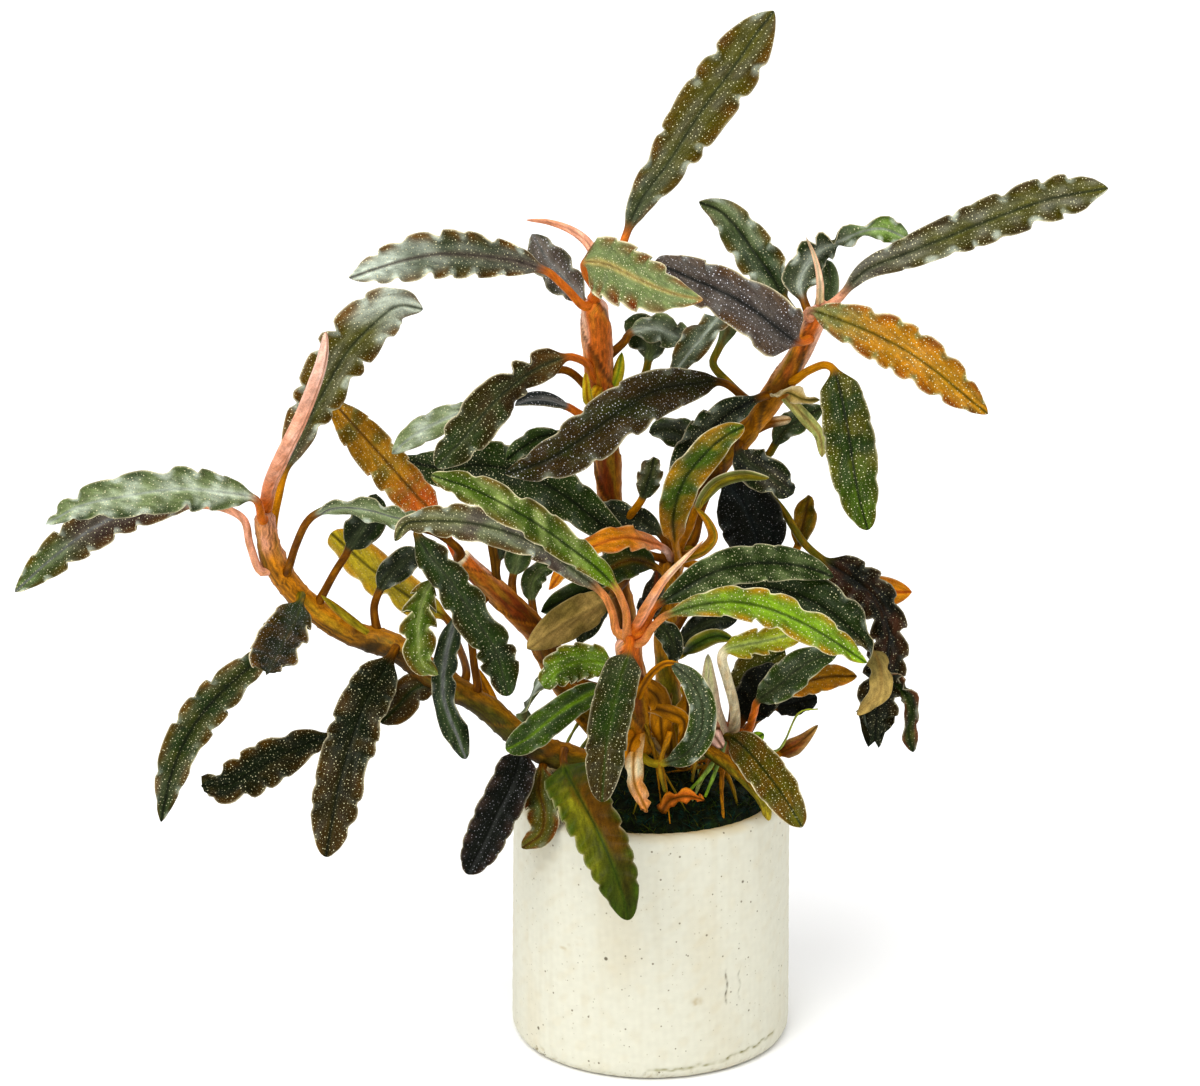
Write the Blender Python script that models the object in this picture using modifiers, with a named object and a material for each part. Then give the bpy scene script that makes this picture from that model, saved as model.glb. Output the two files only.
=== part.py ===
"""Bucephalandra biblis in a small ceramic pot.

The plant is five stems and a low crown with about eighty leaves. Places on the plant are written as a
viewer in front of it sees them: millimetres right of the pot's axis, millimetres above the pot's foot,
and millimetres in front of the axis. Model units are metres, +Z is up, +Y is away from the viewer, and
the origin is the middle of the pot's foot.
"""

import math
from typing import NamedTuple

import bmesh
import bpy
import numpy as np

MM = 0.001

# The viewer looks down at the plant a little. The view's middle is given on the plane that faces the
# viewer and passes through the pot's foot.
VIEW_PITCH = math.radians(15)
VIEW_DISTANCE = 573.0
VIEW_CENTRE = (-10.0, 95.8)
RIGHTWARDS = np.array([1.0, 0.0, 0.0])
FORWARDS = np.array([0.0, math.cos(VIEW_PITCH), -math.sin(VIEW_PITCH)])
UPWARDS = np.array([0.0, math.sin(VIEW_PITCH), math.cos(VIEW_PITCH)])
EYE = VIEW_CENTRE[0] * RIGHTWARDS + VIEW_CENTRE[1] * UPWARDS - VIEW_DISTANCE * FORWARDS

POT_HEIGHT = 49.5
POT_FOOT_RADIUS = 27.4
POT_RIM_RADIUS = 26.9
POT_WALL = 3.6
POT_FLOOR = 4.0
POT_EDGE = 2.4
MEDIUM_EDGE_HEIGHT = 47.5
MEDIUM_DOME = 6.0
FIT_GAP = 0.35

BLADE_RIB = 0.45
BLADE_RIB_AT_TIP = 0.15
STALK_RADIUS = 0.75
LEAF_GAP = 0.35
PATH_STEPS = 12
STEM_PITCH = 4.5
STEM_SIDES = 8


class Stem(NamedTuple):
    """A stem: its route from the medium upwards, how far in front it runs, and its radius along it."""

    route: tuple
    front: tuple
    radius: tuple


class Leaf(NamedTuple):
    """A leaf: the route of its stalk and of its blade's midrib, root to tip, and the blade's form.

    front, roll and girth are read at equal steps, front along the whole leaf and the others along the
    blade. half is the blade's half width, one value or left and right. Lobes are counted on each margin.
    """

    stalk: tuple
    blade: tuple
    front: tuple
    half: object
    roll: tuple = (0,)
    lobes: int = 6
    phase: float = 0.0
    skew: float = 0.5
    notch: float = 0.2
    ruffle: float = 0.8
    fold: float = 0.1
    peak: float = 0.5
    girth: tuple = ()
    stalk_radius: float = STALK_RADIUS
    grows_on: str = ""
    fused: bool = False


STEMS = {
    "left_rhizome": Stem(
        route=((-9, 51), (-17, 53), (-24, 55.6), (-32.6, 62.8), (-42, 68.6), (-51.6, 75.2), (-59.6, 77.8),
               (-66.4, 82), (-71.6, 86.8), (-75.2, 92.4), (-76.8, 98.4), (-77, 102.4)),
        front=(7, 10, 10, 7, 2.5, -1, -1, 1, 2.5),
        radius=(2.4, 2.8, 2.6, 2.4, 2.8, 2.7, 2.5, 2.4, 2.5, 1.9),
    ),
    "cut_stem": Stem(
        route=((-8, 55), (-13, 62), (-18, 69), (-22.2, 77.4), (-29, 84.4), (-38, 92.8)),
        front=(-10.5, -7, -2.5, 2.5, 4),
        radius=(2.3, 2.5, 2.7, 2.6, 2.3, 1.9),
    ),
    "top_stem": Stem(
        route=((-1, 56), (-2.6, 66), (-5, 80), (-7, 92), (-8, 104), (-8.6, 114), (-9.6, 124), (-10.4, 134),
               (-11.2, 144.6)),
        front=(-17, -18.5, -18.5, -17, -12, -5.5),
        radius=(2.3, 2.3, 2.3, 2.3, 2.4, 2.6, 2.8, 2.9, 2.6),
    ),
    "right_stem": Stem(
        route=((6, 55), (4, 64), (3.2, 76.4), (4.4, 91.6), (10, 106), (19.6, 118.6), (27.4, 129.4), (32.4, 138.8),
               (34, 143.4)),
        front=(-7, -5.5, -7, -12, -21.5, -17, -5.5, -1, 1),
        radius=(2.3, 2.3, 2.4, 2.6, 2.2, 2.2, 2.4, 2.3, 1.7),
    ),
    "front_crown": Stem(
        route=((-1.6, 54.6), (-2.4, 62), (-3.8, 70), (-4.4, 77)),
        front=(11, 14, 17, 20),
        radius=(2.2, 2.2, 2.6, 2.5),
    ),
    "right_crown": Stem(
        route=((13, 51.6), (14.8, 54.6), (16.4, 58)),
        front=(2.5, 4, 4),
        radius=(2.2, 2.5, 2.0),
    ),
}

LEAVES = {
    # The arm on the left.
    "left_leaf_1": Leaf(
        grows_on="left_rhizome",
        stalk=((-77.6, 100.6),),
        blade=((-78.8, 104.4), (-86, 106), (-94, 106.6), (-106, 105), (-114, 103.2), (-120.8, 99.6)),
        front=(4.5, 13.5, 18.5, 22, 26.5), half=4.5, roll=(10, 0, -10), phase=0.25, peak=0.42),
    "left_leaf_2": Leaf(
        grows_on="left_rhizome",
        stalk=((-77.6, 90), (-80, 95.4), (-81.2, 100.4), (-84.8, 102.6)),
        blade=((-90, 103.4), (-97, 103.2), (-105, 101.8), (-112, 98.4), (-120, 92.4), (-127, 86)),
        front=(3, 3, -0.5, -5, -8, -9.5), half=4.2, lobes=7, phase=0.1),
    "left_leaf_3": Leaf(
        grows_on="left_rhizome",
        stalk=((-75.6, 95.4), (-75.2, 100.4), (-74.2, 105.4)),
        blade=((-73.4, 109), (-70, 117.4), (-65.6, 125.4), (-61, 133.4), (-55.6, 139.4), (-50.4, 143.2),
               (-45.4, 142.6)),
        front=(-0.5, -3.5, -8.5, -13, -17.5, -24), half=(6, 4.8), peak=0.62, notch=0.24),
    "left_young_leaf": Leaf(
        grows_on="left_rhizome",
        stalk=(),
        blade=((-76.6, 104.4), (-76, 107.4), (-73.4, 113.4), (-70, 120.4), (-67.2, 127.4), (-65.6, 132.4),
               (-64.8, 138)),
        front=(3, 10, 8.5, 7, 5.5), half=1.5, roll=(50,), lobes=0, girth=(1, 1.1, 1.05, 1, 0.8)),
    "left_leaf_4": Leaf(
        grows_on="left_rhizome",
        stalk=((-72.6, 90), (-70.8, 95.4), (-68.6, 100)),
        blade=((-66.8, 101.6), (-62, 103), (-56, 102.4), (-50, 100.8), (-44, 101)),
        front=(2.5, 10.5, 14, 16.5, 18), half=3.2, roll=(55, 50, 40), lobes=4, notch=0.1, ruffle=0.5),
    "left_leaf_5": Leaf(
        grows_on="left_rhizome",
        stalk=((-36.8, 69), (-38.8, 76.4)),
        blade=((-40.8, 80.8), (-47.8, 84.8), (-55, 90), (-59.6, 94), (-63.8, 97.8)),
        front=(5, -14, -18, -22.5, -25.5), half=3.5, lobes=3, notch=0.08, ruffle=0.5, peak=0.6),
    "left_leaf_6": Leaf(
        grows_on="left_rhizome",
        stalk=((-69.8, 85.4),),
        blade=((-70, 84), (-71.8, 79.4), (-74.4, 74), (-77, 69)),
        front=(1.5, 12, 20.5, 29.5, 39), half=(4.6, 5.4), roll=(0, 10, 15), lobes=3, peak=0.45,
        girth=(0.35, 0.85, 1.0, 1.0, 0.75)),
    "left_leaf_7": Leaf(
        grows_on="left_rhizome",
        stalk=((-70.8, 82), (-72.4, 79.6)),
        blade=((-74.4, 76.4), (-78.8, 72.2), (-87, 64.6), (-92, 58), (-95.6, 50), (-97.8, 40)),
        front=(-1, -3.5, -7, -11, -11, -9.5), half=4.1, phase=0.2),
    "left_leaf_8": Leaf(
        grows_on="left_rhizome",
        stalk=((-43, 67.6), (-52, 64.4), (-58.4, 60)),
        blade=((-63, 57.6), (-70, 55.2), (-77.6, 51.2), (-84.4, 47.6), (-91, 47.4)),
        front=(3, -6.5, -5.5, -1, 5, 10), half=(4.8, 4.6), lobes=5, peak=0.55, notch=0.26, ruffle=1.0),
    "left_leaf_9": Leaf(
        grows_on="left_rhizome",
        stalk=(),
        blade=((-50.8, 75), (-53.2, 70.6), (-56.8, 64.4), (-60, 55.4), (-62.4, 46.4), (-64.8, 33)),
        front=(3.5, 13, 20, 25.5, 30, 33), half=5.2, roll=(-10, 0, 10), phase=0.3, notch=0.12,
        girth=(0.3, 0.85, 0.95, 1.0, 0.98, 0.95, 0.7)),
    # Below the arm.
    "lower_left_leaf_1": Leaf(
        grows_on="cut_stem",
        stalk=((-38.4, 94.6), (-43.2, 98)),
        blade=((-46.6, 98.4), (-45, 94.8), (-40.4, 88.8), (-36, 82), (-31, 74.4), (-28.4, 65.2)),
        front=(6, 10, 15, 19, 20, 21), half=4.2, roll=(20, 0, 0), phase=0.15, notch=0.24,
        girth=(0.3, 0.8, 0.85, 1.0, 0.9, 1.0, 0.8)),
    "lower_left_leaf_2": Leaf(
        grows_on="cut_stem",
        stalk=((-34.6, 83.4), (-38, 86.8), (-41.2, 89)),
        blade=((-43.2, 88.4), (-45.6, 84), (-46.4, 76.4), (-45.4, 71.6), (-42.4, 69.4)),
        front=(4, 6, 12.5, 20.5, 23, 24), half=3.7, lobes=4, phase=0.3, notch=0.34, ruffle=1.0),
    "lower_left_leaf_3": Leaf(
        grows_on="left_rhizome",
        stalk=((-34.6, 66.4), (-35.2, 71.6), (-36, 77.2)),
        blade=((-38, 81.4), (-40.4, 74.8), (-41.4, 66.4), (-40.2, 61.2), (-38.4, 56.8), (-36.8, 52.6)),
        front=(8.5, 11, 13.5, 16, 17, 16.5), half=3.0, lobes=4, notch=0.14, roll=(30, 10, 0),
        girth=(0.4, 0.8, 0.85, 0.75, 0.95, 0.6)),
    "middle_leaf_1": Leaf(
        grows_on="cut_stem",
        stalk=((-38.8, 93.8), (-40.6, 97.2)),
        blade=((-42.4, 100.6), (-47, 105.6), (-53, 112.4), (-58, 118), (-63.4, 124)),
        front=(2, -3, -9, -15.5, -22.5, -28), half=(4.6, 3.8), lobes=5, notch=0.12,
        girth=(0.75, 0.9, 1.0, 0.98, 0.9, 0.6)),
    "middle_leaf_2": Leaf(
        grows_on="top_stem",
        stalk=((-4.8, 89), (-6, 87)),
        blade=((-8, 85), (-12, 82.6), (-18, 79.2), (-24.6, 74.6)),
        front=(-16.5, -4, 1, 5.5, 10), half=3.8, roll=(170,), lobes=3, notch=0.06, ruffle=0.4, peak=0.4),
    # The top shoot.
    "top_leaf_1": Leaf(
        grows_on="top_stem",
        stalk=((-9.8, 147.2), (-7.2, 152), (-5.4, 155.6)),
        blade=((-5, 156.8), (-2, 164), (3.6, 171.8), (10, 181.8), (17, 191.4), (21.2, 197.6), (24.8, 202.2)),
        front=(-5.5, -9.5, -13, -16.5, -19, -20.5), half=5.4, lobes=6, peak=0.68, notch=0.16, phase=0.4),
    "top_leaf_2": Leaf(
        grows_on="top_stem",
        stalk=((-13.2, 143.2), (-16.4, 146.4), (-19.8, 149.6)),
        blade=((-20.4, 150), (-26, 152), (-34, 153.2), (-42, 153.6), (-49, 152.4), (-55, 150.6), (-60.2, 148.8)),
        front=(-4, 1.5, 4.5, 9, 14, 18), half=4.6, lobes=6, phase=0.2, notch=0.24, peak=0.5),
    "top_leaf_3": Leaf(
        grows_on="top_stem",
        stalk=((-10.8, 146), (-12.8, 149.6)),
        blade=((-13, 151.8), (-8.8, 151.6), (-2, 148.4), (4.4, 145.8), (10.6, 144.4)),
        front=(-3.5, 7.5, 17.5, 24, 26), half=(5.4, 6.6), lobes=5, phase=0.1, notch=0.14, peak=0.4,
        girth=(0.6, 0.95, 1.0, 0.95, 0.8, 0.5)),
    "top_leaf_4": Leaf(
        grows_on="top_stem",
        stalk=((-11.2, 128.8), (-12.8, 131.8), (-15.6, 133)),
        blade=((-16.4, 133), (-23, 130.6), (-29.4, 125.8), (-34, 120.8), (-38, 116), (-42.8, 111)),
        front=(-9, -0.5, 7, 12.5, 17, 20), half=4.5, roll=(10, -45, 0, 0), lobes=5, phase=0.3,
        girth=(0.4, 0.75, 0.85, 1.0, 1.0, 0.75)),
    "top_leaf_5": Leaf(
        grows_on="right_stem",
        stalk=((21.2, 122.8), (18.4, 125.2)),
        blade=((14.8, 127.8), (8, 127.6), (1, 126.2), (-6, 122.2), (-14, 116.4), (-21, 112.2), (-29, 109.6)),
        front=(-9, -5, 4, 11, 15.5, 19, 19), half=(5.8, 4.8), lobes=6, phase=0.35, notch=0.14, peak=0.55),
    "top_leaf_6": Leaf(
        grows_on="right_stem",
        stalk=((3, 92.6), (0, 93.4)),
        blade=((-2.8, 94.8), (-9, 99), (-17, 105.2), (-25, 109.6), (-34, 111.4), (-42, 110.8), (-49.8, 112.6)),
        front=(-11, -6, -7, -8.5, -11.5, -19.5, -29.5), half=5.0, lobes=5, phase=0.1, notch=0.1, peak=0.45),
    "top_leaf_7": Leaf(
        grows_on="right_stem",
        stalk=((31.8, 136.6),),
        blade=((29.8, 136), (26, 138.4), (20, 143), (14, 146.2), (8, 148.8), (1, 152)),
        front=(2, 9.5, 11.5, 11, 7, 0), half=5.6, lobes=5, phase=0.2, notch=0.12, peak=0.4,
        girth=(0.5, 1.0, 0.95, 0.85, 0.8, 0.7, 0.5)),
    # The middle crown.
    "back_leaf_1": Leaf(
        grows_on="right_stem",
        stalk=((21, 123.4), (16, 127.6), (12.6, 131.6)),
        blade=((13.6, 134.4), (15.8, 138.6), (15.2, 141.8), (11, 137.6), (6.6, 132.2), (4.4, 129.2)),
        front=(-9, -22.5, -26.5, -29.5, -29.5, -20, -13.5, -9, -7), half=(2.8, 3.8), roll=(180, 150, 90, 20, 0, 0),
        lobes=4, phase=0.2, notch=0.14, girth=(0.3, 0.6, 0.65, 0.7, 1.0, 0.9, 0.6)),
    "middle_leaf_3": Leaf(
        grows_on="right_stem",
        stalk=((5.4, 90.8), (5.6, 93)),
        blade=((5, 96), (4.8, 102), (6.8, 108.2), (10.8, 113.4), (14.8, 117), (18.8, 119.2)),
        front=(-10.5, 9, 13.5, 16.5, 18.5), half=3.5, lobes=4, phase=0.3, notch=0.1,
        girth=(0.5, 0.7, 0.95, 1.0, 0.95, 0.7)),
    "middle_leaf_4": Leaf(
        grows_on="right_stem",
        stalk=((8.4, 95.6), (10.4, 102.8), (12.4, 107)),
        blade=((14, 108.4), (17.6, 105.6), (20.4, 100), (22.6, 93)),
        front=(-13, -12.5, -12, -13, -13), half=6.2, lobes=3, notch=0.06, ruffle=0.6,
        girth=(0.25, 0.85, 1.0, 1.0, 0.85)),
    # The front crown.
    "front_leaf_1": Leaf(
        grows_on="front_crown",
        stalk=((-4.6, 78.8), (-4.8, 82), (-5.8, 84.8)),
        blade=((-6.6, 86.4), (-10, 90.2), (-15.6, 94.6), (-22, 99.2), (-29, 103.4), (-36, 106.8), (-43.8, 109.4)),
        front=(22, 28, 33.5, 38, 43, 45, 44.5), half=3.6, lobes=6, phase=0.35, notch=0.18,
        girth=(0.3, 0.6, 0.85, 0.95, 1.0, 1.0, 0.95, 0.7)),
    "front_leaf_2": Leaf(
        grows_on="front_crown",
        stalk=((-6.6, 78), (-7.4, 81.4), (-8.6, 84.4)),
        blade=((-10, 86.2), (-15, 90.2), (-21, 94.6), (-28, 97.8), (-36, 99.8), (-44, 100.2), (-48.8, 99.6),
               (-51, 96.2)),
        front=(18.5, 20, 23, 26.5, 28.5, 28.5, 28), half=3.6, lobes=7, phase=0.1, notch=0.2, ruffle=1.0,
        girth=(0.3, 0.6, 0.8, 0.95, 1.0, 1.0, 0.8, 0.4)),
    "front_young_leaf": Leaf(
        grows_on="front_crown",
        stalk=(),
        blade=((-2.6, 79.4), (-0.4, 83.4), (2.8, 88.4), (6.8, 92.6), (10.8, 96.4)),
        front=(22, 30, 33, 34.5, 36), half=1.2, roll=(40,), lobes=0, girth=(0.9, 1.0, 0.8, 0.55, 0.25)),
    "front_leaf_3": Leaf(
        grows_on="front_crown",
        stalk=((-1.2, 78.4), (0, 81.4)),
        blade=((0.8, 82.8), (6, 86.2), (11, 89.2), (17, 91.2), (24, 91.8), (31, 91), (36.8, 89)),
        front=(22, 24, 23, 20.5, 16.5, 12.5, 9.5), half=3.8, lobes=5, phase=0.2, notch=0.08, ruffle=0.5),
    "front_leaf_4": Leaf(
        grows_on="front_crown",
        stalk=((-1.6, 76), (0.4, 78.8), (2.2, 80.6)),
        blade=((3, 81.2), (10, 83.4), (17, 84), (24, 82.6), (31, 79.6), (38, 75.4), (43.4, 71.8)),
        front=(21.5, 27.5, 33, 38.5, 41.5, 45, 47), half=3.7, lobes=5, phase=0.3, notch=0.22, peak=0.6),
    "front_leaf_5": Leaf(
        grows_on="right_stem",
        stalk=((4.6, 78), (8, 82.8)),
        blade=((12.4, 86), (19, 87.2), (27, 86.2), (34, 83.4), (40.4, 78.4), (45.6, 72), (45.8, 66), (41.4, 61.4)),
        front=(-5, 2.5, 5.5, 8.5, 11, 12.5, 14, 14), half=4.6, lobes=6, phase=0.1, notch=0.12,
        roll=(0, 0, 0, 0, 60, 160), girth=(0.4, 0.9, 1.0, 1.0, 0.9, 0.5, 0.55, 0.4)),
    "front_leaf_6": Leaf(
        grows_on="front_crown",
        stalk=((-4, 76.4),),
        blade=((-4.2, 74), (-6.4, 67.6), (-7.8, 61.4), (-8.8, 54.8), (-9.6, 44)),
        front=(22, 32.5, 39.5, 45.5, 49), half=4.7, lobes=5, phase=0.1, notch=0.06, ruffle=0.5,
        girth=(0.75, 0.9, 1.0, 1.0, 0.95, 0.75)),
    "front_leaf_7": Leaf(
        grows_on="front_crown",
        stalk=(),
        blade=((-7.6, 71.6), (-11.6, 72.2), (-15.6, 71.8), (-18.8, 70), (-21.2, 66.8)),
        front=(20, 20.5, 24.5, 27.5), half=4.0, lobes=4, phase=0.1, notch=0.16, peak=0.4,
        girth=(0.6, 0.9, 1.0, 0.9, 0.6)),
    "front_leaf_8": Leaf(
        grows_on="front_crown",
        stalk=((-6, 67.8),),
        blade=((-9.4, 66.8), (-15, 64), (-20, 60.4), (-24.4, 56.8), (-28.8, 54.4)),
        front=(19, 29.5, 33.5, 36, 38), half=3.3, lobes=4, phase=0.2, notch=0.06, ruffle=0.4,
        girth=(0.5, 0.8, 0.9, 1.0, 0.9)),
    # Low on the left and over the pot.
    "low_leaf_1": Leaf(
        grows_on="left_rhizome",
        stalk=((-24.4, 57),),
        blade=((-25.4, 54.6), (-27.8, 47.4), (-30.8, 41.4), (-33.6, 35.4), (-36.6, 29.6)),
        front=(12, 19, 23.5, 26.5, 30.5), half=4.3, lobes=5, phase=0.2, notch=0.08, ruffle=0.5,
        girth=(0.7, 0.95, 1.0, 1.0, 0.95, 0.75)),
    "low_leaf_2": Leaf(
        grows_on="left_rhizome",
        stalk=(),
        blade=((-21, 52.8), (-22.2, 46.4), (-21.2, 42), (-21.8, 37.8), (-25.6, 34.8)),
        front=(10, 15.5, 20, 22.5, 22), half=3.2, roll=(30, 0, -30), lobes=3, phase=0.2, notch=0.2,
        girth=(0.3, 0.9, 1.0, 0.75, 0.6)),
    "low_leaf_3": Leaf(
        grows_on="left_rhizome",
        stalk=((-17.2, 54.4),),
        blade=((-17.2, 51.4), (-14, 44.8), (-10.6, 38.4), (-7.8, 32), (-5.8, 26.4), (-4.2, 20.4)),
        front=(11.5, 30.5, 40, 45, 47.5, 48.5), half=5.4, lobes=6, phase=0.3, notch=0.06, ruffle=0.5,
        girth=(0.7, 1.0, 1.0, 1.0, 0.95, 0.85, 0.6)),
    "low_leaf_4": Leaf(
        grows_on="front_crown",
        stalk=((-1.4, 53), (0.4, 51.8)),
        blade=((2.8, 51.8), (7.6, 54), (10.4, 59), (10.2, 64.4), (8, 68.6), (4.4, 71.6)),
        front=(13, 18.5, 23, 26, 24.5, 21.5), half=2.8, lobes=4, phase=0.2, notch=0.06, ruffle=0.4,
        girth=(0.35, 0.85, 1.0, 1.0, 0.9, 0.6)),
    "low_leaf_5": Leaf(
        grows_on="right_crown",
        stalk=((15, 57),),
        blade=((16, 57), (19.6, 54.2), (23.6, 49.4), (27.2, 44.4), (30.4, 39)),
        front=(6, 19, 26, 32, 36.5), half=4.0, lobes=4, phase=0.2, notch=0.05, ruffle=0.4,
        girth=(0.35, 0.85, 1.0, 1.0, 0.7)),
    # The low shoot on the right.
    "right_leaf_1": Leaf(
        grows_on="right_crown",
        stalk=((17.4, 59),),
        blade=((18.6, 60.6), (20.4, 63.4), (22.8, 67.2), (26, 71)),
        front=(3.5, 5.5, 8.5, 8.5), half=4.6, lobes=3, phase=0.2, notch=0.08, peak=0.55,
        girth=(0.5, 0.95, 1.0, 0.75)),
    "right_leaf_2": Leaf(
        grows_on="right_crown",
        stalk=((19, 57.8), (20.8, 61.8)),
        blade=((21.4, 64), (25.6, 67.2), (29.6, 70.6), (33.2, 72.8), (37.4, 73.4)),
        front=(6, 14, 21.5, 25.5, 27.5), half=3.6, lobes=4, phase=0.2, notch=0.08, ruffle=0.5),
    "right_leaf_3": Leaf(
        grows_on="right_crown",
        stalk=((17, 59.8), (16.8, 63.4), (15.4, 68.8), (14.4, 72.8)),
        blade=((15.2, 74.4), (19, 75.4), (23, 76.2), (27, 77.2), (30.8, 78.4)),
        front=(7.5, 18.5, 24.5, 27.5, 30), half=2.9, lobes=4, phase=0.1, notch=0.34, ruffle=0.9,
        girth=(0.5, 1.0, 0.95, 0.95, 0.7), stalk_radius=1.0),
    "right_leaf_4": Leaf(
        grows_on="right_crown",
        stalk=((18.6, 57), (21.6, 61.4)),
        blade=((24.4, 65.4), (30, 67.6), (35.2, 69), (41.4, 69.2)),
        front=(3, 1, -0.5, -1, -1.5), half=2.8, lobes=4, phase=0.2, notch=0.1, peak=0.5),
    "right_leaf_5": Leaf(
        grows_on="right_stem",
        stalk=((8, 94.8), (10.6, 104), (14.4, 108.8), (20, 108.6), (26, 103), (30.8, 95.8)),
        blade=((34.4, 92.6), (40, 89), (45.4, 84.4), (48.6, 78), (50, 71.4), (48, 64), (43.2, 54)),
        front=(-13, -16.5, -18, -14.5, -7.5, -0.5, 6.5, 11.5, 14), half=3.8, lobes=7, phase=0.2, notch=0.3, ruffle=1.2,
        girth=(0.5, 0.9, 0.95, 0.75, 0.8, 0.9, 1.0, 0.9, 0.6)),
    "right_leaf_6": Leaf(
        grows_on="right_stem",
        stalk=((18.2, 117),),
        blade=((17.6, 114.4), (19.6, 111.8), (23.2, 109.6), (28.6, 105.6)),
        front=(-10.5, -5.5, -2.5, -1), half=4.0, lobes=3, phase=0.2, notch=0.2,
        girth=(0.3, 1.0, 0.9, 0.6)),
    # The right shoot.
    "right_leaf_7": Leaf(
        grows_on="right_stem",
        stalk=((35.4, 143),),
        blade=((37.6, 144.6), (43, 150.2), (51, 153.6), (60, 157.2), (70, 161.2), (80, 164.6), (91.6, 166.8)),
        front=(1, -1.5, 0, 4, 9.5, 17), half=4.4, lobes=7, phase=0.3, notch=0.16, peak=0.72),
    "right_leaf_8": Leaf(
        grows_on="right_stem",
        stalk=((31.4, 141.2),),
        blade=((31.8, 142.2), (38, 140.4), (44.4, 137.8), (51, 134.4), (57.6, 129.8), (62.4, 125.8), (67.6, 121.6)),
        front=(2.5, 10.5, 14.5, 19.5, 21.5, 22), half=5.0, lobes=7, phase=0.2, notch=0.2, peak=0.5),
    "right_leaf_9": Leaf(
        grows_on="right_stem",
        stalk=((29.6, 141.4),),
        blade=((27.2, 144.2), (24.4, 149), (20.8, 154), (17.2, 159), (14, 162.2), (9.8, 164)),
        front=(-3.5, -13.5, -18, -21.5, -24), half=4.2, lobes=5, phase=0.2, notch=0.16, peak=0.4),
    "right_leaf_10": Leaf(
        grows_on="right_stem",
        stalk=((32, 141.4),),
        blade=((30.8, 144.2), (29.8, 147.4), (31.6, 152), (34.4, 154.8), (38.4, 156.4), (42.4, 158.2), (46.8, 158.6),
               (51.6, 156.6)),
        front=(-1.5, -6, -8.5, -7.5, -6.5, -7), half=3.5, lobes=6, phase=0.2, notch=0.2, ruffle=1.0,
        roll=(0, 0, 60, 10, 0), girth=(0.35, 1.0, 0.9, 1.0, 0.5, 0.4, 0.85, 0.7)),
    "right_leaf_11": Leaf(
        grows_on="right_stem",
        stalk=((28.4, 128.2), (31.6, 130.2), (35, 131.4)),
        blade=((36.6, 130.6), (38.2, 125.4), (39.6, 118.4), (40.8, 110.4), (42, 104), (43.6, 98.4)),
        front=(-0.5, 10.5, 17.5, 25.5, 29), half=4.9, lobes=5, phase=0.2, notch=0.06, ruffle=0.5,
        girth=(0.6, 0.85, 1.0, 1.0, 0.85, 0.6)),
    "right_leaf_12": Leaf(
        grows_on="right_stem",
        stalk=(),
        blade=((23.6, 125.4), (18.4, 123.2), (14, 120.2), (10, 115.6), (7, 110.8), (4.2, 105.4)),
        front=(-3, 0.5, -5.5, -10, -13), half=4.0, lobes=5, phase=0.2, notch=0.12),
}

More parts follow.
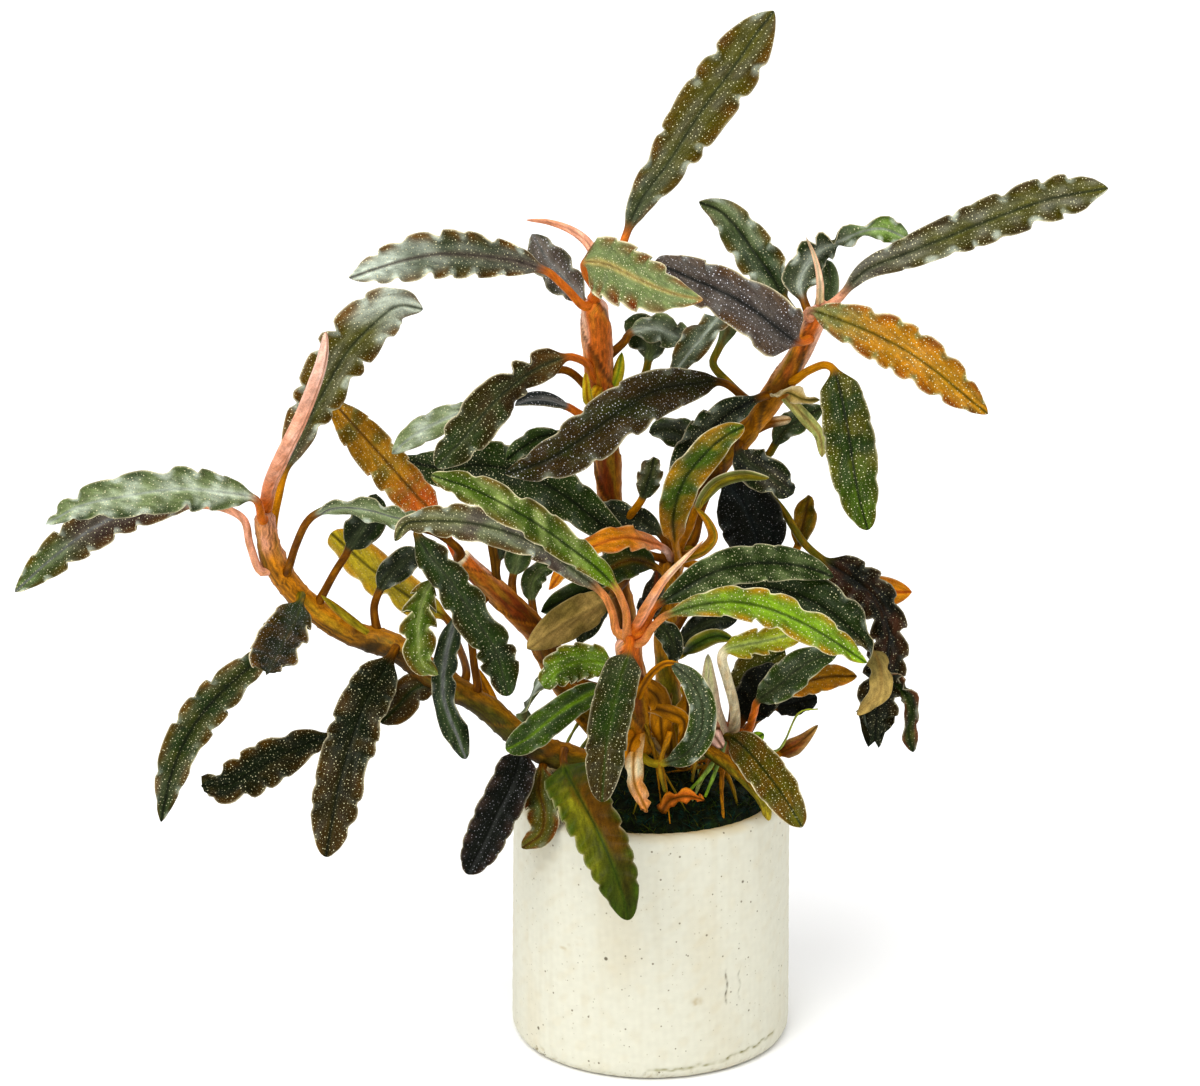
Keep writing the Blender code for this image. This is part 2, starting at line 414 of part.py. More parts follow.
# Small leaves, bracts and stubs are one piece with the stem that they grow on.
SMALL_LEAVES = {
    "left_small_1": Leaf(
        stalk=((-65.8, 82.6), (-63, 90), (-60.6, 93.8)),
        blade=((-60.4, 94.4), (-58.4, 97.4), (-56, 101.6), (-54.8, 105.6)),
        front=(1, 2.5, 4, 4), half=3.8, lobes=2, grows_on="left_rhizome", fused=True),
    "left_small_2": Leaf(
        stalk=((-55.6, 77), (-55.2, 82.8), (-54.4, 85.6)),
        blade=((-54.2, 86), (-52.4, 89.2), (-49.2, 92), (-45.4, 94.6)),
        front=(-1, -1, -2.5, -2.5), half=2.9, lobes=2, notch=0.05, grows_on="left_rhizome", fused=True),
    "left_bract": Leaf(
        stalk=(), blade=((-56, 77.6), (-60.4, 80.8), (-64, 83.8), (-65.8, 85.4)),
        front=(-1, 4, 7), half=0.9, lobes=0, grows_on="left_rhizome", fused=True),
    "left_small_3": Leaf(
        stalk=(), blade=((-43, 69.2), (-47.6, 66.2), (-50.4, 63.2), (-53.8, 59.8)),
        front=(2.5, 5.5, 7, 8.5), half=3.4, lobes=2, girth=(0.4, 1.0, 1.0, 0.8), grows_on="left_rhizome", fused=True),
    "left_side_shoot": Leaf(
        stalk=(), blade=((-31, 63.4), (-33, 67), (-35.2, 71)),
        front=(7, 4, 2.5), half=1.2, lobes=0, girth=(1, 1, 0.8), grows_on="left_rhizome", fused=True),
    "middle_small_1": Leaf(
        stalk=((-6.6, 88.6),),
        blade=((-8.4, 87), (-12, 86.4), (-17, 84.4), (-21.8, 82)),
        front=(-18.5, -12, -10.5, -10.5), half=2.6, lobes=2, notch=0.05, grows_on="top_stem", fused=True),
    "middle_small_2": Leaf(
        stalk=((-28, 83.6), (-27.6, 87.6)),
        blade=((-27.4, 89.2), (-26.4, 93), (-25.4, 96.4)),
        front=(2.5, -2.5, -4), half=2.6, lobes=0, grows_on="cut_stem", fused=True),
    "middle_stalk": Leaf(
        stalk=(), blade=((-29, 84.8), (-31, 92), (-32, 97)),
        front=(4, 4, 5.5), half=0.9, lobes=0, girth=(0.8, 1, 1), grows_on="cut_stem", fused=True),
    "top_young_leaf": Leaf(
        stalk=(), blade=((-10.6, 143.6), (-10.6, 149.2), (-11.2, 153.6), (-12.8, 156.2), (-15.8, 158.4),
                         (-20.4, 160), (-24.8, 160.4)),
        front=(-7, -9, -10.5, -12), half=0.9, lobes=0, girth=(1, 1.1, 1, 0.7, 0.45), grows_on="top_stem", fused=True),
    "top_small_1": Leaf(
        stalk=((-11.4, 141.4),),
        blade=((-13.2, 143.8), (-16.8, 148.2), (-20.2, 152), (-23.6, 157.6)),
        front=(-9, -12, -13.5), half=3.8, lobes=3, grows_on="top_stem", fused=True),
    "top_small_2": Leaf(
        stalk=((-9.6, 120.4), (-14.4, 121.8)),
        blade=((-16.4, 123), (-20.4, 124.4), (-24, 124.4), (-27, 123.4)),
        front=(-13.5, -10.5, -7), half=2.2, roll=(50,), lobes=0, grows_on="top_stem", fused=True),
    "top_small_3": Leaf(
        stalk=((-10, 125), (-17, 130.4), (-25, 127.8), (-30, 124.4)),
        blade=((-32.8, 123.4), (-38, 121.8), (-43.6, 119.4), (-48, 116.8), (-51.6, 113.6)),
        front=(-13.5, -9, -5.5, -2.5, -2.5), half=2.7, lobes=4, grows_on="top_stem", fused=True),
    "top_small_4": Leaf(
        stalk=((-9, 116), (-14.4, 116.8)),
        blade=((-18, 117.6), (-22, 117), (-25.6, 114.8), (-28.8, 112.4)),
        front=(-13.5, -9, -4), half=2.2, lobes=2, grows_on="top_stem", fused=True),
    "top_bract": Leaf(
        stalk=(), blade=((-8.6, 124), (-6.6, 129), (-5.6, 134)),
        front=(-12, -10.5, -12), half=1.2, lobes=0, grows_on="top_stem", fused=True),
    "back_small_1": Leaf(
        stalk=((-8.8, 120), (-3.6, 125.4), (-1, 129.6)),
        blade=((-0.4, 132), (0, 135.4), (-2, 138.4), (-5, 140.2)),
        front=(-13.5, -17, -18.5, -17), half=3.6, lobes=2, grows_on="top_stem", fused=True),
    "back_small_2": Leaf(
        stalk=((-9.4, 131.6), (-5.2, 136)),
        blade=((-4, 137.8), (0.4, 138.8), (5, 137.4), (8.8, 135.4)),
        front=(-9, -12, -15, -17), half=3.2, lobes=3, notch=0.3, ruffle=1.0, grows_on="top_stem", fused=True),
    "middle_small_3": Leaf(
        stalk=((3.6, 93.4),),
        blade=((2.6, 94.8), (-0.2, 96), (-5.6, 96.8), (-11.4, 95), (-16.4, 91.4), (-20.2, 86.4)),
        front=(-4, 2.5, 8.5, 11, 14, 15.5), half=2.8, roll=(30, 30, 0), lobes=4, notch=0.12, grows_on="right_stem", fused=True),
    "middle_small_4": Leaf(
        stalk=((3.6, 94),),
        blade=((2.4, 97.2), (-1, 99.8), (-6.4, 101.4), (-12.4, 102.8)),
        front=(-10.5, -12, -12, -10.5), half=2.9, lobes=3, grows_on="right_stem", fused=True),
    "middle_small_5": Leaf(
        stalk=((5, 92.6), (8, 99)),
        blade=((9.4, 102.8), (13.2, 107.8), (18, 109.4), (23.8, 108.8)),
        front=(-9, 2.5, 5.5, 4), half=2.4, roll=(60,), lobes=0, girth=(0.6, 1, 1, 0.9, 0.5), grows_on="right_stem", fused=True),
    "middle_curl": Leaf(
        stalk=(), blade=((7.6, 94.8), (10.8, 94.6), (12.6, 97.2), (11.2, 100.6), (9.2, 102.8)),
        front=(-9, -1, 2.5, 4), half=1.2, roll=(30,), lobes=0, girth=(1, 1, 0.9, 0.6), grows_on="right_stem", fused=True),
    "right_small_1": Leaf(
        stalk=((19.6, 118), (23.2, 113.2)),
        blade=((24.8, 115.2), (26.8, 118.4), (30.2, 120.8), (34.8, 123)),
        front=(-17, -12, -10.5, -10.5), half=2.6, lobes=2, grows_on="right_stem", fused=True),
    "right_cut_stalk": Leaf(
        stalk=(), blade=((18.8, 118), (23.2, 119.6), (28.2, 120.6)),
        front=(-15, -12, -9), half=1.0, lobes=0, girth=(1.2, 1, 1), grows_on="right_stem", fused=True),
    "right_small_2": Leaf(
        stalk=(),
        blade=((24.4, 125.4), (27.4, 126), (30.6, 124.6), (34, 124.4)),
        front=(-7, 1, 2.5, 2.5), half=1.7, roll=(20, 70, 0), lobes=2, grows_on="right_stem", fused=True),
    "right_small_3": Leaf(
        stalk=((9.6, 105), (12.4, 111.6)),
        blade=((10.4, 114.4), (7.6, 117), (4, 118.4), (-0.2, 118)),
        front=(-23, -21.5, -18.5, -17), half=3.1, lobes=2, grows_on="right_stem", fused=True),
    "right_spike": Leaf(
        stalk=(), blade=((33.6, 142), (33.9, 148.8), (32.8, 153.4), (31.2, 157)),
        front=(2.5, 5.5, 7), half=0.8, lobes=0, girth=(1, 0.9, 0.6, 0.3), grows_on="right_stem", fused=True),
    "right_small_4": Leaf(
        stalk=(), blade=((33, 138.4), (36, 147.6), (35.4, 152.4)),
        front=(-2.5, -9, -12), half=1.9, lobes=0, girth=(0.3, 1, 0.9), grows_on="right_stem", fused=True),
    "right_small_5": Leaf(
        stalk=((4.6, 90), (18, 88.6), (30, 87.4)),
        blade=((37.6, 86), (43.2, 86.2), (48, 86), (52.4, 86)),
        front=(-7, -5.5, -5.5, -7), half=3.1, lobes=0, peak=0.45, grows_on="right_stem", fused=True),
    "right_small_6": Leaf(
        stalk=((4.6, 91.4), (19, 90), (27, 92)),
        blade=((29.4, 94.8), (30.4, 98.8), (31.2, 102), (31.8, 105.4)),
        front=(-10.5, -13.5, -17, -18.5), half=2.4, lobes=2, grows_on="right_stem", fused=True),
    "middle_small_6": Leaf(
        stalk=((3.6, 72), (5.6, 73.2)),
        blade=((6.8, 73.8), (10, 76), (13.4, 77.2), (17, 76.4)),
        front=(-5.5, 7, 11, 12.5), half=1.7, lobes=0, grows_on="right_stem", fused=True),
    "front_small_1": Leaf(
        stalk=((-4, 73), (-8, 67)),
        blade=((-20.2, 69.4), (-22.8, 66.2), (-24.6, 63.2), (-25.6, 59)),
        front=(17, 15.5, 15.5, 17), half=2.2, roll=(0, 90, 120), lobes=2, grows_on="front_crown", fused=True),
    "right_small_7": Leaf(
        stalk=((16.2, 57.6), (16.8, 64)),
        blade=((17, 64.6), (18.8, 67.6), (22, 71), (27, 74.4)),
        front=(4, 2.5, 1, -1), half=4.2, lobes=3, notch=0.1, grows_on="right_crown", fused=True),
    "right_small_8": Leaf(
        stalk=((16.2, 57), (22.8, 61.6)),
        blade=((24.8, 63), (28, 63.6), (30.6, 64.2), (33.4, 65)),
        front=(1, -7, -9, -9), half=2.5, lobes=2, girth=(0.7, 1, 1, 0.7), grows_on="right_crown", fused=True),
    "right_bud": Leaf(
        stalk=((15.8, 56), (22, 52.6)),
        blade=((26, 53.8), (28.6, 55), (30.6, 56.4), (33.6, 59.4)),
        front=(2.5, 5.5, 7, 7), half=1.5, lobes=0, girth=(1, 1.2, 0.7, 0.3), grows_on="right_crown", fused=True),
    "right_spathe": Leaf(
        stalk=(), blade=((14.6, 55), (12.6, 62), (11.8, 68), (11.6, 73.6)),
        front=(5, 8, 8.5, 8), half=1.7, lobes=0, girth=(1, 1.1, 1, 0.5), grows_on="right_crown", fused=True),
    "right_small_9": Leaf(
        stalk=((16, 55),), blade=((18.8, 56), (20.8, 56.6), (22.8, 57.6)),
        front=(7, 11, 12.5), half=1.2, lobes=0, peak=0.6, grows_on="right_crown", fused=True),
}


def seen(right, height, front):
    """The point that the viewer sees at (right, height), standing so far in front of the pot's axis."""
    aim = right * RIGHTWARDS + height * UPWARDS
    share = (-front - EYE[1]) / (aim[1] - EYE[1])
    return EYE + share * (aim - EYE)


def place_in_view(points):
    """Where the viewer sees points: right and height on the view's plane."""
    aim = points - EYE
    share = VIEW_DISTANCE / (aim @ FORWARDS)
    return np.stack([VIEW_CENTRE[0] + share * (aim @ RIGHTWARDS), VIEW_CENTRE[1] + share * (aim @ UPWARDS)], axis=-1)


def spread(values, places):
    """Values given at equal steps, read at places from 0 to 1."""
    return np.interp(places, np.linspace(0, 1, len(values)), values)


def smooth_path(points):
    """A centripetal Catmull-Rom curve through the points, with many small steps."""
    points = np.asarray(points, float)
    ends = np.vstack([2 * points[0] - points[1], points, 2 * points[-1] - points[-2]])
    knots = np.concatenate([[0], np.cumsum(np.linalg.norm(np.diff(ends, axis=0), axis=1) ** 0.5)])
    curve = []
    for i in range(len(ends) - 3):
        a, b, c, d = knots[i : i + 4]
        t = np.linspace(b, c, PATH_STEPS, endpoint=False)[:, None]
        p, q, r, s = ends[i : i + 4]
        pq = ((b - t) * p + (t - a) * q) / (b - a)
        qr = ((c - t) * q + (t - b) * r) / (c - b)
        rs = ((d - t) * r + (t - c) * s) / (d - c)
        pqr = ((c - t) * pq + (t - a) * qr) / (c - a)
        qrs = ((d - t) * qr + (t - b) * rs) / (d - b)
        curve.append(((c - t) * pqr + (t - b) * qrs) / (c - b))
    return np.vstack([*curve, points[-1:]])


def lengths_along(path):
    return np.concatenate([[0], np.cumsum(np.linalg.norm(np.diff(path, axis=0), axis=1))])


def read_at(path, places):
    """Points at given lengths along a path."""
    along = lengths_along(path)
    return np.stack([np.interp(places, along, path[:, k]) for k in range(3)], axis=1)


def placed_route(route, front):
    """A route across the view as points in the model, spaced as it was written."""
    flat = np.asarray(route, float)
    along = np.concatenate([[0], np.cumsum(np.linalg.norm(np.diff(flat, axis=0), axis=1))])
    fronts = spread(front, along / along[-1])
    return np.array([seen(x, z, f) for (x, z), f in zip(flat, fronts)])


def stem_path(stem):
    """The stem's axis and its radius, at even steps."""
    path = smooth_path(placed_route(stem.route, stem.front))
    length = lengths_along(path)[-1]
    places = np.linspace(0, length, max(4, round(length / STEM_PITCH)))
    return read_at(path, places), spread(stem.radius, places / length)


def unit(vectors):
    return vectors / np.linalg.norm(vectors, axis=-1, keepdims=True)


def root_on(stem, start):
    """The point of a stem's axis that the viewer sees nearest to a leaf's start."""
    axis = stem[0]
    steps = np.linspace(0, 1, 8)[:, None, None]
    fine = (axis[None, :-1] * (1 - steps) + axis[None, 1:] * steps).reshape(-1, 3)
    return fine[np.linalg.norm(place_in_view(fine) - place_in_view(start), axis=1).argmin()]


def clear_of_stems(path, reach, stems):
    """How far along the path its root has to start to stay off every stem, looked for within reach."""
    along = lengths_along(path)
    start = 0.0
    for axis, radius in stems.values():
        steps = np.linspace(0, 1, 8)[:, None, None]
        fine = (axis[None, :-1] * (1 - steps) + axis[None, 1:] * steps).reshape(-1, 3)
        fat = (radius[None, :-1] * (1 - steps[..., 0]) + radius[None, 1:] * steps[..., 0]).reshape(-1)
        gap = (np.linalg.norm(path[:, None] - fine[None], axis=2) - fat[None]).min(axis=1)
        near = (gap < STALK_RADIUS + LEAF_GAP) & (along < reach)
        if near.any():
            start = max(start, along[near].max() + along[-1] * 0.01)
    return start


def breadth(leaf, t):
    """The blade's width along it, as a share of its widest."""
    if leaf.girth:
        width = spread(leaf.girth, t)
        return width * (1 - t**10) ** 0.5
    rise = 1 - (1 - np.minimum(t / leaf.peak, 1)) ** 2
    fall = 1 - (np.maximum(t - leaf.peak, 0) / (1 - leaf.peak)) ** 2.6
    return np.maximum(rise, 0) ** 0.8 * np.maximum(fall, 0) ** 0.8


def margin_wave(leaf, t, side):
    """How much a margin draws in between its lobes, and how far it lifts off the blade's plane there."""
    phase = leaf.lobes * t + leaf.phase + (leaf.skew if side < 0 else 0)
    fade = np.clip(t / 0.2, 0, 1) * np.clip((1 - t) / 0.1, 0, 1)
    drawn = leaf.notch * fade * (1 - np.abs(np.sin(math.pi * phase)) ** 0.7)
    return 1 - drawn, leaf.ruffle * fade * np.cos(2 * math.pi * phase)


def leaf_frames(leaf, stems):
    """Points along the leaf with the left and upper directions there, and t, negative along the stalk."""
    route = placed_route((*leaf.stalk, *leaf.blade), leaf.front)
    if leaf.fused:
        axis = stems[leaf.grows_on][0]
        route[0] = axis[np.linalg.norm(axis - route[0], axis=1).argmin()]
    else:
        route = np.vstack([root_on(stems[leaf.grows_on], route[0]), route])
    path = smooth_path(route)
    along = lengths_along(path)
    foot = along[(len(route) - len(leaf.blade)) * PATH_STEPS]
    start = 0.0 if leaf.fused else clear_of_stems(path, max(foot, along[-1] * 0.35), stems)
    foot = max(foot, start)
    if leaf.lobes:
        halves = np.arange(1, 2 * leaf.lobes + 2) / 2
        inner = (halves - leaf.phase) / leaf.lobes
        inner = inner[(inner > 0.04) & (inner < 0.97)]
    else:
        inner = np.linspace(0, 1, 7)[1:-1]
    t_blade = np.concatenate([[0.0], inner, [1.0]])
    stalk_steps = max(1, round((foot - start) / 6)) if foot - start > 0.5 else 0
    t_stalk = np.linspace(-1, 0, stalk_steps + 1)[:-1]
    places = np.concatenate([foot + t_stalk * (foot - start), foot + t_blade * (along[-1] - foot)])
    t = np.concatenate([t_stalk, t_blade])
    points = read_at(path, places)
    ahead = unit(read_at(path, places + 0.4) - read_at(path, places - 0.4))
    to_eye = unit(EYE - points)
    upper = unit(to_eye - (to_eye * ahead).sum(axis=1, keepdims=True) * ahead)
    left = np.cross(upper, ahead)
    roll = np.radians(spread(leaf.roll, np.maximum(t, 0)))[:, None]
    left, upper = np.cos(roll) * left + np.sin(roll) * upper, np.cos(roll) * upper - np.sin(roll) * left
    return points, left, upper, t


def leaf_rings(leaf, stems):
    """The leaf as rings of four points, left margin, upper rib, right margin and lower rib, and its tip."""
    points, left, upper, t = leaf_frames(leaf, stems)
    nearness = ((points[:, 1] - EYE[1]) / (seen(0, 0, 0)[1] - EYE[1]))[:, None]
    blade = np.maximum(t, 0)
    halves = leaf.half if isinstance(leaf.half, tuple) else (leaf.half, leaf.half)
    rib = (BLADE_RIB + (BLADE_RIB_AT_TIP - BLADE_RIB) * blade)[:, None]
    rib = np.where(t[:, None] <= 0, leaf.stalk_radius, np.maximum(rib, 0))
    if not leaf.lobes and min(halves) < 2:
        rib = np.maximum(rib, 0.8 * min(halves) * breadth(leaf, blade)[:, None])
    edges = []
    for side, half in zip((1, -1), halves):
        draw, lift = margin_wave(leaf, blade, side) if leaf.lobes else (1, 0 * blade)
        width = np.maximum(half * breadth(leaf, blade) * draw, leaf.stalk_radius * (1 - blade))[:, None]
        lift = (leaf.fold * width[:, 0] + lift)[:, None] * (t[:, None] > 0)
        edges.append(points + nearness * (side * width * left + lift * upper))
    rings = np.stack([edges[0], points + rib * upper, edges[1], points - rib * upper], axis=1)
    return rings[:-1], points[-1]


def coat(name, colour, roughness):
    """A plain Principled material."""
    material = bpy.data.materials.new(name)
    material.use_nodes = True
    shader = material.node_tree.nodes["Principled BSDF"]
    shader.inputs["Base Color"].default_value = (*colour, 1)
    shader.inputs["Roughness"].default_value = roughness
    material.diffuse_color = (*colour, 1)
    return material


def add_mesh(name, vertices, faces, material, collection):
    """A closed mesh object from points in millimetres, with its faces turned outwards."""
    mesh = bpy.data.meshes.new(name)
    mesh.from_pydata([tuple(v) for v in np.asarray(vertices) * MM], [], faces)
    shape = bmesh.new()
    shape.from_mesh(mesh)
    bmesh.ops.recalc_face_normals(shape, faces=shape.faces)
    bmesh.ops.triangulate(shape, faces=shape.faces)
    shape.to_mesh(mesh)
    shape.free()
    obj = bpy.data.objects.new(name, mesh)
    obj.data.materials.append(material)
    collection.objects.link(obj)
    return obj


def add_leaf(name, leaf, stems, material, collection):
    """A leaf as one loft: stalk, blade with lobed margins, and a pointed tip."""
    rings, tip = leaf_rings(leaf, stems)
    count = len(rings)
    vertices = np.vstack([rings.reshape(-1, 3), tip])
    faces = [(0, 1, 2, 3)]
    for ring in range(count - 1):
        for k in range(4):
            a, b = 4 * ring + k, 4 * ring + (k + 1) % 4
            faces.append((a, b, b + 4, a + 4))
    last = 4 * (count - 1)
    faces += [(last + k, last + (k + 1) % 4, 4 * count) for k in range(4)]
    return add_mesh(name, vertices, faces, material, collection)


def add_stem(name, stem, material, collection):
    """A stem as a tube of changing radius along its route, made a mesh so that leaves can join it."""
    axis, radius = stem_path(stem)
    curve = bpy.data.curves.new(name + "_route", "CURVE")
    curve.dimensions = "3D"
    curve.bevel_depth = MM
    curve.bevel_resolution = 2
    curve.use_fill_caps = True
    spline = curve.splines.new("POLY")
    spline.points.add(len(axis) - 1)
    for point, place, size in zip(spline.points, axis * MM, radius):
        point.co = (*place, 1)
        point.radius = size
    guide = bpy.data.objects.new(name + "_route", curve)
    collection.objects.link(guide)
    mesh = bpy.data.meshes.new_from_object(guide.evaluated_get(bpy.context.evaluated_depsgraph_get()))
    bpy.data.objects.remove(guide)
    bpy.data.curves.remove(curve)
    shape = bmesh.new()
    shape.from_mesh(mesh)
    bmesh.ops.remove_doubles(shape, verts=shape.verts, dist=0.01 * MM)
    bmesh.ops.recalc_face_normals(shape, faces=shape.faces)
    shape.to_mesh(mesh)
    shape.free()
    mesh.name = name
    mesh.materials.clear()
    mesh.materials.append(material)
    obj = bpy.data.objects.new(name, mesh)
    collection.objects.link(obj)
    return obj


def join(obj, others):
    """Unites the others with obj, and hides them."""
    for other in others:
        union = obj.modifiers.new(other.name, "BOOLEAN")
        union.operation = "UNION"
        union.object = other
        other.hide_render = True
        other.display_type = "WIRE"


def add_turned(name, profile, steps, material, collection):
    """A shape turned about Z from a profile of (radius, height), given from its outer side downwards."""
    mesh = bpy.data.meshes.new(name)
    points = [(radius * MM, 0, height * MM) for radius, height in profile]
    mesh.from_pydata(points, [(i, i + 1) for i in range(len(points) - 1)], [])
    mesh.materials.append(material)
    obj = bpy.data.objects.new(name, mesh)
    collection.objects.link(obj)
    screw = obj.modifiers.new("turn", "SCREW")
    screw.steps = screw.render_steps = steps
    screw.use_merge_vertices = True
    screw.merge_threshold = 0.01 * MM
    return obj


def arc(centre, radius, start, end, count):
    """Points of an arc in a profile, angles in degrees from the outward direction."""
    angles = np.radians(np.linspace(start, end, count))
    return [(centre[0] + radius * math.cos(a), centre[1] + radius * math.sin(a)) for a in angles]


def add_pot(material, collection):
    """A straight cup with a rounded foot and a soft rim, hollow down to its floor."""
    rim_edge = POT_WALL / 2 - 0.2
    inner = POT_RIM_RADIUS - POT_WALL
    profile = [
        (0, POT_FLOOR),
        (inner - 1.5, POT_FLOOR),
        (inner, POT_FLOOR + 1.5),
        *arc((inner + rim_edge, POT_HEIGHT - rim_edge), rim_edge, 180, 90, 3),
        *arc((POT_RIM_RADIUS - rim_edge, POT_HEIGHT - rim_edge), rim_edge, 90, 0, 3),
        (POT_FOOT_RADIUS, POT_HEIGHT * 0.3),
        *arc((POT_FOOT_RADIUS - POT_EDGE, POT_EDGE), POT_EDGE, 0, -90, 4),
        (0, 0),
    ]
    return add_turned("pot", profile, 32, material, collection)


def medium_height(radius):
    """The domed top of the growing medium."""
    reach = POT_RIM_RADIUS - POT_WALL - FIT_GAP
    return MEDIUM_EDGE_HEIGHT + MEDIUM_DOME * math.cos(math.pi / 2 * min(radius / reach, 1))


def add_medium(material, collection):
    """The medium fills the pot and domes up between the stems."""
    reach = POT_RIM_RADIUS - POT_WALL - FIT_GAP
    bottom = POT_FLOOR + FIT_GAP
    profile = [(radius, medium_height(radius)) for radius in np.linspace(0, reach, 6)]
    profile += [(reach, bottom + 2), (reach - 2, bottom), (0, bottom)]
    return add_turned("growing_medium", profile, 24, material, collection)


# Leaves with another colour than the common green.
DARK_LEAVES = (
    "left_leaf_6", "left_leaf_8", "left_leaf_9", "lower_left_leaf_1", "lower_left_leaf_3", "top_leaf_4",
    "top_leaf_5", "top_leaf_6", "top_leaf_7", "middle_leaf_4", "low_leaf_1", "right_leaf_1", "right_leaf_5",
    "right_leaf_6",
)
AMBER_LEAVES = ("middle_leaf_1", "right_leaf_4", "right_leaf_8")
YOUNG_LEAVES = ("left_young_leaf", "front_young_leaf")

ROOT = Stem(
    route=((11.4, 54.4), (15.6, 51.6), (19, 48.6), (22.4, 44.6), (23.8, 40.4)),
    front=(11, 15.5, 20, 23, 23),
    radius=(1.3, 1.4, 1.3, 1.2, 0.9),
)


def main():
    for obj in list(bpy.data.objects):
        bpy.data.objects.remove(obj)
    scene = bpy.context.scene
    plant = bpy.data.collections.new("bucephalandra_biblis")
    joined = bpy.data.collections.new("joined_small_leaves")
    scene.collection.children.link(plant)
    scene.collection.children.link(joined)

    ceramic = coat("pot_ceramic", (0.80, 0.77, 0.70), 0.75)
    wool = coat("dark_wool", (0.03, 0.045, 0.03), 0.9)
    stem_skin = coat("stem_skin", (0.62, 0.25, 0.05), 0.5)
    root_skin = coat("root_skin", (0.62, 0.42, 0.06), 0.6)
    green_blade = coat("green_blade", (0.10, 0.15, 0.04), 0.35)
    tinted = {
        coat("dark_blade", (0.035, 0.04, 0.03), 0.35): DARK_LEAVES,
        coat("amber_blade", (0.50, 0.22, 0.03), 0.35): AMBER_LEAVES,
        coat("young_blade", (0.72, 0.42, 0.27), 0.4): YOUNG_LEAVES,
    }

    add_pot(ceramic, plant)
    add_medium(wool, plant)
    add_stem("roots", ROOT, root_skin, plant)
    stems = {name: stem_path(stem) for name, stem in STEMS.items()}
    for name, stem in STEMS.items():
        base = add_stem(name, stem, stem_skin, plant)
        small = {n: leaf for n, leaf in SMALL_LEAVES.items() if leaf.grows_on == name}
        join(base, [add_leaf(n, leaf, stems, green_blade, joined) for n, leaf in small.items()])
    for name, leaf in LEAVES.items():
        skin = next((coating for coating, names in tinted.items() if name in names), green_blade)
        add_leaf(name, leaf, stems, skin, plant)


if __name__ == "__main__":
    main()
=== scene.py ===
"""Looks of a bucephalandra biblis in a small ceramic pot.

The frame is the packed part. Places on the plant are written as a viewer in front of it sees them:
millimetres right of the pot's axis, millimetres above the pot's foot, and millimetres in front of the
axis. The tables of stems and leaves are the part's own, and each leaf gets a curved, ruffled surface.
"""

import math
from typing import NamedTuple

import bpy
import numpy as np
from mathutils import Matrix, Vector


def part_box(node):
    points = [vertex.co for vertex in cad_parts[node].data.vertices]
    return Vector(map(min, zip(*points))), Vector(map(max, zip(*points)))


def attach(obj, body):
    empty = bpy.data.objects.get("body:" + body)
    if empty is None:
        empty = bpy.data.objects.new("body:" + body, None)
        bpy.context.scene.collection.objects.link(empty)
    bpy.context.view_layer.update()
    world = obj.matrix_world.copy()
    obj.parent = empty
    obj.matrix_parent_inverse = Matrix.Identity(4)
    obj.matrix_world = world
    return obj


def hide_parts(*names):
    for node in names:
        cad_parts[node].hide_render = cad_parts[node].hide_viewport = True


bl_info = {
    "name": "Potted bucephalandra biblis",
    "version": (1, 0, 0),
    "blender": (4, 5, 0),
    "location": "3D View > Sidebar > Plant",
    "description": "Dresses the potted bucephalandra with leaves, stems, moss, roots and its ceramic pot",
    "category": "Add Mesh",
}

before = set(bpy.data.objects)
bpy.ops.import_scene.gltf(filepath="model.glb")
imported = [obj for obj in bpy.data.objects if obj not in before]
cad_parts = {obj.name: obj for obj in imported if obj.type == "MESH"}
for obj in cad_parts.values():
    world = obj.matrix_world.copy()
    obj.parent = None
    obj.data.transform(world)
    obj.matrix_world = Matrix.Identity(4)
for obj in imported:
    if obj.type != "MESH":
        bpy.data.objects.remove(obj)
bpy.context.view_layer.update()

MM = 0.001
BODY = "root"
FULL_TURN = 2 * math.pi

# The photograph's view: its middle is given on the plane that faces the viewer through the pot's foot.
IMAGE_WIDTH = 1200
MM_PER_PIXEL = 0.2
VIEW_PITCH = math.radians(15)
VIEW_DISTANCE = 573.0
VIEW_CENTRE = (-10.0, 95.8)
SENSOR_WIDTH = 36.0
RIGHTWARDS = np.array([1.0, 0.0, 0.0])
FORWARDS = np.array([0.0, math.cos(VIEW_PITCH), -math.sin(VIEW_PITCH)])
UPWARDS = np.array([0.0, math.sin(VIEW_PITCH), math.cos(VIEW_PITCH)])
EYE = VIEW_CENTRE[0] * RIGHTWARDS + VIEW_CENTRE[1] * UPWARDS - VIEW_DISTANCE * FORWARDS

POT_WALL = 3.6
POT_FLOOR = 4.0
RIM_RADIUS = 26.9
MEDIUM_REACH = RIM_RADIUS - POT_WALL
MEDIUM_EDGE_HEIGHT = 47.5
MEDIUM_DOME = 6.0
FIT_GAP = 0.35

STALK_RADIUS = 0.75
LEAF_GAP = 0.35
PATH_STEPS = 12
STEM_PITCH = 4.5
BLADE_STEP = 0.62
COARSER = 1.25
FEWEST_ROWS = 18
CLOSER_TO_TIP = 1.12
LAST_ROW = 0.9985
STALK_STEP = 0.9
BARK_STEP = 0.45

# Where the lobes set in and where they end before the tip, as shares of the blade, how far they slant
# forwards against the blade's width, how many fine crinkles each has, and the powers of the distance from
# the midrib with which the fold, the wave and the crinkle grow.
LOBES_SET_IN = 0.38
LOBES_END = 0.06
SLANT = 0.4
CRINKLES = 2.7
FOLD_POWER = 1.3
WAVE_POWER = 1.7
CRINKLE_POWER = 3

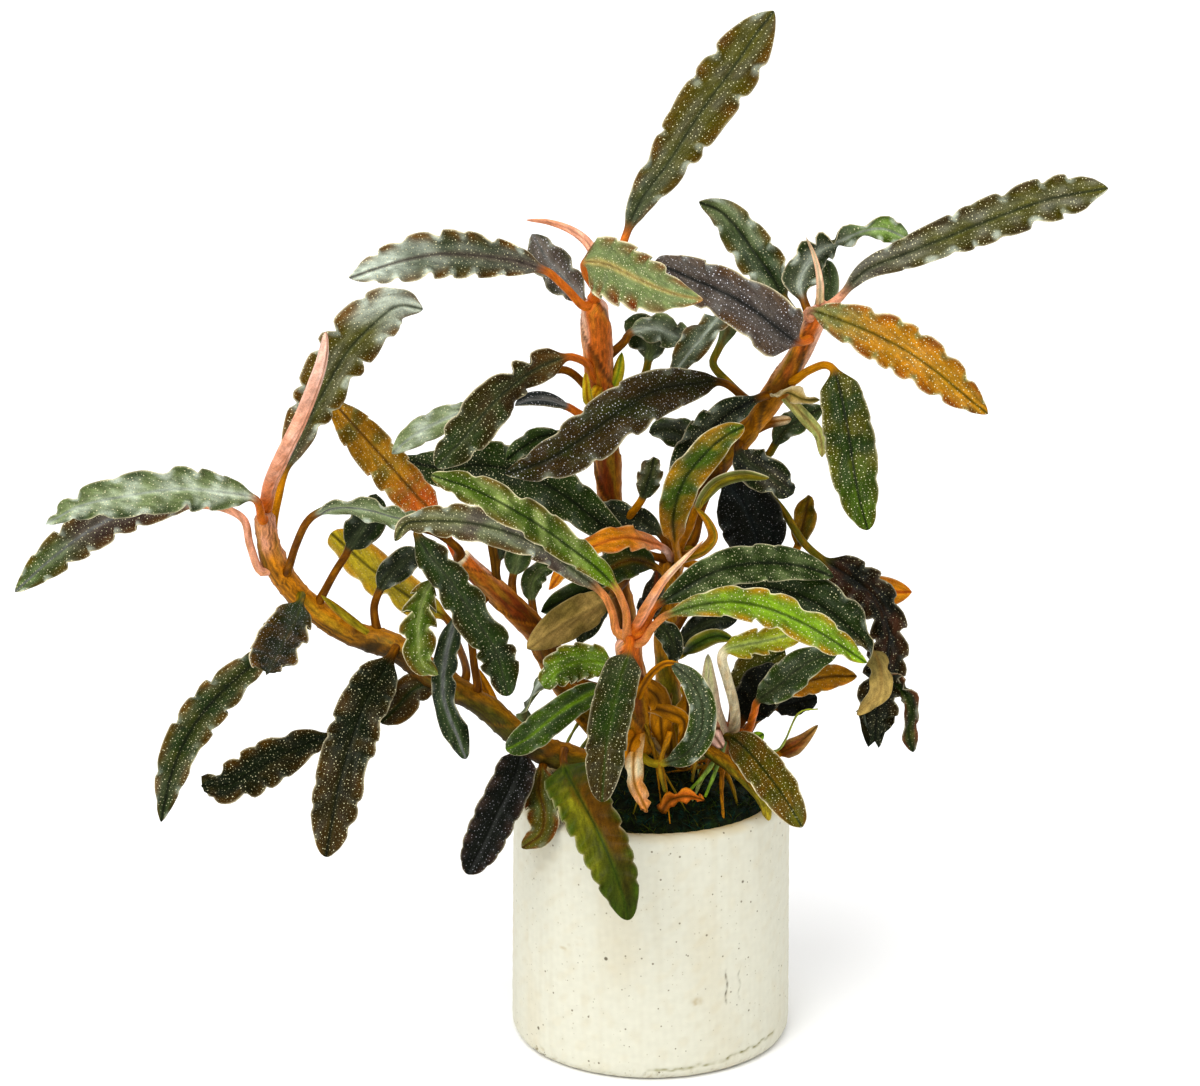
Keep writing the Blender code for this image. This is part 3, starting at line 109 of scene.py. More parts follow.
# A blade without lobes whose half width is under the first of these is a solid spike. The others are the
# groove over the midrib, the shoulders beside it, and the round rib below it, all in millimetres.
SPIKE_HALF = 2
GROOVE_DEPTH = 0.16
GROOVE_WIDTH = 0.4
SHOULDER_HEIGHT = 0.12
SHOULDER_PLACE = 0.95
SHOULDER_WIDTH = 0.5
RIB_AT_TIP = 0.14
RIB_AT_FOOT = 0.75

# Places across a blade from its midrib to its margin, closer where the midrib and the rim curve most.
UPPER_ACROSS = (0.07, 0.14, 0.23, 0.34, 0.46, 0.58, 0.69, 0.79, 0.88, 0.945, 0.985, 1.0)
LOWER_ACROSS = (0.1, 0.2, 0.36, 0.56, 0.76, 0.92, 0.985)

# How a blade folds up from its midrib, how its lobes lean, how many turns its two margins are apart and
# waver, how far its stalk flares into the stem, and how deep the colours of leaves and stems are.
FOLD = 0.1
LEAN = 0.07
SKEW = 0.5
WAVER = 0.12
DRIFT = 0.42
CRINKLE = 0.14
FLARE = 0.75
FLARE_LENGTH = 2.2
LEAF_DEPTH = 0.8
BARK_DEPTH = 0.82


def shade(red, green, blue):
    """A colour given as it shows on a screen, 0 to 255, in the linear values that shaders use."""
    screen = np.array([red, green, blue]) / 255
    linear = np.where(screen < 0.04045, screen / 12.92, ((screen + 0.055) / 1.055) ** 2.4)
    return tuple(float(value) for value in linear)


# Colours of the plant, as they show on a screen.
PALETTE = {
    "pine": shade(26, 34, 14),
    "forest": shade(42, 60, 14),
    "leaf_green": shade(70, 92, 18),
    "grass": shade(124, 158, 30),
    "lime": shade(158, 166, 40),
    "pear": shade(164, 178, 106),
    "sage": shade(126, 140, 92),
    "olive": shade(86, 82, 12),
    "yellow": shade(188, 168, 40),
    "bronze": shade(106, 72, 12),
    "umber": shade(62, 46, 12),
    "chestnut": shade(128, 60, 14),
    "red_orange": shade(200, 84, 20),
    "amber": shade(218, 142, 26),
    "ochre": shade(172, 122, 16),
    "black": shade(20, 23, 16),
    "navy": shade(30, 38, 38),
    "plum": shade(66, 50, 42),
    "mauve": shade(98, 88, 80),
    "slate": shade(70, 78, 52),
    # As a leaf's sheen, tip or patches, silver is a painted sheen.
    "silver": shade(212, 222, 204),
    "steel": shade(148, 150, 146),
    "salmon": shade(238, 172, 140),
    "peach": shade(232, 154, 92),
    "pink": shade(246, 208, 192),
    "cream": shade(240, 228, 190),
    "tan": shade(190, 162, 96),
    "golden": shade(196, 132, 10),
    "orange": shade(216, 118, 40),
    "brown": shade(118, 72, 10),
    "reed": shade(108, 102, 18),
    "teal": shade(22, 62, 52),
    "ivory": shade(246, 240, 196),
    "lilac": shade(236, 234, 240),
}


class Looks(NamedTuple):
    """The colours of one leaf, by their names in the palette.

    body is most of the blade, crest the outer lobes, rib the band along the midrib. patch comes in
    clouds, tip and foot at the ends. sheen is the paler hollows between the lobes, other the left half.
    torn is how ragged the end is, and frill how many more lobes than the solid's the margins have.
    """

    body: str
    crest: str
    rib: str
    foot: str = ""
    tip: str = ""
    patch: str = ""
    sheen: str = "silver"
    stalk: str = "brown"
    dot: str = "ivory"
    dots: float = 0.9
    crests: float = 0.8
    sheens: float = 0.1
    rib_width: float = 0.7
    rim: float = 0.6
    patches: float = 0.5
    under: str = "olive"
    matt: float = 0.0
    other: str = ""
    torn: float = 0.0
    frill: float = 1.1
    tip_from: float = 0.45


def bare(body, crest="", rib="", under="", **more):
    """Looks of a stalk, bract or sheath without dots, sheen or rim."""
    return Looks(body, crest or body, rib or body, dots=0, sheens=0, rim=0, under=under or body, **more)


class Stem(NamedTuple):
    """A stem: its route from the medium upwards, how far in front it runs, and its radius along it."""

    route: tuple
    front: tuple
    radius: tuple


class Leaf(NamedTuple):
    """A leaf: the route of its stalk and of its blade's midrib, root to tip, and the blade's form.

    front, roll and girth are read at equal steps, front along the whole leaf and the others along the
    blade. half is the blade's half width, one value or left and right. Lobes are counted on each margin.
    """

    grows_on: str
    stalk: tuple
    blade: tuple
    front: tuple
    half: object
    looks: Looks
    roll: tuple = (0,)
    lobes: int = 5
    phase: float = 0.0
    notch: float = 0.2
    ruffle: float = 0.8
    peak: float = 0.5
    girth: tuple = ()
    stalk_radius: float = STALK_RADIUS
    fused: bool = False


def small(grows_on, stalk, blade, front, half, looks, lobes=0, **more):
    """A small leaf, bract or sheath that is one with its stem. It has no lobes unless they are given."""
    return Leaf(grows_on, stalk, blade, front, half, looks, lobes=lobes, fused=True, **more)


STEMS = {
    "left_rhizome": Stem(((-9, 51), (-17, 53), (-24, 55.6), (-32.6, 62.8), (-42, 68.6), (-51.6, 75.2),
        (-59.6, 77.8), (-66.4, 82), (-71.6, 86.8), (-75.2, 92.4), (-76.8, 98.4), (-77, 102.4)),
        (7, 10, 10, 7, 2.5, -1, -1, 1, 2.5), (2.4, 2.8, 2.6, 2.4, 2.8, 2.7, 2.5, 2.4, 2.5, 1.9)),
    "cut_stem": Stem(((-8, 55), (-13, 62), (-18, 69), (-22.2, 77.4), (-29, 84.4), (-38, 92.8)),
        (-10.5, -7, -2.5, 2.5, 4), (2.3, 2.5, 2.7, 2.6, 2.3, 1.9)),
    "top_stem": Stem(((-1, 56), (-2.6, 66), (-5, 80), (-7, 92), (-8, 104), (-8.6, 114), (-9.6, 124),
        (-10.4, 134), (-11.2, 144.6)), (-17, -18.5, -18.5, -17, -12, -5.5),
        (2.3, 2.3, 2.3, 2.3, 2.4, 2.6, 2.8, 2.9, 2.6)),
    "right_stem": Stem(((6, 55), (4, 64), (3.2, 76.4), (4.4, 91.6), (10, 106), (19.6, 118.6), (27.4, 129.4),
        (32.4, 138.8), (34, 143.4)), (-7, -5.5, -7, -12, -21.5, -17, -5.5, -1, 1),
        (2.3, 2.3, 2.4, 2.6, 2.2, 2.2, 2.4, 2.3, 1.7)),
    "front_crown": Stem(((-1.6, 54.6), (-2.4, 62), (-3.8, 70), (-4.4, 77)), (11, 14, 17, 20),
        (2.2, 2.2, 2.6, 2.5)),
    "right_crown": Stem(((13, 51.6), (14.8, 54.6), (16.4, 58)), (2.5, 4, 4), (2.2, 2.5, 2)),
}

LEAVES = {
    # The arm on the left.
    # The silver patches of this leaf are a painted sheen.
    "left_leaf_1": Leaf("left_rhizome", ((-77.6, 100.6),), ((-78.8, 104.4), (-86, 106), (-94, 106.6),
        (-106, 105), (-114, 103.2), (-120.8, 99.6)), (4.5, 13.5, 18.5, 22, 26.5), 4.5, Looks("sage",
        "forest", "silver", patch="silver", stalk="orange", crests=0.9, sheens=0.9, rib_width=0.35,
        frill=1.07), roll=(10, 0, -10), lobes=6, phase=0.25, peak=0.42),
    "left_leaf_2": Leaf("left_rhizome", ((-77.6, 90), (-80, 95.4), (-81.2, 100.4), (-84.8, 102.6)),
        ((-90, 103.4), (-97, 103.2), (-105, 101.8), (-112, 98.4), (-120, 92.4), (-127, 86)),
        (3, 3, -0.5, -5, -8, -9.5), 4.2, Looks("plum", "bronze", "steel", tip="leaf_green", patch="mauve",
        stalk="salmon", crests=0.7, sheens=0.5, rib_width=0.35, rim=0.9, patches=0.7, frill=0.99), lobes=7,
        phase=0.1),
    # The silver tip of this leaf is a painted sheen.
    "left_leaf_3": Leaf("left_rhizome", ((-75.6, 95.4), (-75.2, 100.4), (-74.2, 105.4)), ((-73.4, 109),
        (-70, 117.4), (-65.6, 125.4), (-61, 133.4), (-55.6, 139.4), (-50.4, 143.2), (-45.4, 142.6)),
        (-0.5, -3.5, -8.5, -13, -17.5, -24), (6, 4.8), Looks("olive", "bronze", "slate", foot="umber",
        tip="silver", patch="umber", stalk="golden", crests=0.95, sheens=0.8, rib_width=0.9, patches=0.4,
        frill=1.29, tip_from=0.6), lobes=6, notch=0.24, peak=0.62),
    "left_young_leaf": Leaf("left_rhizome", (), ((-76.6, 104.4), (-76, 107.4), (-73.4, 113.4), (-70, 120.4),
        (-67.2, 127.4), (-65.6, 132.4), (-64.8, 138)), (3, 10, 8.5, 7, 5.5), 1.5, bare("salmon",
        foot="orange", tip="pink", patch="pink", stalk="orange"), roll=(50,), lobes=0,
        girth=(1, 1.1, 1.05, 1, 0.8)),
    "left_leaf_4": Leaf("left_rhizome", ((-72.6, 90), (-70.8, 95.4), (-68.6, 100)), ((-66.8, 101.6),
        (-62, 103), (-56, 102.4), (-50, 100.8), (-44, 101)), (2.5, 10.5, 14, 16.5, 18), 3.2, Looks("sage",
        "slate", "steel", sheens=0.95, rib_width=0.4, frill=0.86), roll=(55, 50, 40), lobes=4, notch=0.1,
        ruffle=0.5),
    "left_leaf_5": Leaf("left_rhizome", ((-36.8, 69), (-38.8, 76.4)), ((-40.8, 80.8), (-47.8, 84.8),
        (-55, 90), (-59.6, 94), (-63.8, 97.8)), (5, -14, -18, -22.5, -25.5), 4, Looks("yellow", "amber",
        "olive", patch="olive", dots=0.3, rim=0.9, patches=0.25, under="yellow", frill=0.86), lobes=3,
        notch=0.28, ruffle=0.5, girth=(0.4, 0.9, 1, 1, 0.95)),
    "left_leaf_6": Leaf("left_rhizome", ((-69.8, 85.4),), ((-70, 84), (-71.8, 79.4), (-74.4, 74),
        (-77, 69)), (1.5, 12, 20.5, 29.5, 39), (4.6, 5.4), Looks("pine", "bronze", "slate", foot="forest",
        patch="umber", stalk="reed", dot="lilac", dots=0.8, rib_width=0.35, rim=1, patches=0.8, torn=0.9),
        roll=(0, 10, 15), lobes=3, peak=0.45, girth=(0.35, 0.85, 1, 1, 0.75)),
    "left_leaf_7": Leaf("left_rhizome", ((-70.8, 82), (-72.4, 79.6)), ((-74.4, 76.4), (-78.8, 72.2),
        (-87, 64.6), (-92, 58), (-95.6, 50), (-97.8, 40)), (-1, -3.5, -7, -11, -11, -9.5), 4.1,
        Looks("forest", "bronze", "pine", tip="slate", patch="olive", crests=0.9, sheens=0.3, rib_width=1.1,
        frill=1.16, tip_from=0.7), lobes=6, phase=0.2),
    "left_leaf_8": Leaf("left_rhizome", ((-43, 67.6), (-52, 64.4), (-58.4, 60)), ((-63, 57.6), (-70, 55.2),
        (-77.6, 51.2), (-84.4, 47.6), (-91, 47.4)), (3, -6.5, -5.5, -1, 5, 10), (4.8, 4.6), Looks("pine",
        "bronze", "pine", patch="umber", crests=0.5, sheens=0.05, torn=0.6, frill=1.07), notch=0.26,
        ruffle=1, peak=0.55),
    "left_leaf_9": Leaf("left_rhizome", (), ((-50.8, 75), (-53.2, 70.6), (-56.8, 64.4), (-60, 55.4),
        (-62.4, 46.4), (-64.8, 33)), (3.5, 13, 20, 25.5, 30, 33), 5.2, Looks("pine", "bronze", "pine",
        foot="pine", tip="umber", patch="umber", crests=0.35, sheens=0.08, rib_width=1.3, patches=0.6,
        frill=1.29), roll=(-10, 0, 10), lobes=6, phase=0.3, notch=0.12,
        girth=(0.3, 0.85, 0.95, 1, 0.98, 0.95, 0.7)),
    # Below the arm.
    "lower_left_leaf_1": Leaf("cut_stem", ((-38.4, 94.6), (-43.2, 98)), ((-46.6, 98.4), (-45, 94.8),
        (-40.4, 88.8), (-36, 82), (-31, 74.4), (-28.4, 65.2)), (6, 10, 15, 19, 20, 21), 4.2, Looks("forest",
        "umber", "slate", patch="pine", dots=0.6, rib_width=0.5, patches=0.6), roll=(20, 0, 0), lobes=6,
        phase=0.15, notch=0.24, girth=(0.3, 0.8, 0.85, 1, 0.9, 1, 0.8)),
    "lower_left_leaf_2": Leaf("cut_stem", ((-34.6, 83.4), (-38, 86.8), (-41.2, 89)), ((-43.2, 88.4),
        (-45.6, 84), (-46.4, 76.4), (-45.4, 71.6), (-42.4, 69.4)), (4, 6, 12.5, 20.5, 23, 24), 3.7,
        Looks("leaf_green", "bronze", "pear", patch="olive", sheen="pear", dots=0.6, sheens=0.6,
        rib_width=0.4, rim=1), lobes=4, phase=0.3, notch=0.34, ruffle=1),
    "lower_left_leaf_3": Leaf("left_rhizome", ((-34.6, 66.4), (-35.2, 71.6), (-36, 77.2)), ((-38, 81.4),
        (-40.4, 74.8), (-41.4, 66.4), (-40.2, 61.2), (-38.4, 56.8), (-36.8, 52.6)),
        (8.5, 11, 13.5, 16, 17, 16.5), 3, Looks("forest", "navy", "steel", sheen="steel", dots=0.3,
        sheens=0.5, rib_width=0.5), roll=(30, 10, 0), lobes=4, notch=0.14,
        girth=(0.4, 0.8, 0.85, 0.75, 0.95, 0.6)),
    "middle_leaf_1": Leaf("cut_stem", ((-38.8, 93.8), (-40.6, 97.2)), ((-42.4, 100.6), (-47, 105.6),
        (-53, 112.4), (-58, 118), (-63.4, 124)), (2, -3, -9, -15.5, -22.5, -28), (4.6, 3.8), Looks("ochre",
        "bronze", "bronze", foot="red_orange", patch="olive", sheen="sage", stalk="red_orange", crests=0.5,
        sheens=0.6, rib_width=0.5, patches=0.75, under="ochre", frill=1.2), notch=0.12,
        girth=(0.75, 0.9, 1, 0.98, 0.9, 0.6)),
    "middle_leaf_2": Leaf("top_stem", ((-4.8, 89), (-6, 87)), ((-8, 85), (-12, 82.6), (-18, 79.2),
        (-24.6, 74.6)), (-16.5, -4, 1, 5.5, 10), 3.8, Looks("tan", "olive", "tan", patch="olive", dots=0,
        sheens=0, rim=0.2, patches=0.8, under="tan", matt=1), roll=(170,), lobes=3, notch=0.06, ruffle=0.4,
        peak=0.4),
    # The top shoot.
    "top_leaf_1": Leaf("top_stem", ((-9.8, 147.2), (-7.2, 152), (-5.4, 155.6)), ((-5, 156.8), (-2, 164),
        (3.6, 171.8), (10, 181.8), (17, 191.4), (21.2, 197.6), (24.8, 202.2)),
        (-5.5, -9.5, -13, -16.5, -19, -20.5), 5.4, Looks("olive", "bronze", "slate", foot="slate",
        patch="umber", stalk="orange", dots=1, sheens=0.5, rib_width=0.8, patches=0.6, frill=1.03), lobes=6,
        phase=0.4, notch=0.16, peak=0.68),
    # The silver tip of this leaf is a painted sheen.
    "top_leaf_2": Leaf("top_stem", ((-13.2, 143.2), (-16.4, 146.4), (-19.8, 149.6)), ((-20.4, 150),
        (-26, 152), (-34, 153.2), (-42, 153.6), (-49, 152.4), (-55, 150.6), (-60.2, 148.8)),
        (-4, 1.5, 4.5, 9, 14, 18), 4.6, Looks("slate", "bronze", "mauve", foot="plum", tip="silver",
        patch="umber", stalk="orange", crests=0.95, sheens=0.8, rim=0.9, frill=1.25), lobes=6, phase=0.2),
    "top_leaf_3": Leaf("top_stem", ((-10.8, 146), (-12.8, 149.6)), ((-13, 151.8), (-8.8, 151.6),
        (-2, 148.4), (4.4, 145.8), (10.6, 144.4)), (-3.5, 7.5, 17.5, 24, 26), (5.4, 6.6), Looks("sage",
        "chestnut", "tan", tip="red_orange", patch="leaf_green", sheen="pear", stalk="orange", dots=1,
        crests=1, sheens=0.3, rim=1, patches=0.25, under="pear", frill=1.3, tip_from=0.86), phase=0.1,
        notch=0.11, peak=0.4, girth=(0.6, 0.95, 1, 0.95, 0.85, 0.55, 0.2)),
    "top_leaf_4": Leaf("top_stem", ((-11.2, 128.8), (-12.8, 131.8), (-15.6, 133)), ((-16.4, 133),
        (-23, 130.6), (-29.4, 125.8), (-34, 120.8), (-38, 116), (-42.8, 111)), (-9, -0.5, 7, 12.5, 17, 20),
        4.5, Looks("umber", "umber", "slate", foot="bronze", tip="forest", patch="forest", stalk="orange",
        sheens=0.15, rim=0.8, patches=0.7, frill=0.95), roll=(10, -45, 0, 0), phase=0.3,
        girth=(0.4, 0.75, 0.85, 1, 1, 0.75)),
    "top_leaf_5": Leaf("right_stem", ((21.2, 122.8), (18.4, 125.2)), ((14.8, 127.8), (8, 127.6), (1, 126.2),
        (-6, 122.2), (-14, 116.4), (-21, 112.2), (-29, 109.6)), (-9, -5, 4, 11, 15.5, 19, 19), (5.8, 4.8),
        Looks("umber", "umber", "pine", patch="forest", dot="lilac", crests=0.7, sheens=0.15, rib_width=1.6,
        rim=0.7), lobes=6, phase=0.35, notch=0.14, peak=0.55),
    "top_leaf_6": Leaf("right_stem", ((3, 92.6), (0, 93.4)), ((-2.8, 94.8), (-9, 99), (-17, 105.2),
        (-25, 109.6), (-34, 111.4), (-42, 110.8), (-49.8, 112.6)), (-11, -6, -7, -8.5, -11.5, -19.5, -29.5),
        5, Looks("forest", "leaf_green", "pine", patch="pine", dots=1, crests=0.4, sheens=0.15, rib_width=1,
        patches=0.7), phase=0.1, notch=0.1, peak=0.45),
    "top_leaf_7": Leaf("right_stem", ((31.8, 136.6),), ((29.8, 136), (26, 138.4), (20, 143), (14, 146.2),
        (8, 148.8), (1, 152)), (2, 9.5, 11.5, 11, 7, 0), 5.6, Looks("mauve", "bronze", "navy", patch="plum",
        sheen="steel", stalk="orange", dot="lilac", dots=1, crests=0.5, sheens=0.7, rib_width=0.9, rim=1,
        patches=0.7), phase=0.2, notch=0.12, peak=0.4, girth=(0.5, 1, 0.95, 0.85, 0.8, 0.7, 0.5)),
    # The middle crown.
    "back_leaf_1": Leaf("right_stem", ((21, 123.4), (16, 127.6), (12.6, 131.6)), ((13.6, 134.4),
        (15.8, 138.6), (15.2, 141.8), (11, 137.6), (6.6, 132.2), (4.4, 129.2)), (-9, -22.5, -26.5, -29.5,
        -29.5, -20, -13.5, -9, -7), (2.8, 3.8), Looks("slate", "bronze", "silver", patch="forest",
        stalk="reed", dots=0.6, sheens=0.8, rib_width=0.4, patches=0.7, under="sage"),
        roll=(180, 150, 90, 20, 0, 0), lobes=4, phase=0.2, notch=0.14,
        girth=(0.3, 0.6, 0.65, 0.7, 1, 0.9, 0.6)),
    "middle_leaf_3": Leaf("right_stem", ((5.4, 90.8), (5.6, 93)), ((5, 96), (4.8, 102), (6.8, 108.2),
        (10.8, 113.4), (14.8, 117), (18.8, 119.2)), (-10.5, 9, 13.5, 16.5, 18.5), 3.5, Looks("leaf_green",
        "ochre", "forest", foot="amber", patch="ochre", stalk="golden", dots=0.5, rim=1, patches=0.35,
        under="lime", frill=0.95), lobes=4, phase=0.3, notch=0.1, girth=(0.5, 0.7, 0.95, 1, 0.95, 0.7)),
    "middle_leaf_4": Leaf("right_stem", ((8.4, 95.6), (10.4, 102.8), (12.4, 107)), ((14, 108.4),
        (17.6, 105.6), (20.4, 100), (22.6, 93)), (-13, -12.5, -12, -13, -13), 6.2, Looks("black", "black",
        "navy", patch="navy", dot="lilac", dots=0.25, sheens=0.05, rim=0.1), lobes=3, notch=0.06,
        ruffle=0.6, girth=(0.25, 0.85, 1, 1, 0.85)),
    # The front crown.
    "front_leaf_1": Leaf("front_crown", ((-4.6, 78.8), (-4.8, 82), (-5.8, 84.8)), ((-6.6, 86.4),
        (-10, 90.2), (-15.6, 94.6), (-22, 99.2), (-29, 103.4), (-36, 106.8), (-43.8, 109.4)),
        (22, 28, 33.5, 38, 43, 45, 44.5), 3.6, Looks("leaf_green", "bronze", "forest", foot="grass",
        patch="pear", sheen="pear", stalk="peach", sheens=0.2, rib_width=0.5, rim=1, patches=0.7,
        under="lime", frill=1.03), lobes=6, phase=0.35, girth=(0.3, 0.6, 0.85, 0.95, 1, 1, 0.95, 0.7)),
    "front_leaf_2": Leaf("front_crown", ((-6.6, 78), (-7.4, 81.4), (-8.6, 84.4)), ((-10, 86.2), (-15, 90.2),
        (-21, 94.6), (-28, 97.8), (-36, 99.8), (-44, 100.2), (-48.8, 99.6), (-51, 96.2)),
        (18.5, 20, 23, 26.5, 28.5, 28.5, 28), 3.6, Looks("mauve", "bronze", "slate", tip="olive",
        patch="sage", stalk="peach", sheens=0.75, rib_width=0.6, rim=1, patches=0.65, frill=0.99), lobes=7,
        phase=0.1, ruffle=1, girth=(0.3, 0.6, 0.8, 0.95, 1, 1, 0.8, 0.4)),
    "front_young_leaf": Leaf("front_crown", (), ((-2.6, 79.4), (-0.4, 83.4), (2.8, 88.4), (6.8, 92.6),
        (10.8, 96.4)), (22, 30, 33, 34.5, 36), 1.2, bare("peach", "peach", "salmon", foot="orange",
        tip="cream", patch="pink", stalk="orange"), roll=(40,), lobes=0, girth=(0.9, 1, 0.8, 0.55, 0.25)),
    "front_leaf_3": Leaf("front_crown", ((-1.2, 78.4), (0, 81.4)), ((0.8, 82.8), (6, 86.2), (11, 89.2),
        (17, 91.2), (24, 91.8), (31, 91), (36.8, 89)), (22, 24, 23, 20.5, 16.5, 12.5, 9.5), 3.8,
        Looks("forest", "forest", "pine", patch="sage", sheen="sage", stalk="orange", dots=1, sheens=0.7,
        rib_width=1), phase=0.2, notch=0.08, ruffle=0.5),
    "front_leaf_4": Leaf("front_crown", ((-1.6, 76), (0.4, 78.8), (2.2, 80.6)), ((3, 81.2), (10, 83.4),
        (17, 84), (24, 82.6), (31, 79.6), (38, 75.4), (43.4, 71.8)), (21.5, 27.5, 33, 38.5, 41.5, 45, 47),
        3.7, Looks("grass", "ochre", "leaf_green", foot="sage", patch="leaf_green", sheen="pear",
        stalk="peach", crests=0.85, sheens=0.25, rib_width=0.6, rim=1, under="lime", frill=1.29), phase=0.3,
        notch=0.22, peak=0.6),
    "front_leaf_5": Leaf("right_stem", ((4.6, 78), (8, 82.8)), ((12.4, 86), (19, 87.2), (27, 86.2),
        (34, 83.4), (40.4, 78.4), (45.6, 72), (45.8, 66), (41.4, 61.4)),
        (-5, 2.5, 5.5, 8.5, 11, 12.5, 14, 14), 4.6, Looks("forest", "pine", "pine", tip="tan", patch="pine",
        sheens=0.3, rib_width=0.9, under="tan", frill=1.29, tip_from=0.66),
        roll=(0, 0, 0, 0, 0, 20, 140, 165, 200), lobes=6, phase=0.1, notch=0.12, girth=(0.4, 0.9, 1.05, 1.1,
        1.1, 0.85, 0.55, 0.55, 0.35)),
    "front_leaf_6": Leaf("front_crown", ((-4, 76.4),), ((-4.2, 74), (-6.4, 67.6), (-7.8, 61.4),
        (-8.8, 54.8), (-9.6, 44)), (22, 32.5, 39.5, 45.5, 49), 4.2, Looks("forest", "umber", "leaf_green",
        foot="slate", tip="umber", patch="umber", stalk="orange", dots=0.8, crests=0.4, sheens=0.05,
        rib_width=0.35, rim=0.5, patches=0.4, tip_from=0.4), phase=0.1, notch=0.06, ruffle=0.5,
        girth=(0.75, 0.9, 1, 1, 0.95, 0.75)),
    "front_leaf_7": Leaf("front_crown", (), ((-7.6, 71.6), (-11.6, 72.2), (-15.6, 71.8), (-18.8, 70),
        (-21.2, 66.8)), (20, 20.5, 24.5, 27.5), 4, Looks("leaf_green", "bronze", "grass", patch="grass",
        crests=0.6, sheens=0.2, rib_width=0.4, rim=1, frill=1.29), lobes=4, phase=0.1, notch=0.16, peak=0.4,
        girth=(0.6, 0.9, 1, 0.9, 0.6)),
    "front_leaf_8": Leaf("front_crown", ((-6, 67.8),), ((-9.4, 66.8), (-15, 64), (-20, 60.4), (-24.4, 56.8),
        (-28.8, 54.4)), (19, 29.5, 33.5, 36, 38), 3.3, Looks("forest", "leaf_green", "grass",
        patch="leaf_green", dots=0.3, sheens=0.15, rib_width=0.4, under="leaf_green"), lobes=4, phase=0.2,
        notch=0.06, ruffle=0.4, girth=(0.5, 0.8, 0.9, 1, 0.9)),
    # Low on the left and over the pot.
    "low_leaf_1": Leaf("left_rhizome", ((-24.4, 57),), ((-25.4, 54.6), (-27.8, 47.4), (-30.8, 41.4),
        (-33.6, 35.4), (-36.6, 29.6)), (12, 19, 23.5, 26.5, 30.5), 4.3, Looks("black", "plum", "black",
        patch="black", dot="lilac", dots=0.25, sheens=0, rim=0.4, frill=1.5), phase=0.2, notch=0.14,
        ruffle=0.5, girth=(0.7, 0.95, 1, 1, 0.95, 0.75)),
    "low_leaf_2": Leaf("left_rhizome", (), ((-21, 52.8), (-22.2, 46.4), (-21.2, 42), (-21.8, 37.8),
        (-25.6, 34.8)), (10, 15.5, 20, 22.5, 22), 3.7, Looks("olive", "chestnut", "bronze",
        patch="leaf_green", dots=0.3, sheens=0.2, rim=1), roll=(30, 0, -30), lobes=4, phase=0.2, ruffle=0.9,
        girth=(0.5, 1, 1, 0.75, 0.5)),
    "low_leaf_3": Leaf("left_rhizome", ((-17.2, 54.4),), ((-17.2, 51.4), (-14, 44.8), (-10.6, 38.4),
        (-7.8, 32), (-5.8, 26.4), (-4.2, 20.4)), (11.5, 30.5, 40, 45, 47.5, 48.5), 5.4, Looks("bronze",
        "leaf_green", "leaf_green", foot="leaf_green", tip="forest", patch="olive", dots=0, sheens=0,
        rib_width=0.5, rim=0.3, matt=0.8, other="lime", frill=1.9), lobes=6, phase=0.3, notch=0.08,
        ruffle=0.5, girth=(0.7, 1, 1, 1, 0.95, 0.85, 0.6)),
    "low_leaf_4": Leaf("front_crown", ((-1.4, 53), (0.4, 51.8)), ((2.8, 51.8), (7.6, 54), (10.4, 59),
        (10.2, 64.4), (8, 68.6), (4.4, 71.6)), (13, 18.5, 23, 26, 24.5, 21.5), 2.8, Looks("forest",
        "leaf_green", "slate", tip="slate", patch="pine", stalk="yellow", sheens=0.5, rib_width=0.4, rim=1),
        lobes=4, phase=0.2, notch=0.06, ruffle=0.4, girth=(0.35, 0.85, 1, 1, 0.9, 0.6)),
    "low_leaf_5": Leaf("right_crown", ((15, 57),), ((16, 57), (19.6, 54.2), (23.6, 49.4), (27.2, 44.4),
        (30.4, 39)), (6, 19, 26, 32, 36.5), 4, Looks("olive", "bronze", "forest", patch="bronze",
        stalk="reed", dots=1, sheens=0, rib_width=0.4, rim=1, patches=0.6), lobes=4, phase=0.2, notch=0.05,
        ruffle=0.4, girth=(0.35, 0.85, 1, 1, 0.7)),
    # The low shoot on the right.
    "right_leaf_1": Leaf("right_crown", ((17.4, 59),), ((18.6, 60.6), (20.4, 63.4), (22.8, 67.2), (26, 71)),
        (3.5, 5.5, 8.5, 8.5), 4.6, Looks("black", "black", "black", dots=0.15, sheens=0, rim=0.15), lobes=3,
        phase=0.2, notch=0.08, peak=0.55, girth=(0.5, 0.95, 1, 0.75)),
    "right_leaf_2": Leaf("right_crown", ((19, 57.8), (20.8, 61.8)), ((21.4, 64), (25.6, 67.2), (29.6, 70.6),
        (33.2, 72.8), (37.4, 73.4)), (6, 14, 21.5, 25.5, 27.5), 3.6, Looks("forest", "leaf_green", "slate",
        patch="slate", stalk="orange", dots=0.8, sheens=0.35, rib_width=0.9), lobes=4, phase=0.2,
        notch=0.08, ruffle=0.5),
    "right_leaf_3": Leaf("right_crown", ((17, 59.8), (16.8, 63.4), (15.4, 68.8), (14.4, 72.8)),
        ((15.2, 74.4), (19, 75.4), (23, 76.2), (27, 77.2), (30.8, 78.4)), (7.5, 18.5, 24.5, 27.5, 30), 2.9,
        Looks("lime", "ochre", "pear", patch="leaf_green", stalk="cream", crests=0.9, sheens=0, rim=1,
        under="lime", frill=1.15), lobes=4, phase=0.1, ruffle=0.9, girth=(0.5, 1, 0.95, 0.95, 0.7),
        stalk_radius=1),
    "right_leaf_4": Leaf("right_crown", ((18.6, 57), (21.6, 61.4)), ((24.4, 65.4), (30, 67.6), (35.2, 69),
        (41.4, 69.2)), (3, 1, -0.5, -1, -1.5), 2.8, Looks("ochre", "amber", "bronze", patch="chestnut",
        dots=0.3, sheens=0.05, rim=0.8, under="ochre", frill=1.29), lobes=4, phase=0.2, notch=0.1),
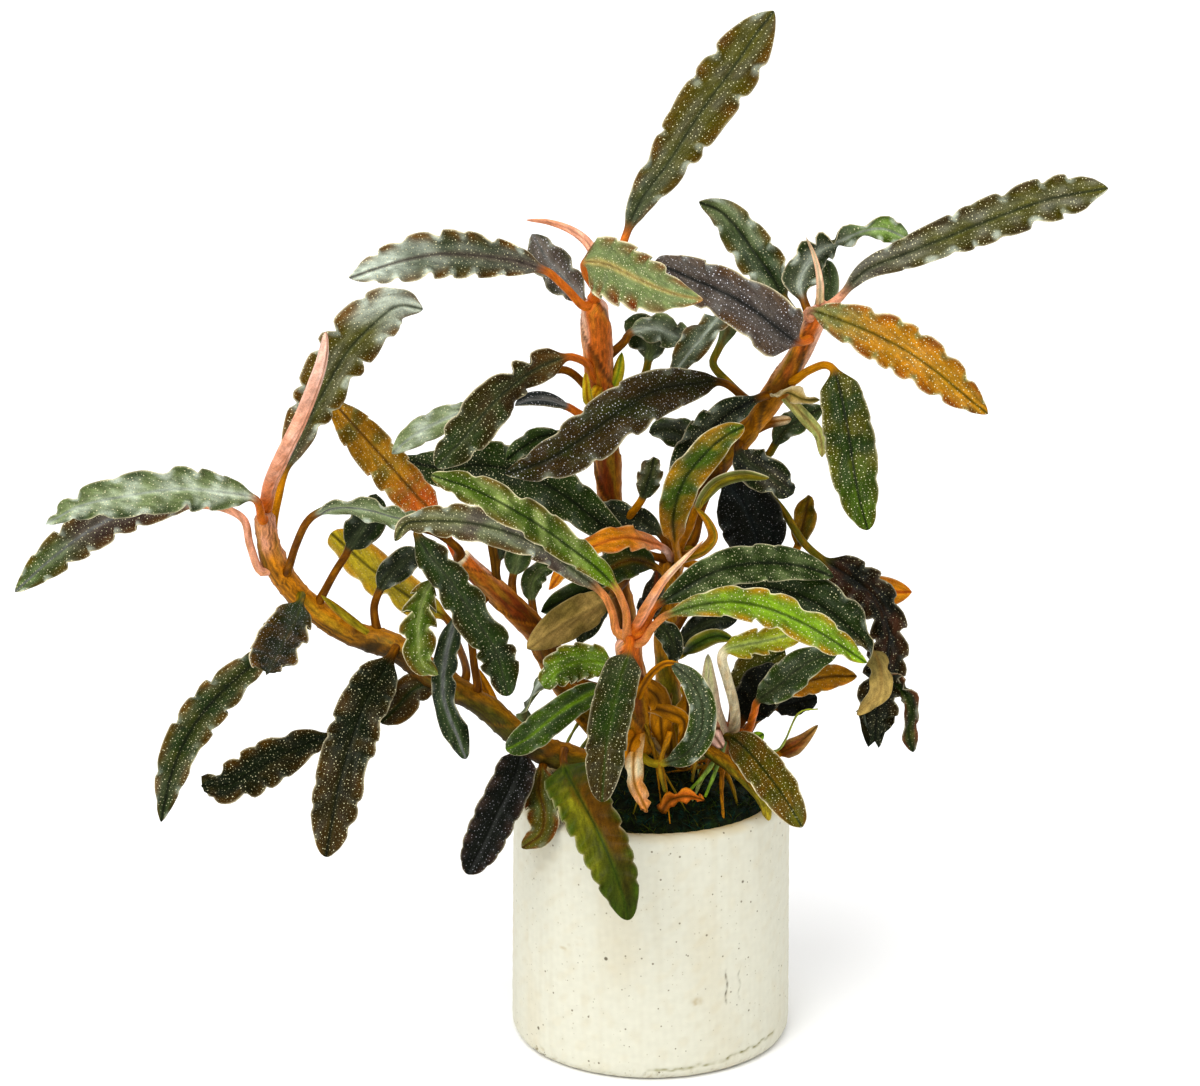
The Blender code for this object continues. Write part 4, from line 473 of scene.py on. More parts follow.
    "right_leaf_5": Leaf("right_stem", ((8, 94.8), (10.6, 104), (14.4, 108.8), (20, 108.6), (26, 103),
        (30.8, 95.8)), ((34.4, 92.6), (40, 89), (45.4, 84.4), (47.8, 78), (47.2, 71.4), (45.6, 64),
        (44.8, 53.4)), (-13, -16.5, -18, -14.5, -7.5, -0.5, 6.5, 11.5, 14), 5.2, Looks("black", "umber",
        "black", tip="pine", patch="chestnut", stalk="reed", dots=0.5, rim=0.4, patches=0.3, torn=1,
        frill=1.38), lobes=7, phase=0.2, notch=0.3, ruffle=1.2, girth=(0.4, 0.75, 0.85, 0.7, 0.75, 0.8,
        0.85, 0.9, 0.85)),
    "right_leaf_6": Leaf("right_stem", ((18.2, 117),), ((17.6, 114.4), (19.6, 111.8), (23.2, 109.6),
        (28.6, 105.6)), (-10.5, -5.5, -2.5, -1), 4, Looks("black", "forest", "slate", patch="umber",
        dots=0.7, sheens=0.3), lobes=3, phase=0.2, girth=(0.3, 1, 0.9, 0.6)),
    # The right shoot.
    "right_leaf_7": Leaf("right_stem", ((35.4, 143),), ((37.6, 144.6), (43, 150.2), (51, 153.6),
        (60, 157.2), (70, 161.2), (80, 164.6), (91.6, 166.8)), (1, -1.5, 0, 4, 9.5, 17), 4.4, Looks("olive",
        "umber", "slate", foot="mauve", patch="mauve", stalk="salmon", dots=1, sheens=0.85, frill=1.2),
        lobes=7, phase=0.3, notch=0.16, peak=0.72),
    "right_leaf_8": Leaf("right_stem", ((31.4, 141.2),), ((31.8, 142.2), (38, 140.4), (44.4, 137.8),
        (51, 134.4), (57.6, 129.8), (62.4, 125.8), (67.6, 121.6)), (2.5, 10.5, 14.5, 19.5, 21.5, 22), 5,
        Looks("ochre", "chestnut", "olive", foot="sage", patch="amber", sheen="sage", stalk="salmon",
        dots=1, crests=0.85, sheens=0.9, rib_width=0.6, rim=1, under="amber", frill=1.16), lobes=7,
        phase=0.2),
    "right_leaf_9": Leaf("right_stem", ((29.6, 141.4),), ((27.2, 144.2), (24.4, 149), (20.8, 154),
        (17.2, 159), (14, 162.2), (9.8, 164)), (-3.5, -13.5, -18, -21.5, -24), 4.2, Looks("forest",
        "bronze", "pine", tip="sage", patch="sage", stalk="reed", sheens=0.7, rib_width=0.9, patches=0.6,
        frill=0.95), phase=0.2, notch=0.16, peak=0.4),
    "right_leaf_10": Leaf("right_stem", ((32, 141.4),), ((30.8, 144.2), (29.8, 147.4), (31.6, 152),
        (34.4, 154.8), (38.4, 156.4), (42.4, 158.2), (46.8, 158.6), (51.6, 156.6)),
        (-1.5, -6, -8.5, -7.5, -6.5, -7), 3.5, Looks("slate", "forest", "silver", tip="grass", patch="pine",
        dots=0.7, sheens=0.9, rib_width=0.4, rim=1), roll=(0, 0, 60, 10, 0), lobes=6, phase=0.2, ruffle=1,
        girth=(0.35, 1, 0.9, 1, 0.5, 0.4, 0.85, 0.7)),
    "right_leaf_11": Leaf("right_stem", ((28.4, 128.2), (31.6, 130.2), (35, 131.4)), ((36.6, 130.6),
        (38.2, 125.4), (39.6, 118.4), (40.8, 110.4), (42, 104), (43.6, 98.4)), (-0.5, 10.5, 17.5, 25.5, 29),
        4.9, Looks("forest", "olive", "pine", tip="leaf_green", patch="olive", stalk="golden", dots=1,
        sheens=0, rib_width=0.5, patches=0.85, frill=1.38), phase=0.2, notch=0.06, ruffle=0.5,
        girth=(0.6, 0.85, 1, 1, 0.85, 0.6)),
    "right_leaf_12": Leaf("right_stem", (), ((23.6, 125.4), (18.4, 123.2), (14, 120.2), (10, 115.6),
        (7, 110.8), (4.2, 105.4)), (-3, 0.5, -5.5, -10, -13), 4, Looks("pine", "forest", "black",
        patch="slate", dots=0.7, sheens=0.3), phase=0.2, notch=0.12),
}

# Small leaves, bracts and stubs are one piece with the stem that they grow on.
SMALL_LEAVES = {
    "left_small_1": small("left_rhizome", ((-65.8, 82.6), (-63, 90), (-60.6, 93.8)), ((-60.4, 94.4),
        (-58.4, 97.4), (-56, 101.6), (-54.8, 105.6)), (1, 2.5, 4, 4), 3.8, Looks("pine", "forest", "slate",
        dots=0.2), lobes=2),
    "left_small_2": small("left_rhizome", ((-55.6, 77), (-55.2, 82.8), (-54.4, 85.6)), ((-54.2, 86),
        (-52.4, 89.2), (-49.2, 92), (-45.4, 94.6)), (-1, -1, -2.5, -2.5), 2.9, Looks("pine", "forest",
        "slate", dots=0.4, sheens=0.3, rim=0.9), lobes=2, notch=0.05),
    "left_bract": small("left_rhizome", (), ((-56, 77.6), (-60.4, 80.8), (-64, 83.8), (-65.8, 85.4)),
        (-1, 4, 7), 0.9, bare("reed", "golden", "yellow", under="golden")),
    "left_small_3": small("left_rhizome", (), ((-43, 69.2), (-47.6, 66.2), (-50.4, 63.2), (-53.8, 59.8)),
        (2.5, 5.5, 7, 8.5), 3.4, Looks("umber", "bronze", "forest", dots=0.5), lobes=2,
        girth=(0.4, 1, 1, 0.8)),
    "left_side_shoot": small("left_rhizome", (), ((-31, 63.4), (-33, 67), (-35.2, 71)), (7, 4, 2.5), 1.2,
        bare("golden", stalk="golden"), girth=(1, 1, 0.8)),
    "middle_small_1": small("top_stem", ((-6.6, 88.6),), ((-8.4, 87), (-12, 86.4), (-17, 84.4),
        (-21.8, 82)), (-18.5, -12, -10.5, -10.5), 2.6, Looks("forest", "leaf_green", "pine", dots=0.1,
        sheens=0.2), lobes=2, notch=0.05),
    "middle_small_2": small("cut_stem", ((-28, 83.6), (-27.6, 87.6)), ((-27.4, 89.2), (-26.4, 93),
        (-25.4, 96.4)), (2.5, -2.5, -4), 2.6, Looks("forest", "leaf_green", "sage", dots=0.2, sheens=0.3)),
    "middle_stalk": small("cut_stem", (), ((-29, 84.8), (-31, 92), (-32, 97)), (4, 4, 5.5), 0.9,
        bare("bronze", under="golden"), girth=(0.8, 1, 1)),
    "top_young_leaf": small("top_stem", (), ((-10.6, 143.6), (-10.6, 149.2), (-11.2, 153.6), (-12.8, 156.2),
        (-15.8, 158.4), (-20.4, 160), (-24.8, 160.4)), (-7, -9, -10.5, -12), 0.9, bare("salmon",
        foot="amber", tip="orange", patch="pink", stalk="orange"), girth=(1, 1.1, 1, 0.7, 0.45)),
    "top_small_1": small("top_stem", ((-11.4, 141.4),), ((-13.2, 143.8), (-16.8, 148.2), (-20.2, 152),
        (-23.6, 157.6)), (-9, -12, -13.5), 3.8, Looks("mauve", "slate", "steel", dot="lilac", dots=1,
        sheens=0.4, rib_width=0.4), lobes=3),
    "top_small_2": small("top_stem", ((-9.6, 120.4), (-14.4, 121.8)), ((-16.4, 123), (-20.4, 124.4),
        (-24, 124.4), (-27, 123.4)), (-13.5, -10.5, -7), 2.2, Looks("navy", "navy", "steel", stalk="orange",
        dot="lilac", sheens=0.2), roll=(50,)),
    "top_small_3": small("top_stem", ((-10, 125), (-17, 130.4), (-25, 127.8), (-30, 124.4)),
        ((-32.8, 123.4), (-38, 121.8), (-43.6, 119.4), (-48, 116.8), (-51.6, 113.6)),
        (-13.5, -9, -5.5, -2.5, -2.5), 2.7, Looks("sage", "sage", "silver", patch="silver", dots=0.8,
        sheens=1, rib_width=0.4, patches=0.6), lobes=4),
    "top_small_4": small("top_stem", ((-9, 116), (-14.4, 116.8)), ((-18, 117.6), (-22, 117), (-25.6, 114.8),
        (-28.8, 112.4)), (-13.5, -9, -4), 2.2, Looks("forest", "leaf_green", "pine", dots=0.6, sheens=0.2),
        lobes=2),
    "top_bract": small("top_stem", (), ((-8.6, 124), (-6.6, 129), (-5.6, 134)), (-12, -10.5, -12), 1.2,
        bare("yellow", "yellow", "grass")),
    "back_small_1": small("top_stem", ((-8.8, 120), (-3.6, 125.4), (-1, 129.6)), ((-0.4, 132), (0, 135.4),
        (-2, 138.4), (-5, 140.2)), (-13.5, -17, -18.5, -17), 3.6, Looks("forest", "slate", "sage",
        stalk="reed", dots=0.5, sheens=0.7, under="sage"), lobes=2),
    "back_small_2": small("top_stem", ((-9.4, 131.6), (-5.2, 136)), ((-4, 137.8), (0.4, 138.8), (5, 137.4),
        (8.8, 135.4)), (-9, -12, -15, -17), 3.2, Looks("slate", "sage", "silver", patch="forest", dots=0.6,
        sheens=1, rib_width=0.4), lobes=3, notch=0.3, ruffle=1),
    "middle_small_3": small("right_stem", ((3.6, 93.4),), ((2.6, 94.8), (-0.2, 96), (-5.6, 96.8),
        (-11.4, 95), (-16.4, 91.4), (-20.2, 86.4)), (-4, 2.5, 8.5, 11, 14, 15.5), 2.8, Looks("amber",
        "orange", "orange", foot="salmon", patch="ochre", stalk="pink", dots=0.2, sheens=0, under="amber"),
        roll=(30, 30, 0), lobes=4, notch=0.12),
    "middle_small_4": small("right_stem", ((3.6, 94),), ((2.4, 97.2), (-1, 99.8), (-6.4, 101.4),
        (-12.4, 102.8)), (-10.5, -12, -12, -10.5), 2.9, Looks("pine", "forest", "slate", dots=0.8,
        sheens=0.3), lobes=3),
    "middle_small_5": small("right_stem", ((5, 92.6), (8, 99)), ((9.4, 102.8), (13.2, 107.8), (18, 109.4),
        (23.8, 108.8)), (-9, 2.5, 5.5, 4), 2.4, Looks("reed", "pear", "yellow", stalk="golden", dots=0,
        sheens=0, rim=0.9, under="tan"), roll=(60,), girth=(0.6, 1, 1, 0.9, 0.5)),
    "middle_curl": small("right_stem", (), ((7.6, 94.8), (10.8, 94.6), (12.6, 97.2), (11.2, 100.6),
        (9.2, 102.8)), (-9, -1, 2.5, 4), 1.2, Looks("golden", "golden", "yellow", stalk="golden", dots=0,
        sheens=0, rim=0.2, under="golden"), roll=(30,), girth=(1, 1, 0.9, 0.6)),
    "right_small_1": small("right_stem", ((19.6, 118), (23.2, 113.2)), ((24.8, 115.2), (26.8, 118.4),
        (30.2, 120.8), (34.8, 123)), (-17, -12, -10.5, -10.5), 2.6, Looks("forest", "leaf_green", "slate",
        stalk="reed", dots=0.4, sheens=0.5), lobes=2),
    "right_cut_stalk": small("right_stem", (), ((18.8, 118), (23.2, 119.6), (28.2, 120.6)), (-15, -12, -9),
        1, bare("brown", "brown", "golden", tip="cream"), girth=(1.2, 1, 1)),
    "right_small_2": small("right_stem", (), ((24.4, 125.4), (27.4, 126), (30.6, 124.6), (34, 124.4)),
        (-7, 1, 2.5, 2.5), 1.7, Looks("tan", "cream", "olive", patch="olive", dots=0, sheens=0,
        under="cream"), roll=(20, 70, 0), lobes=2),
    "right_small_3": small("right_stem", ((9.6, 105), (12.4, 111.6)), ((10.4, 114.4), (7.6, 117),
        (4, 118.4), (-0.2, 118)), (-23, -21.5, -18.5, -17), 3.1, Looks("pine", "leaf_green", "slate",
        dots=0.6, sheens=0.5), lobes=2),
    "right_spike": small("right_stem", (), ((33.6, 142), (33.9, 148.8), (32.8, 153.4), (31.2, 157)),
        (2.5, 5.5, 7), 0.8, bare("salmon", "salmon", "cream", foot="yellow", tip="orange", stalk="salmon"),
        girth=(1, 0.9, 0.6, 0.3)),
    "right_small_4": small("right_stem", (), ((33, 138.4), (36, 147.6), (35.4, 152.4)), (-2.5, -9, -12),
        1.9, Looks("forest", "sage", "slate", dots=0.5, sheens=0.4), girth=(0.3, 1, 0.9)),
    "right_small_5": small("right_stem", ((4.6, 90), (18, 88.6), (30, 87.4)), ((37.6, 86), (43.2, 86.2),
        (48, 86), (52.4, 86)), (-7, -5.5, -5.5, -7), 3.1, Looks("amber", "red_orange", "red_orange",
        patch="yellow", stalk="golden", dots=0.1, sheens=0, under="amber"), peak=0.45),
    "right_small_6": small("right_stem", ((4.6, 91.4), (19, 90), (27, 92)), ((29.4, 94.8), (30.4, 98.8),
        (31.2, 102), (31.8, 105.4)), (-10.5, -13.5, -17, -18.5), 2.4, Looks("olive", "ochre", "bronze",
        patch="ochre", stalk="golden", dots=0.1, sheens=0, under="ochre"), lobes=2),
    "middle_small_6": small("right_stem", ((3.6, 72), (5.6, 73.2)), ((6.8, 73.8), (10, 76), (13.4, 77.2),
        (17, 76.4)), (-5.5, 7, 11, 12.5), 1.7, Looks("leaf_green", "yellow", "forest", stalk="yellow",
        dots=0.1, rim=0.9)),
    "front_small_1": small("front_crown", ((-4, 73), (-8, 67)), ((-20.2, 69.4), (-22.8, 66.2),
        (-24.6, 63.2), (-25.6, 59)), (17, 15.5, 15.5, 17), 2.2, Looks("slate", "sage", "silver", dots=0.1,
        sheens=0.6, under="sage"), roll=(0, 90, 120), lobes=2),
    "right_small_7": small("right_crown", ((16.2, 57.6), (16.8, 64)), ((17, 64.6), (18.8, 67.6), (22, 71),
        (27, 74.4)), (4, 2.5, 1, -1), 4.2, Looks("olive", "bronze", "forest", patch="leaf_green"), lobes=3,
        notch=0.1),
    "right_small_8": small("right_crown", ((16.2, 57), (22.8, 61.6)), ((24.8, 63), (28, 63.6), (30.6, 64.2),
        (33.4, 65)), (1, -7, -9, -9), 2.5, Looks("black", "black", "black", dots=0.1, sheens=0, rim=0.1),
        lobes=2, girth=(0.7, 1, 1, 0.7)),
    "right_bud": small("right_crown", ((15.8, 56), (22, 52.6)), ((26, 53.8), (28.6, 55), (30.6, 56.4),
        (33.6, 59.4)), (2.5, 5.5, 7, 7), 1.5, bare("chestnut", "tan", "bronze", tip="tan", stalk="golden",
        under="tan"), girth=(1, 1.2, 0.7, 0.3)),
    "right_spathe": small("right_crown", (), ((14.6, 55), (12.6, 62), (11.8, 68), (11.6, 73.6)),
        (5, 8, 8.5, 8), 1.7, bare("cream", "pink", "cream", foot="pink", tip="pear", patch="pink",
        stalk="pink"), girth=(1, 1.1, 1, 0.5)),
    "right_small_9": small("right_crown", ((16, 55),), ((18.8, 56), (20.8, 56.6), (22.8, 57.6)),
        (7, 11, 12.5), 1.2, Looks("grass", "grass", "leaf_green", dots=0, sheens=0, rim=0.1, under="grass"),
        peak=0.6),
}

# Dead sheaths, stray bits and half hidden leaves between the stems. They have no node of their own.
STRAY_BITS = {
    "rim_sheath": small("front_crown", (), ((-4.2, 56), (-3.4, 51.4), (-3, 47.4), (-1.6, 44.4),
        (-0.2, 41.6)), (18, 21, 23, 25, 27), (2.2, 1.6), Looks("cream", "golden", "golden", foot="golden",
        tip="peach", patch="golden", dots=0, sheens=0, rim=0.2, patches=0.8, under="cream", torn=1),
        roll=(20, -10, 20), lobes=3, notch=0.3, ruffle=0.7, girth=(0.5, 0.9, 1, 0.9, 0.9)),
    "pink_spathe": small("right_crown", (), ((10.4, 61.6), (12.4, 58.4), (14.6, 54.8)), (9, 12, 13),
        (1.8, 2.2), Looks("salmon", "chestnut", "brown", foot="chestnut", tip="pink", patch="pink", dots=0,
        sheens=0, rim=0.2, under="salmon"), lobes=2, notch=0.1, girth=(0.6, 1, 0.8)),
    "dead_leaf_bit": Leaf("", (), ((2.4, 42.6), (4.4, 44.6), (8, 45.2), (11.4, 44.2)), (18, 19, 19, 18),
        1.6, bare("orange", "amber", "bronze", patch="chestnut", patches=0.6, under="bronze", torn=1),
        roll=(20, 50), lobes=2, notch=0.12, ruffle=0.6, girth=(0.5, 1, 0.9, 0.4)),
    "hanging_sheath": small("right_stem", (), ((33.4, 120), (34, 117), (34.4, 113)), (0, 1, 2), 1.3,
        Looks("pear", "tan", "tan", dots=0, sheens=0, rim=0.2, under="tan"), lobes=2, notch=0.1,
        girth=(0.7, 1, 0.7)),
    "golden_sheath_1": small("front_crown", (), ((0.2, 69.5), (1.4, 65), (2.2, 59.5), (2.6, 54)),
        (12, 14, 14, 12), 2.6, Looks("golden", "brown", "bronze", patch="bronze", dots=0, sheens=0, rim=0.3,
        patches=0.7, under="golden", torn=0.6), roll=(-30, 10), lobes=2, notch=0.15, ruffle=0.6,
        girth=(0.8, 1, 0.9, 0.4)),
    "golden_sheath_2": small("top_stem", (), ((4.6, 49.5), (4.2, 54.5), (3.6, 60.5), (4.4, 66.5)),
        (8, 10, 11, 9), 2.2, Looks("ochre", "bronze", "bronze", patch="olive", dots=0, sheens=0, rim=0.3,
        patches=0.7, under="golden", torn=0.6), roll=(40, 0), lobes=3, ruffle=0.6,
        girth=(0.9, 1, 0.8, 0.3)),
    "golden_sheath_3": small("front_crown", (), ((-5.4, 58), (-4.2, 54), (-2.2, 50.4)), (17, 19, 18), 2.2,
        Looks("amber", "golden", "brown", patch="golden", dots=0, sheens=0, rim=0.3, patches=0.7,
        under="golden"), roll=(20, -30), lobes=2, notch=0.15, ruffle=0.6, girth=(0.7, 1, 0.6)),
    "golden_sheath_4": Leaf("", (), ((6.2, 51), (7, 57), (7.6, 63), (6.4, 69)), (6, 7, 7, 6), 3,
        Looks("golden", "yellow", "umber", foot="umber", patch="umber", dots=0, sheens=0, rim=0.3,
        patches=0.8, under="golden", torn=0.6), roll=(0, 20), lobes=3, ruffle=0.6,
        girth=(0.8, 1, 0.9, 0.3)),
    "arched_stalk": small("front_crown", (), ((-2.8, 61), (-1.8, 66.4), (0.6, 70), (3.4, 71.8),
        (6.4, 71.4)), (15, 18, 20, 21, 21.5), 0.8, bare("golden", "golden", "brown", patch="brown"),
        girth=(1, 1, 0.9, 0.8)),
    "inner_leaf_8": Leaf("right_stem", ((3.6, 72.4),), ((5.4, 74.6), (8.8, 78), (13, 80.2), (17.6, 80.8)),
        (-6, -4, -2, -1, -1), 2.7, Looks("pine", "pine", "slate", patch="black", dots=0.2, sheens=0.2),
        lobes=3, notch=0.1, ruffle=0.5),
    "inner_leaf_1": Leaf("top_stem", ((-6.4, 87.5), (-7.6, 87.4)), ((-8.6, 86.6), (-10.6, 83),
        (-12.4, 79.4), (-14.4, 75.6)), (-16, -13, -8, -5, -4), 2.6, Looks("pine", "forest", "slate",
        patch="forest", stalk="golden", dots=0.4, sheens=0.2), lobes=3, notch=0.1, ruffle=0.5),
    "inner_leaf_2": Leaf("front_crown", ((-2.4, 76.4), (-0.6, 78.4)), ((0.6, 79.4), (3, 78.4), (4.6, 75.4),
        (4.8, 71.6)), (17, 13, 9, 9, 10), 2.3, Looks("pine", "forest", "slate", patch="leaf_green",
        stalk="golden", dots=0.4, sheens=0.2, rim=0.9, patches=0.4), lobes=3, notch=0.1, ruffle=0.5),
    "inner_leaf_3": Leaf("top_stem", ((-5.6, 99.6), (-3, 102.6)), ((-1.6, 104.6), (-0.2, 108.6),
        (0.8, 113)), (-14, -11, -10, -9), 2.5, Looks("forest", "bronze", "slate", patch="olive",
        stalk="golden", dots=0.5, sheens=0.5, rim=0.9), lobes=3, notch=0.15, ruffle=0.6),
    "inner_leaf_4": Leaf("right_stem", ((3.6, 87), (2.6, 88.6)), ((1, 91), (-3.6, 92.4), (-8.4, 90.4),
        (-12.4, 86.6)), (-10, -7, -3, 0, 2, 3), 3.5, Looks("forest", "leaf_green", "bronze", patch="olive",
        stalk="golden", dots=0.3, patches=0.6), lobes=3, notch=0.08, ruffle=0.5),
    "inner_leaf_5": Leaf("top_stem", ((-4.6, 79), (-3.2, 79.6)), ((-2.2, 80.4), (0, 83.4), (1.2, 87.4),
        (1.2, 90.4)), (-16, -9, -3, -1, -1), 2.4, Looks("black", "umber", "chestnut", patch="umber",
        dots=0.2, rim=0.3), lobes=3, notch=0.1, ruffle=0.5),
    "inner_leaf_6": Leaf("cut_stem", ((-22.4, 78), (-23.2, 81.6)), ((-23.6, 84), (-23.8, 87.4), (-22, 90.2),
        (-19.2, 91)), (1, -3, -5, -6, -6), 2.3, Looks("forest", "leaf_green", "sage", patch="leaf_green",
        dots=0.4, sheens=0.3, rim=0.9, patches=0.7), lobes=3, notch=0.12, ruffle=0.6),
    "inner_leaf_7": Leaf("cut_stem", ((-30, 86), (-30.8, 90)), ((-30.6, 92), (-29.8, 96.4), (-28.2, 100.4)),
        (4, -2, -6, -8), 2.4, Looks("pine", "forest", "slate", patch="forest", dots=0.3, sheens=0.2),
        lobes=3, notch=0.1, ruffle=0.5),
    "golden_bract": small("top_stem", (), ((-11.4, 120.5), (-12.4, 124.5), (-12.9, 130)), (0.5, 1, 1.5),
        1.2, bare("yellow", "yellow", "golden", foot="brown", under="golden"), ruffle=0.3,
        girth=(0.8, 1, 0.6)),
    "curled_flap": Leaf("", (), ((45.6, 69), (50, 67), (52.4, 62.4), (51.6, 58.4), (52.6, 54)),
        (9, 10.2, 11.8, 12.6, 13.2), (2.2, 1.8), Looks("pine", "chestnut", "forest", patch="olive",
        dots=0.3, sheens=0.2, rim=0.5, patches=0.6), roll=(0, 40, -30, 20), lobes=3, notch=0.3,
        girth=(0.7, 1, 0.8, 0.8, 1, 0.8)),
    "dry_root_sheath": small("front_crown", (), ((5.2, 66), (6.6, 60.6), (6, 55)), (12, 14, 12), 1.8,
        Looks("golden", "ochre", "bronze", patch="brown", dots=0, sheens=0, rim=0.3, under="golden"),
        lobes=2, ruffle=0.7, girth=(0.4, 1, 0.5)),
}

ROOT = Stem(((11.4, 54.4), (15.6, 51.6), (19, 48.6), (22.4, 44.6), (23.8, 40.4)), (11, 15.5, 20, 23, 23),
    (1.3, 1.4, 1.3, 1.2, 0.9))

# Thin roots and a tendril that the photograph shows: their routes, fronts, radii and colours.
THIN_ROOTS = (
    (((13.6, 55.4), (12.4, 51.4), (8, 46.4)), (9, 13, 16), (0.45, 0.4, 0.3), ("pear", "grass")),
    (((15, 56), (13, 50), (11, 45)), (8, 12, 15), (0.5, 0.4, 0.3), ("sage", "grass")),
    (((20, 55), (25.6, 54.4), (30, 62), (33.6, 62.6)), (4, 8, 8, 7), (0.3, 0.25, 0.2, 0.15),
        ("sage", "lime")),
    (((4, 58), (2, 51), (3, 46)), (14, 17, 18), (0.6, 0.5, 0.35), ("golden", "reed")),
    (((7, 60), (9, 53), (8.4, 48)), (12, 15, 16), (0.6, 0.5, 0.3), ("golden", "olive")),
)

# Stem colours from the medium upwards, and the colour of their streaks and of the scars round them.
STEM_LOOKS = {
    "left_rhizome": (("reed", "umber", "olive", "bronze", "umber", "golden", "amber", "salmon"), "umber"),
    "cut_stem": (("umber", "bronze", "brown", "chestnut", "orange"), "olive"),
    "top_stem": (("olive", "umber", "brown", "bronze", "chestnut", "chestnut", "orange", "orange"), "bronze"),
    "right_stem": (("olive", "reed", "golden", "bronze", "brown", "golden", "brown", "orange"), "bronze"),
    "front_crown": (("golden", "brown", "chestnut", "orange"), "bronze"),
    "right_crown": (("golden", "brown", "orange"), "pink"),
    "roots": (("reed", "olive", "reed", "yellow"), "bronze"),
}


def seen(right, height, front):
    """The point that the viewer sees at (right, height), standing so far in front of the pot's axis."""
    aim = right * RIGHTWARDS + height * UPWARDS
    share = (-front - EYE[1]) / (aim[1] - EYE[1])
    return EYE + share * (aim - EYE)


def place_in_view(points):
    """Where the viewer sees points: right and height on the view's plane."""
    aim = points - EYE
    share = VIEW_DISTANCE / (aim @ FORWARDS)
    return np.stack([share * (aim @ RIGHTWARDS), share * (aim @ UPWARDS)], axis=-1) + VIEW_CENTRE


def spread(values, places):
    """Values given at equal steps, read at places from 0 to 1."""
    return np.interp(places, np.linspace(0, 1, len(values)), values)


def smooth_path(points):
    """A centripetal Catmull-Rom curve through the points, with many small steps."""
    points = np.asarray(points, float)
    ends = np.vstack([2 * points[0] - points[1], points, 2 * points[-1] - points[-2]])
    knots = np.concatenate([[0], np.cumsum(np.linalg.norm(np.diff(ends, axis=0), axis=1) ** 0.5)])
    curve = []
    for i in range(len(ends) - 3):
        a, b, c, d = knots[i : i + 4]
        t = np.linspace(b, c, PATH_STEPS, endpoint=False)[:, None]
        p, q, r, s = ends[i : i + 4]
        pq = ((b - t) * p + (t - a) * q) / (b - a)
        qr = ((c - t) * q + (t - b) * r) / (c - b)
        rs = ((d - t) * r + (t - c) * s) / (d - c)
        pqr = ((c - t) * pq + (t - a) * qr) / (c - a)
        qrs = ((d - t) * qr + (t - b) * rs) / (d - b)
        curve.append(((c - t) * pqr + (t - b) * qrs) / (c - b))
    return np.vstack([*curve, points[-1:]])


def lengths_along(path):
    """The length of the path up to each of its points."""
    return np.concatenate([[0], np.cumsum(np.linalg.norm(np.diff(path, axis=0), axis=1))])


def read_at(path, places):
    """Points at given lengths along a path."""
    along = lengths_along(path)
    return np.stack([np.interp(places, along, path[:, k]) for k in range(3)], axis=1)


def placed_route(route, front):
    """A route across the view as points in the model, spaced as it was written."""
    along = lengths_along(np.asarray(route, float))
    fronts = spread(front, along / along[-1])
    return np.array([seen(*place, how_far) for place, how_far in zip(route, fronts)])


def stem_path(stem):
    """The stem's axis and its radius, at even steps."""
    path = smooth_path(placed_route(stem.route, stem.front))
    length = lengths_along(path)[-1]
    places = np.linspace(0, length, max(4, round(length / STEM_PITCH)))
    return read_at(path, places), spread(stem.radius, places / length)


def unit(vectors):
    """The vectors divided by their lengths."""
    return vectors / np.linalg.norm(vectors, axis=-1, keepdims=True)


def in_fine_steps(values):
    """Values along an axis, with more between each two."""
    share = np.linspace(0, 1, 8).reshape(-1, *[1] * values.ndim)
    return (values[:-1] * (1 - share) + values[1:] * share).reshape(-1, *values.shape[1:])


def root_on(axis, start):
    """The point of a stem's axis that the viewer sees nearest to a leaf's start."""
    fine = in_fine_steps(axis)
    return fine[np.linalg.norm(place_in_view(fine) - place_in_view(start), axis=1).argmin()]


def clear_of_stems(path, reach, stems):
    """How far along the path its root has to start to stay off every stem, looked for within reach."""
    along = lengths_along(path)
    start = 0.0
    for axis, radius in stems.values():
        apart = np.linalg.norm(path[:, None] - in_fine_steps(axis), axis=2)
        gap = (apart - in_fine_steps(radius)).min(axis=1)
        near = (gap < STALK_RADIUS + LEAF_GAP) & (along < reach)
        if near.any():
            start = max(start, along[near].max() + along[-1] * 0.01)
    return start


def breadth(leaf, t):
    """The blade's width along it, as a share of its widest."""
    if leaf.girth:
        return spread(leaf.girth, t) * (1 - t**10) ** 0.5
    rise = 1 - (1 - np.minimum(t / leaf.peak, 1)) ** 2
    fall = 1 - (np.maximum(t - leaf.peak, 0) / (1 - leaf.peak)) ** 2.6
    return np.maximum(rise, 0) ** 0.8 * np.maximum(fall, 0) ** 0.8


def leaf_line(leaf, stems):
    """The leaf's centre line from its root, and how far along it the blade starts."""
    route = placed_route((*leaf.stalk, *leaf.blade), leaf.front)
    if leaf.grows_on:
        axis = stems[leaf.grows_on][0]
        if leaf.fused:
            route[0] = axis[np.linalg.norm(axis - route[0], axis=1).argmin()]
        else:
            route = np.vstack([root_on(axis, route[0]), route])
    path = smooth_path(route)
    along = lengths_along(path)
    foot = along[(len(route) - len(leaf.blade)) * PATH_STEPS]
    if leaf.grows_on and not leaf.fused:
        foot = max(foot, clear_of_stems(path, max(foot, along[-1] * 0.35), stems))
    return path, foot


def ease(low, high, values):
    """0 below low, 1 above high, and a smooth S between them."""
    share = np.clip((values - low) / (high - low), 0, 1)
    return share * share * (3 - 2 * share)


def bump(values, middle, width):
    """A bell: 1 at the middle, falling to 1/e at width away from it."""
    return np.exp(-(((values - middle) / width) ** 2))


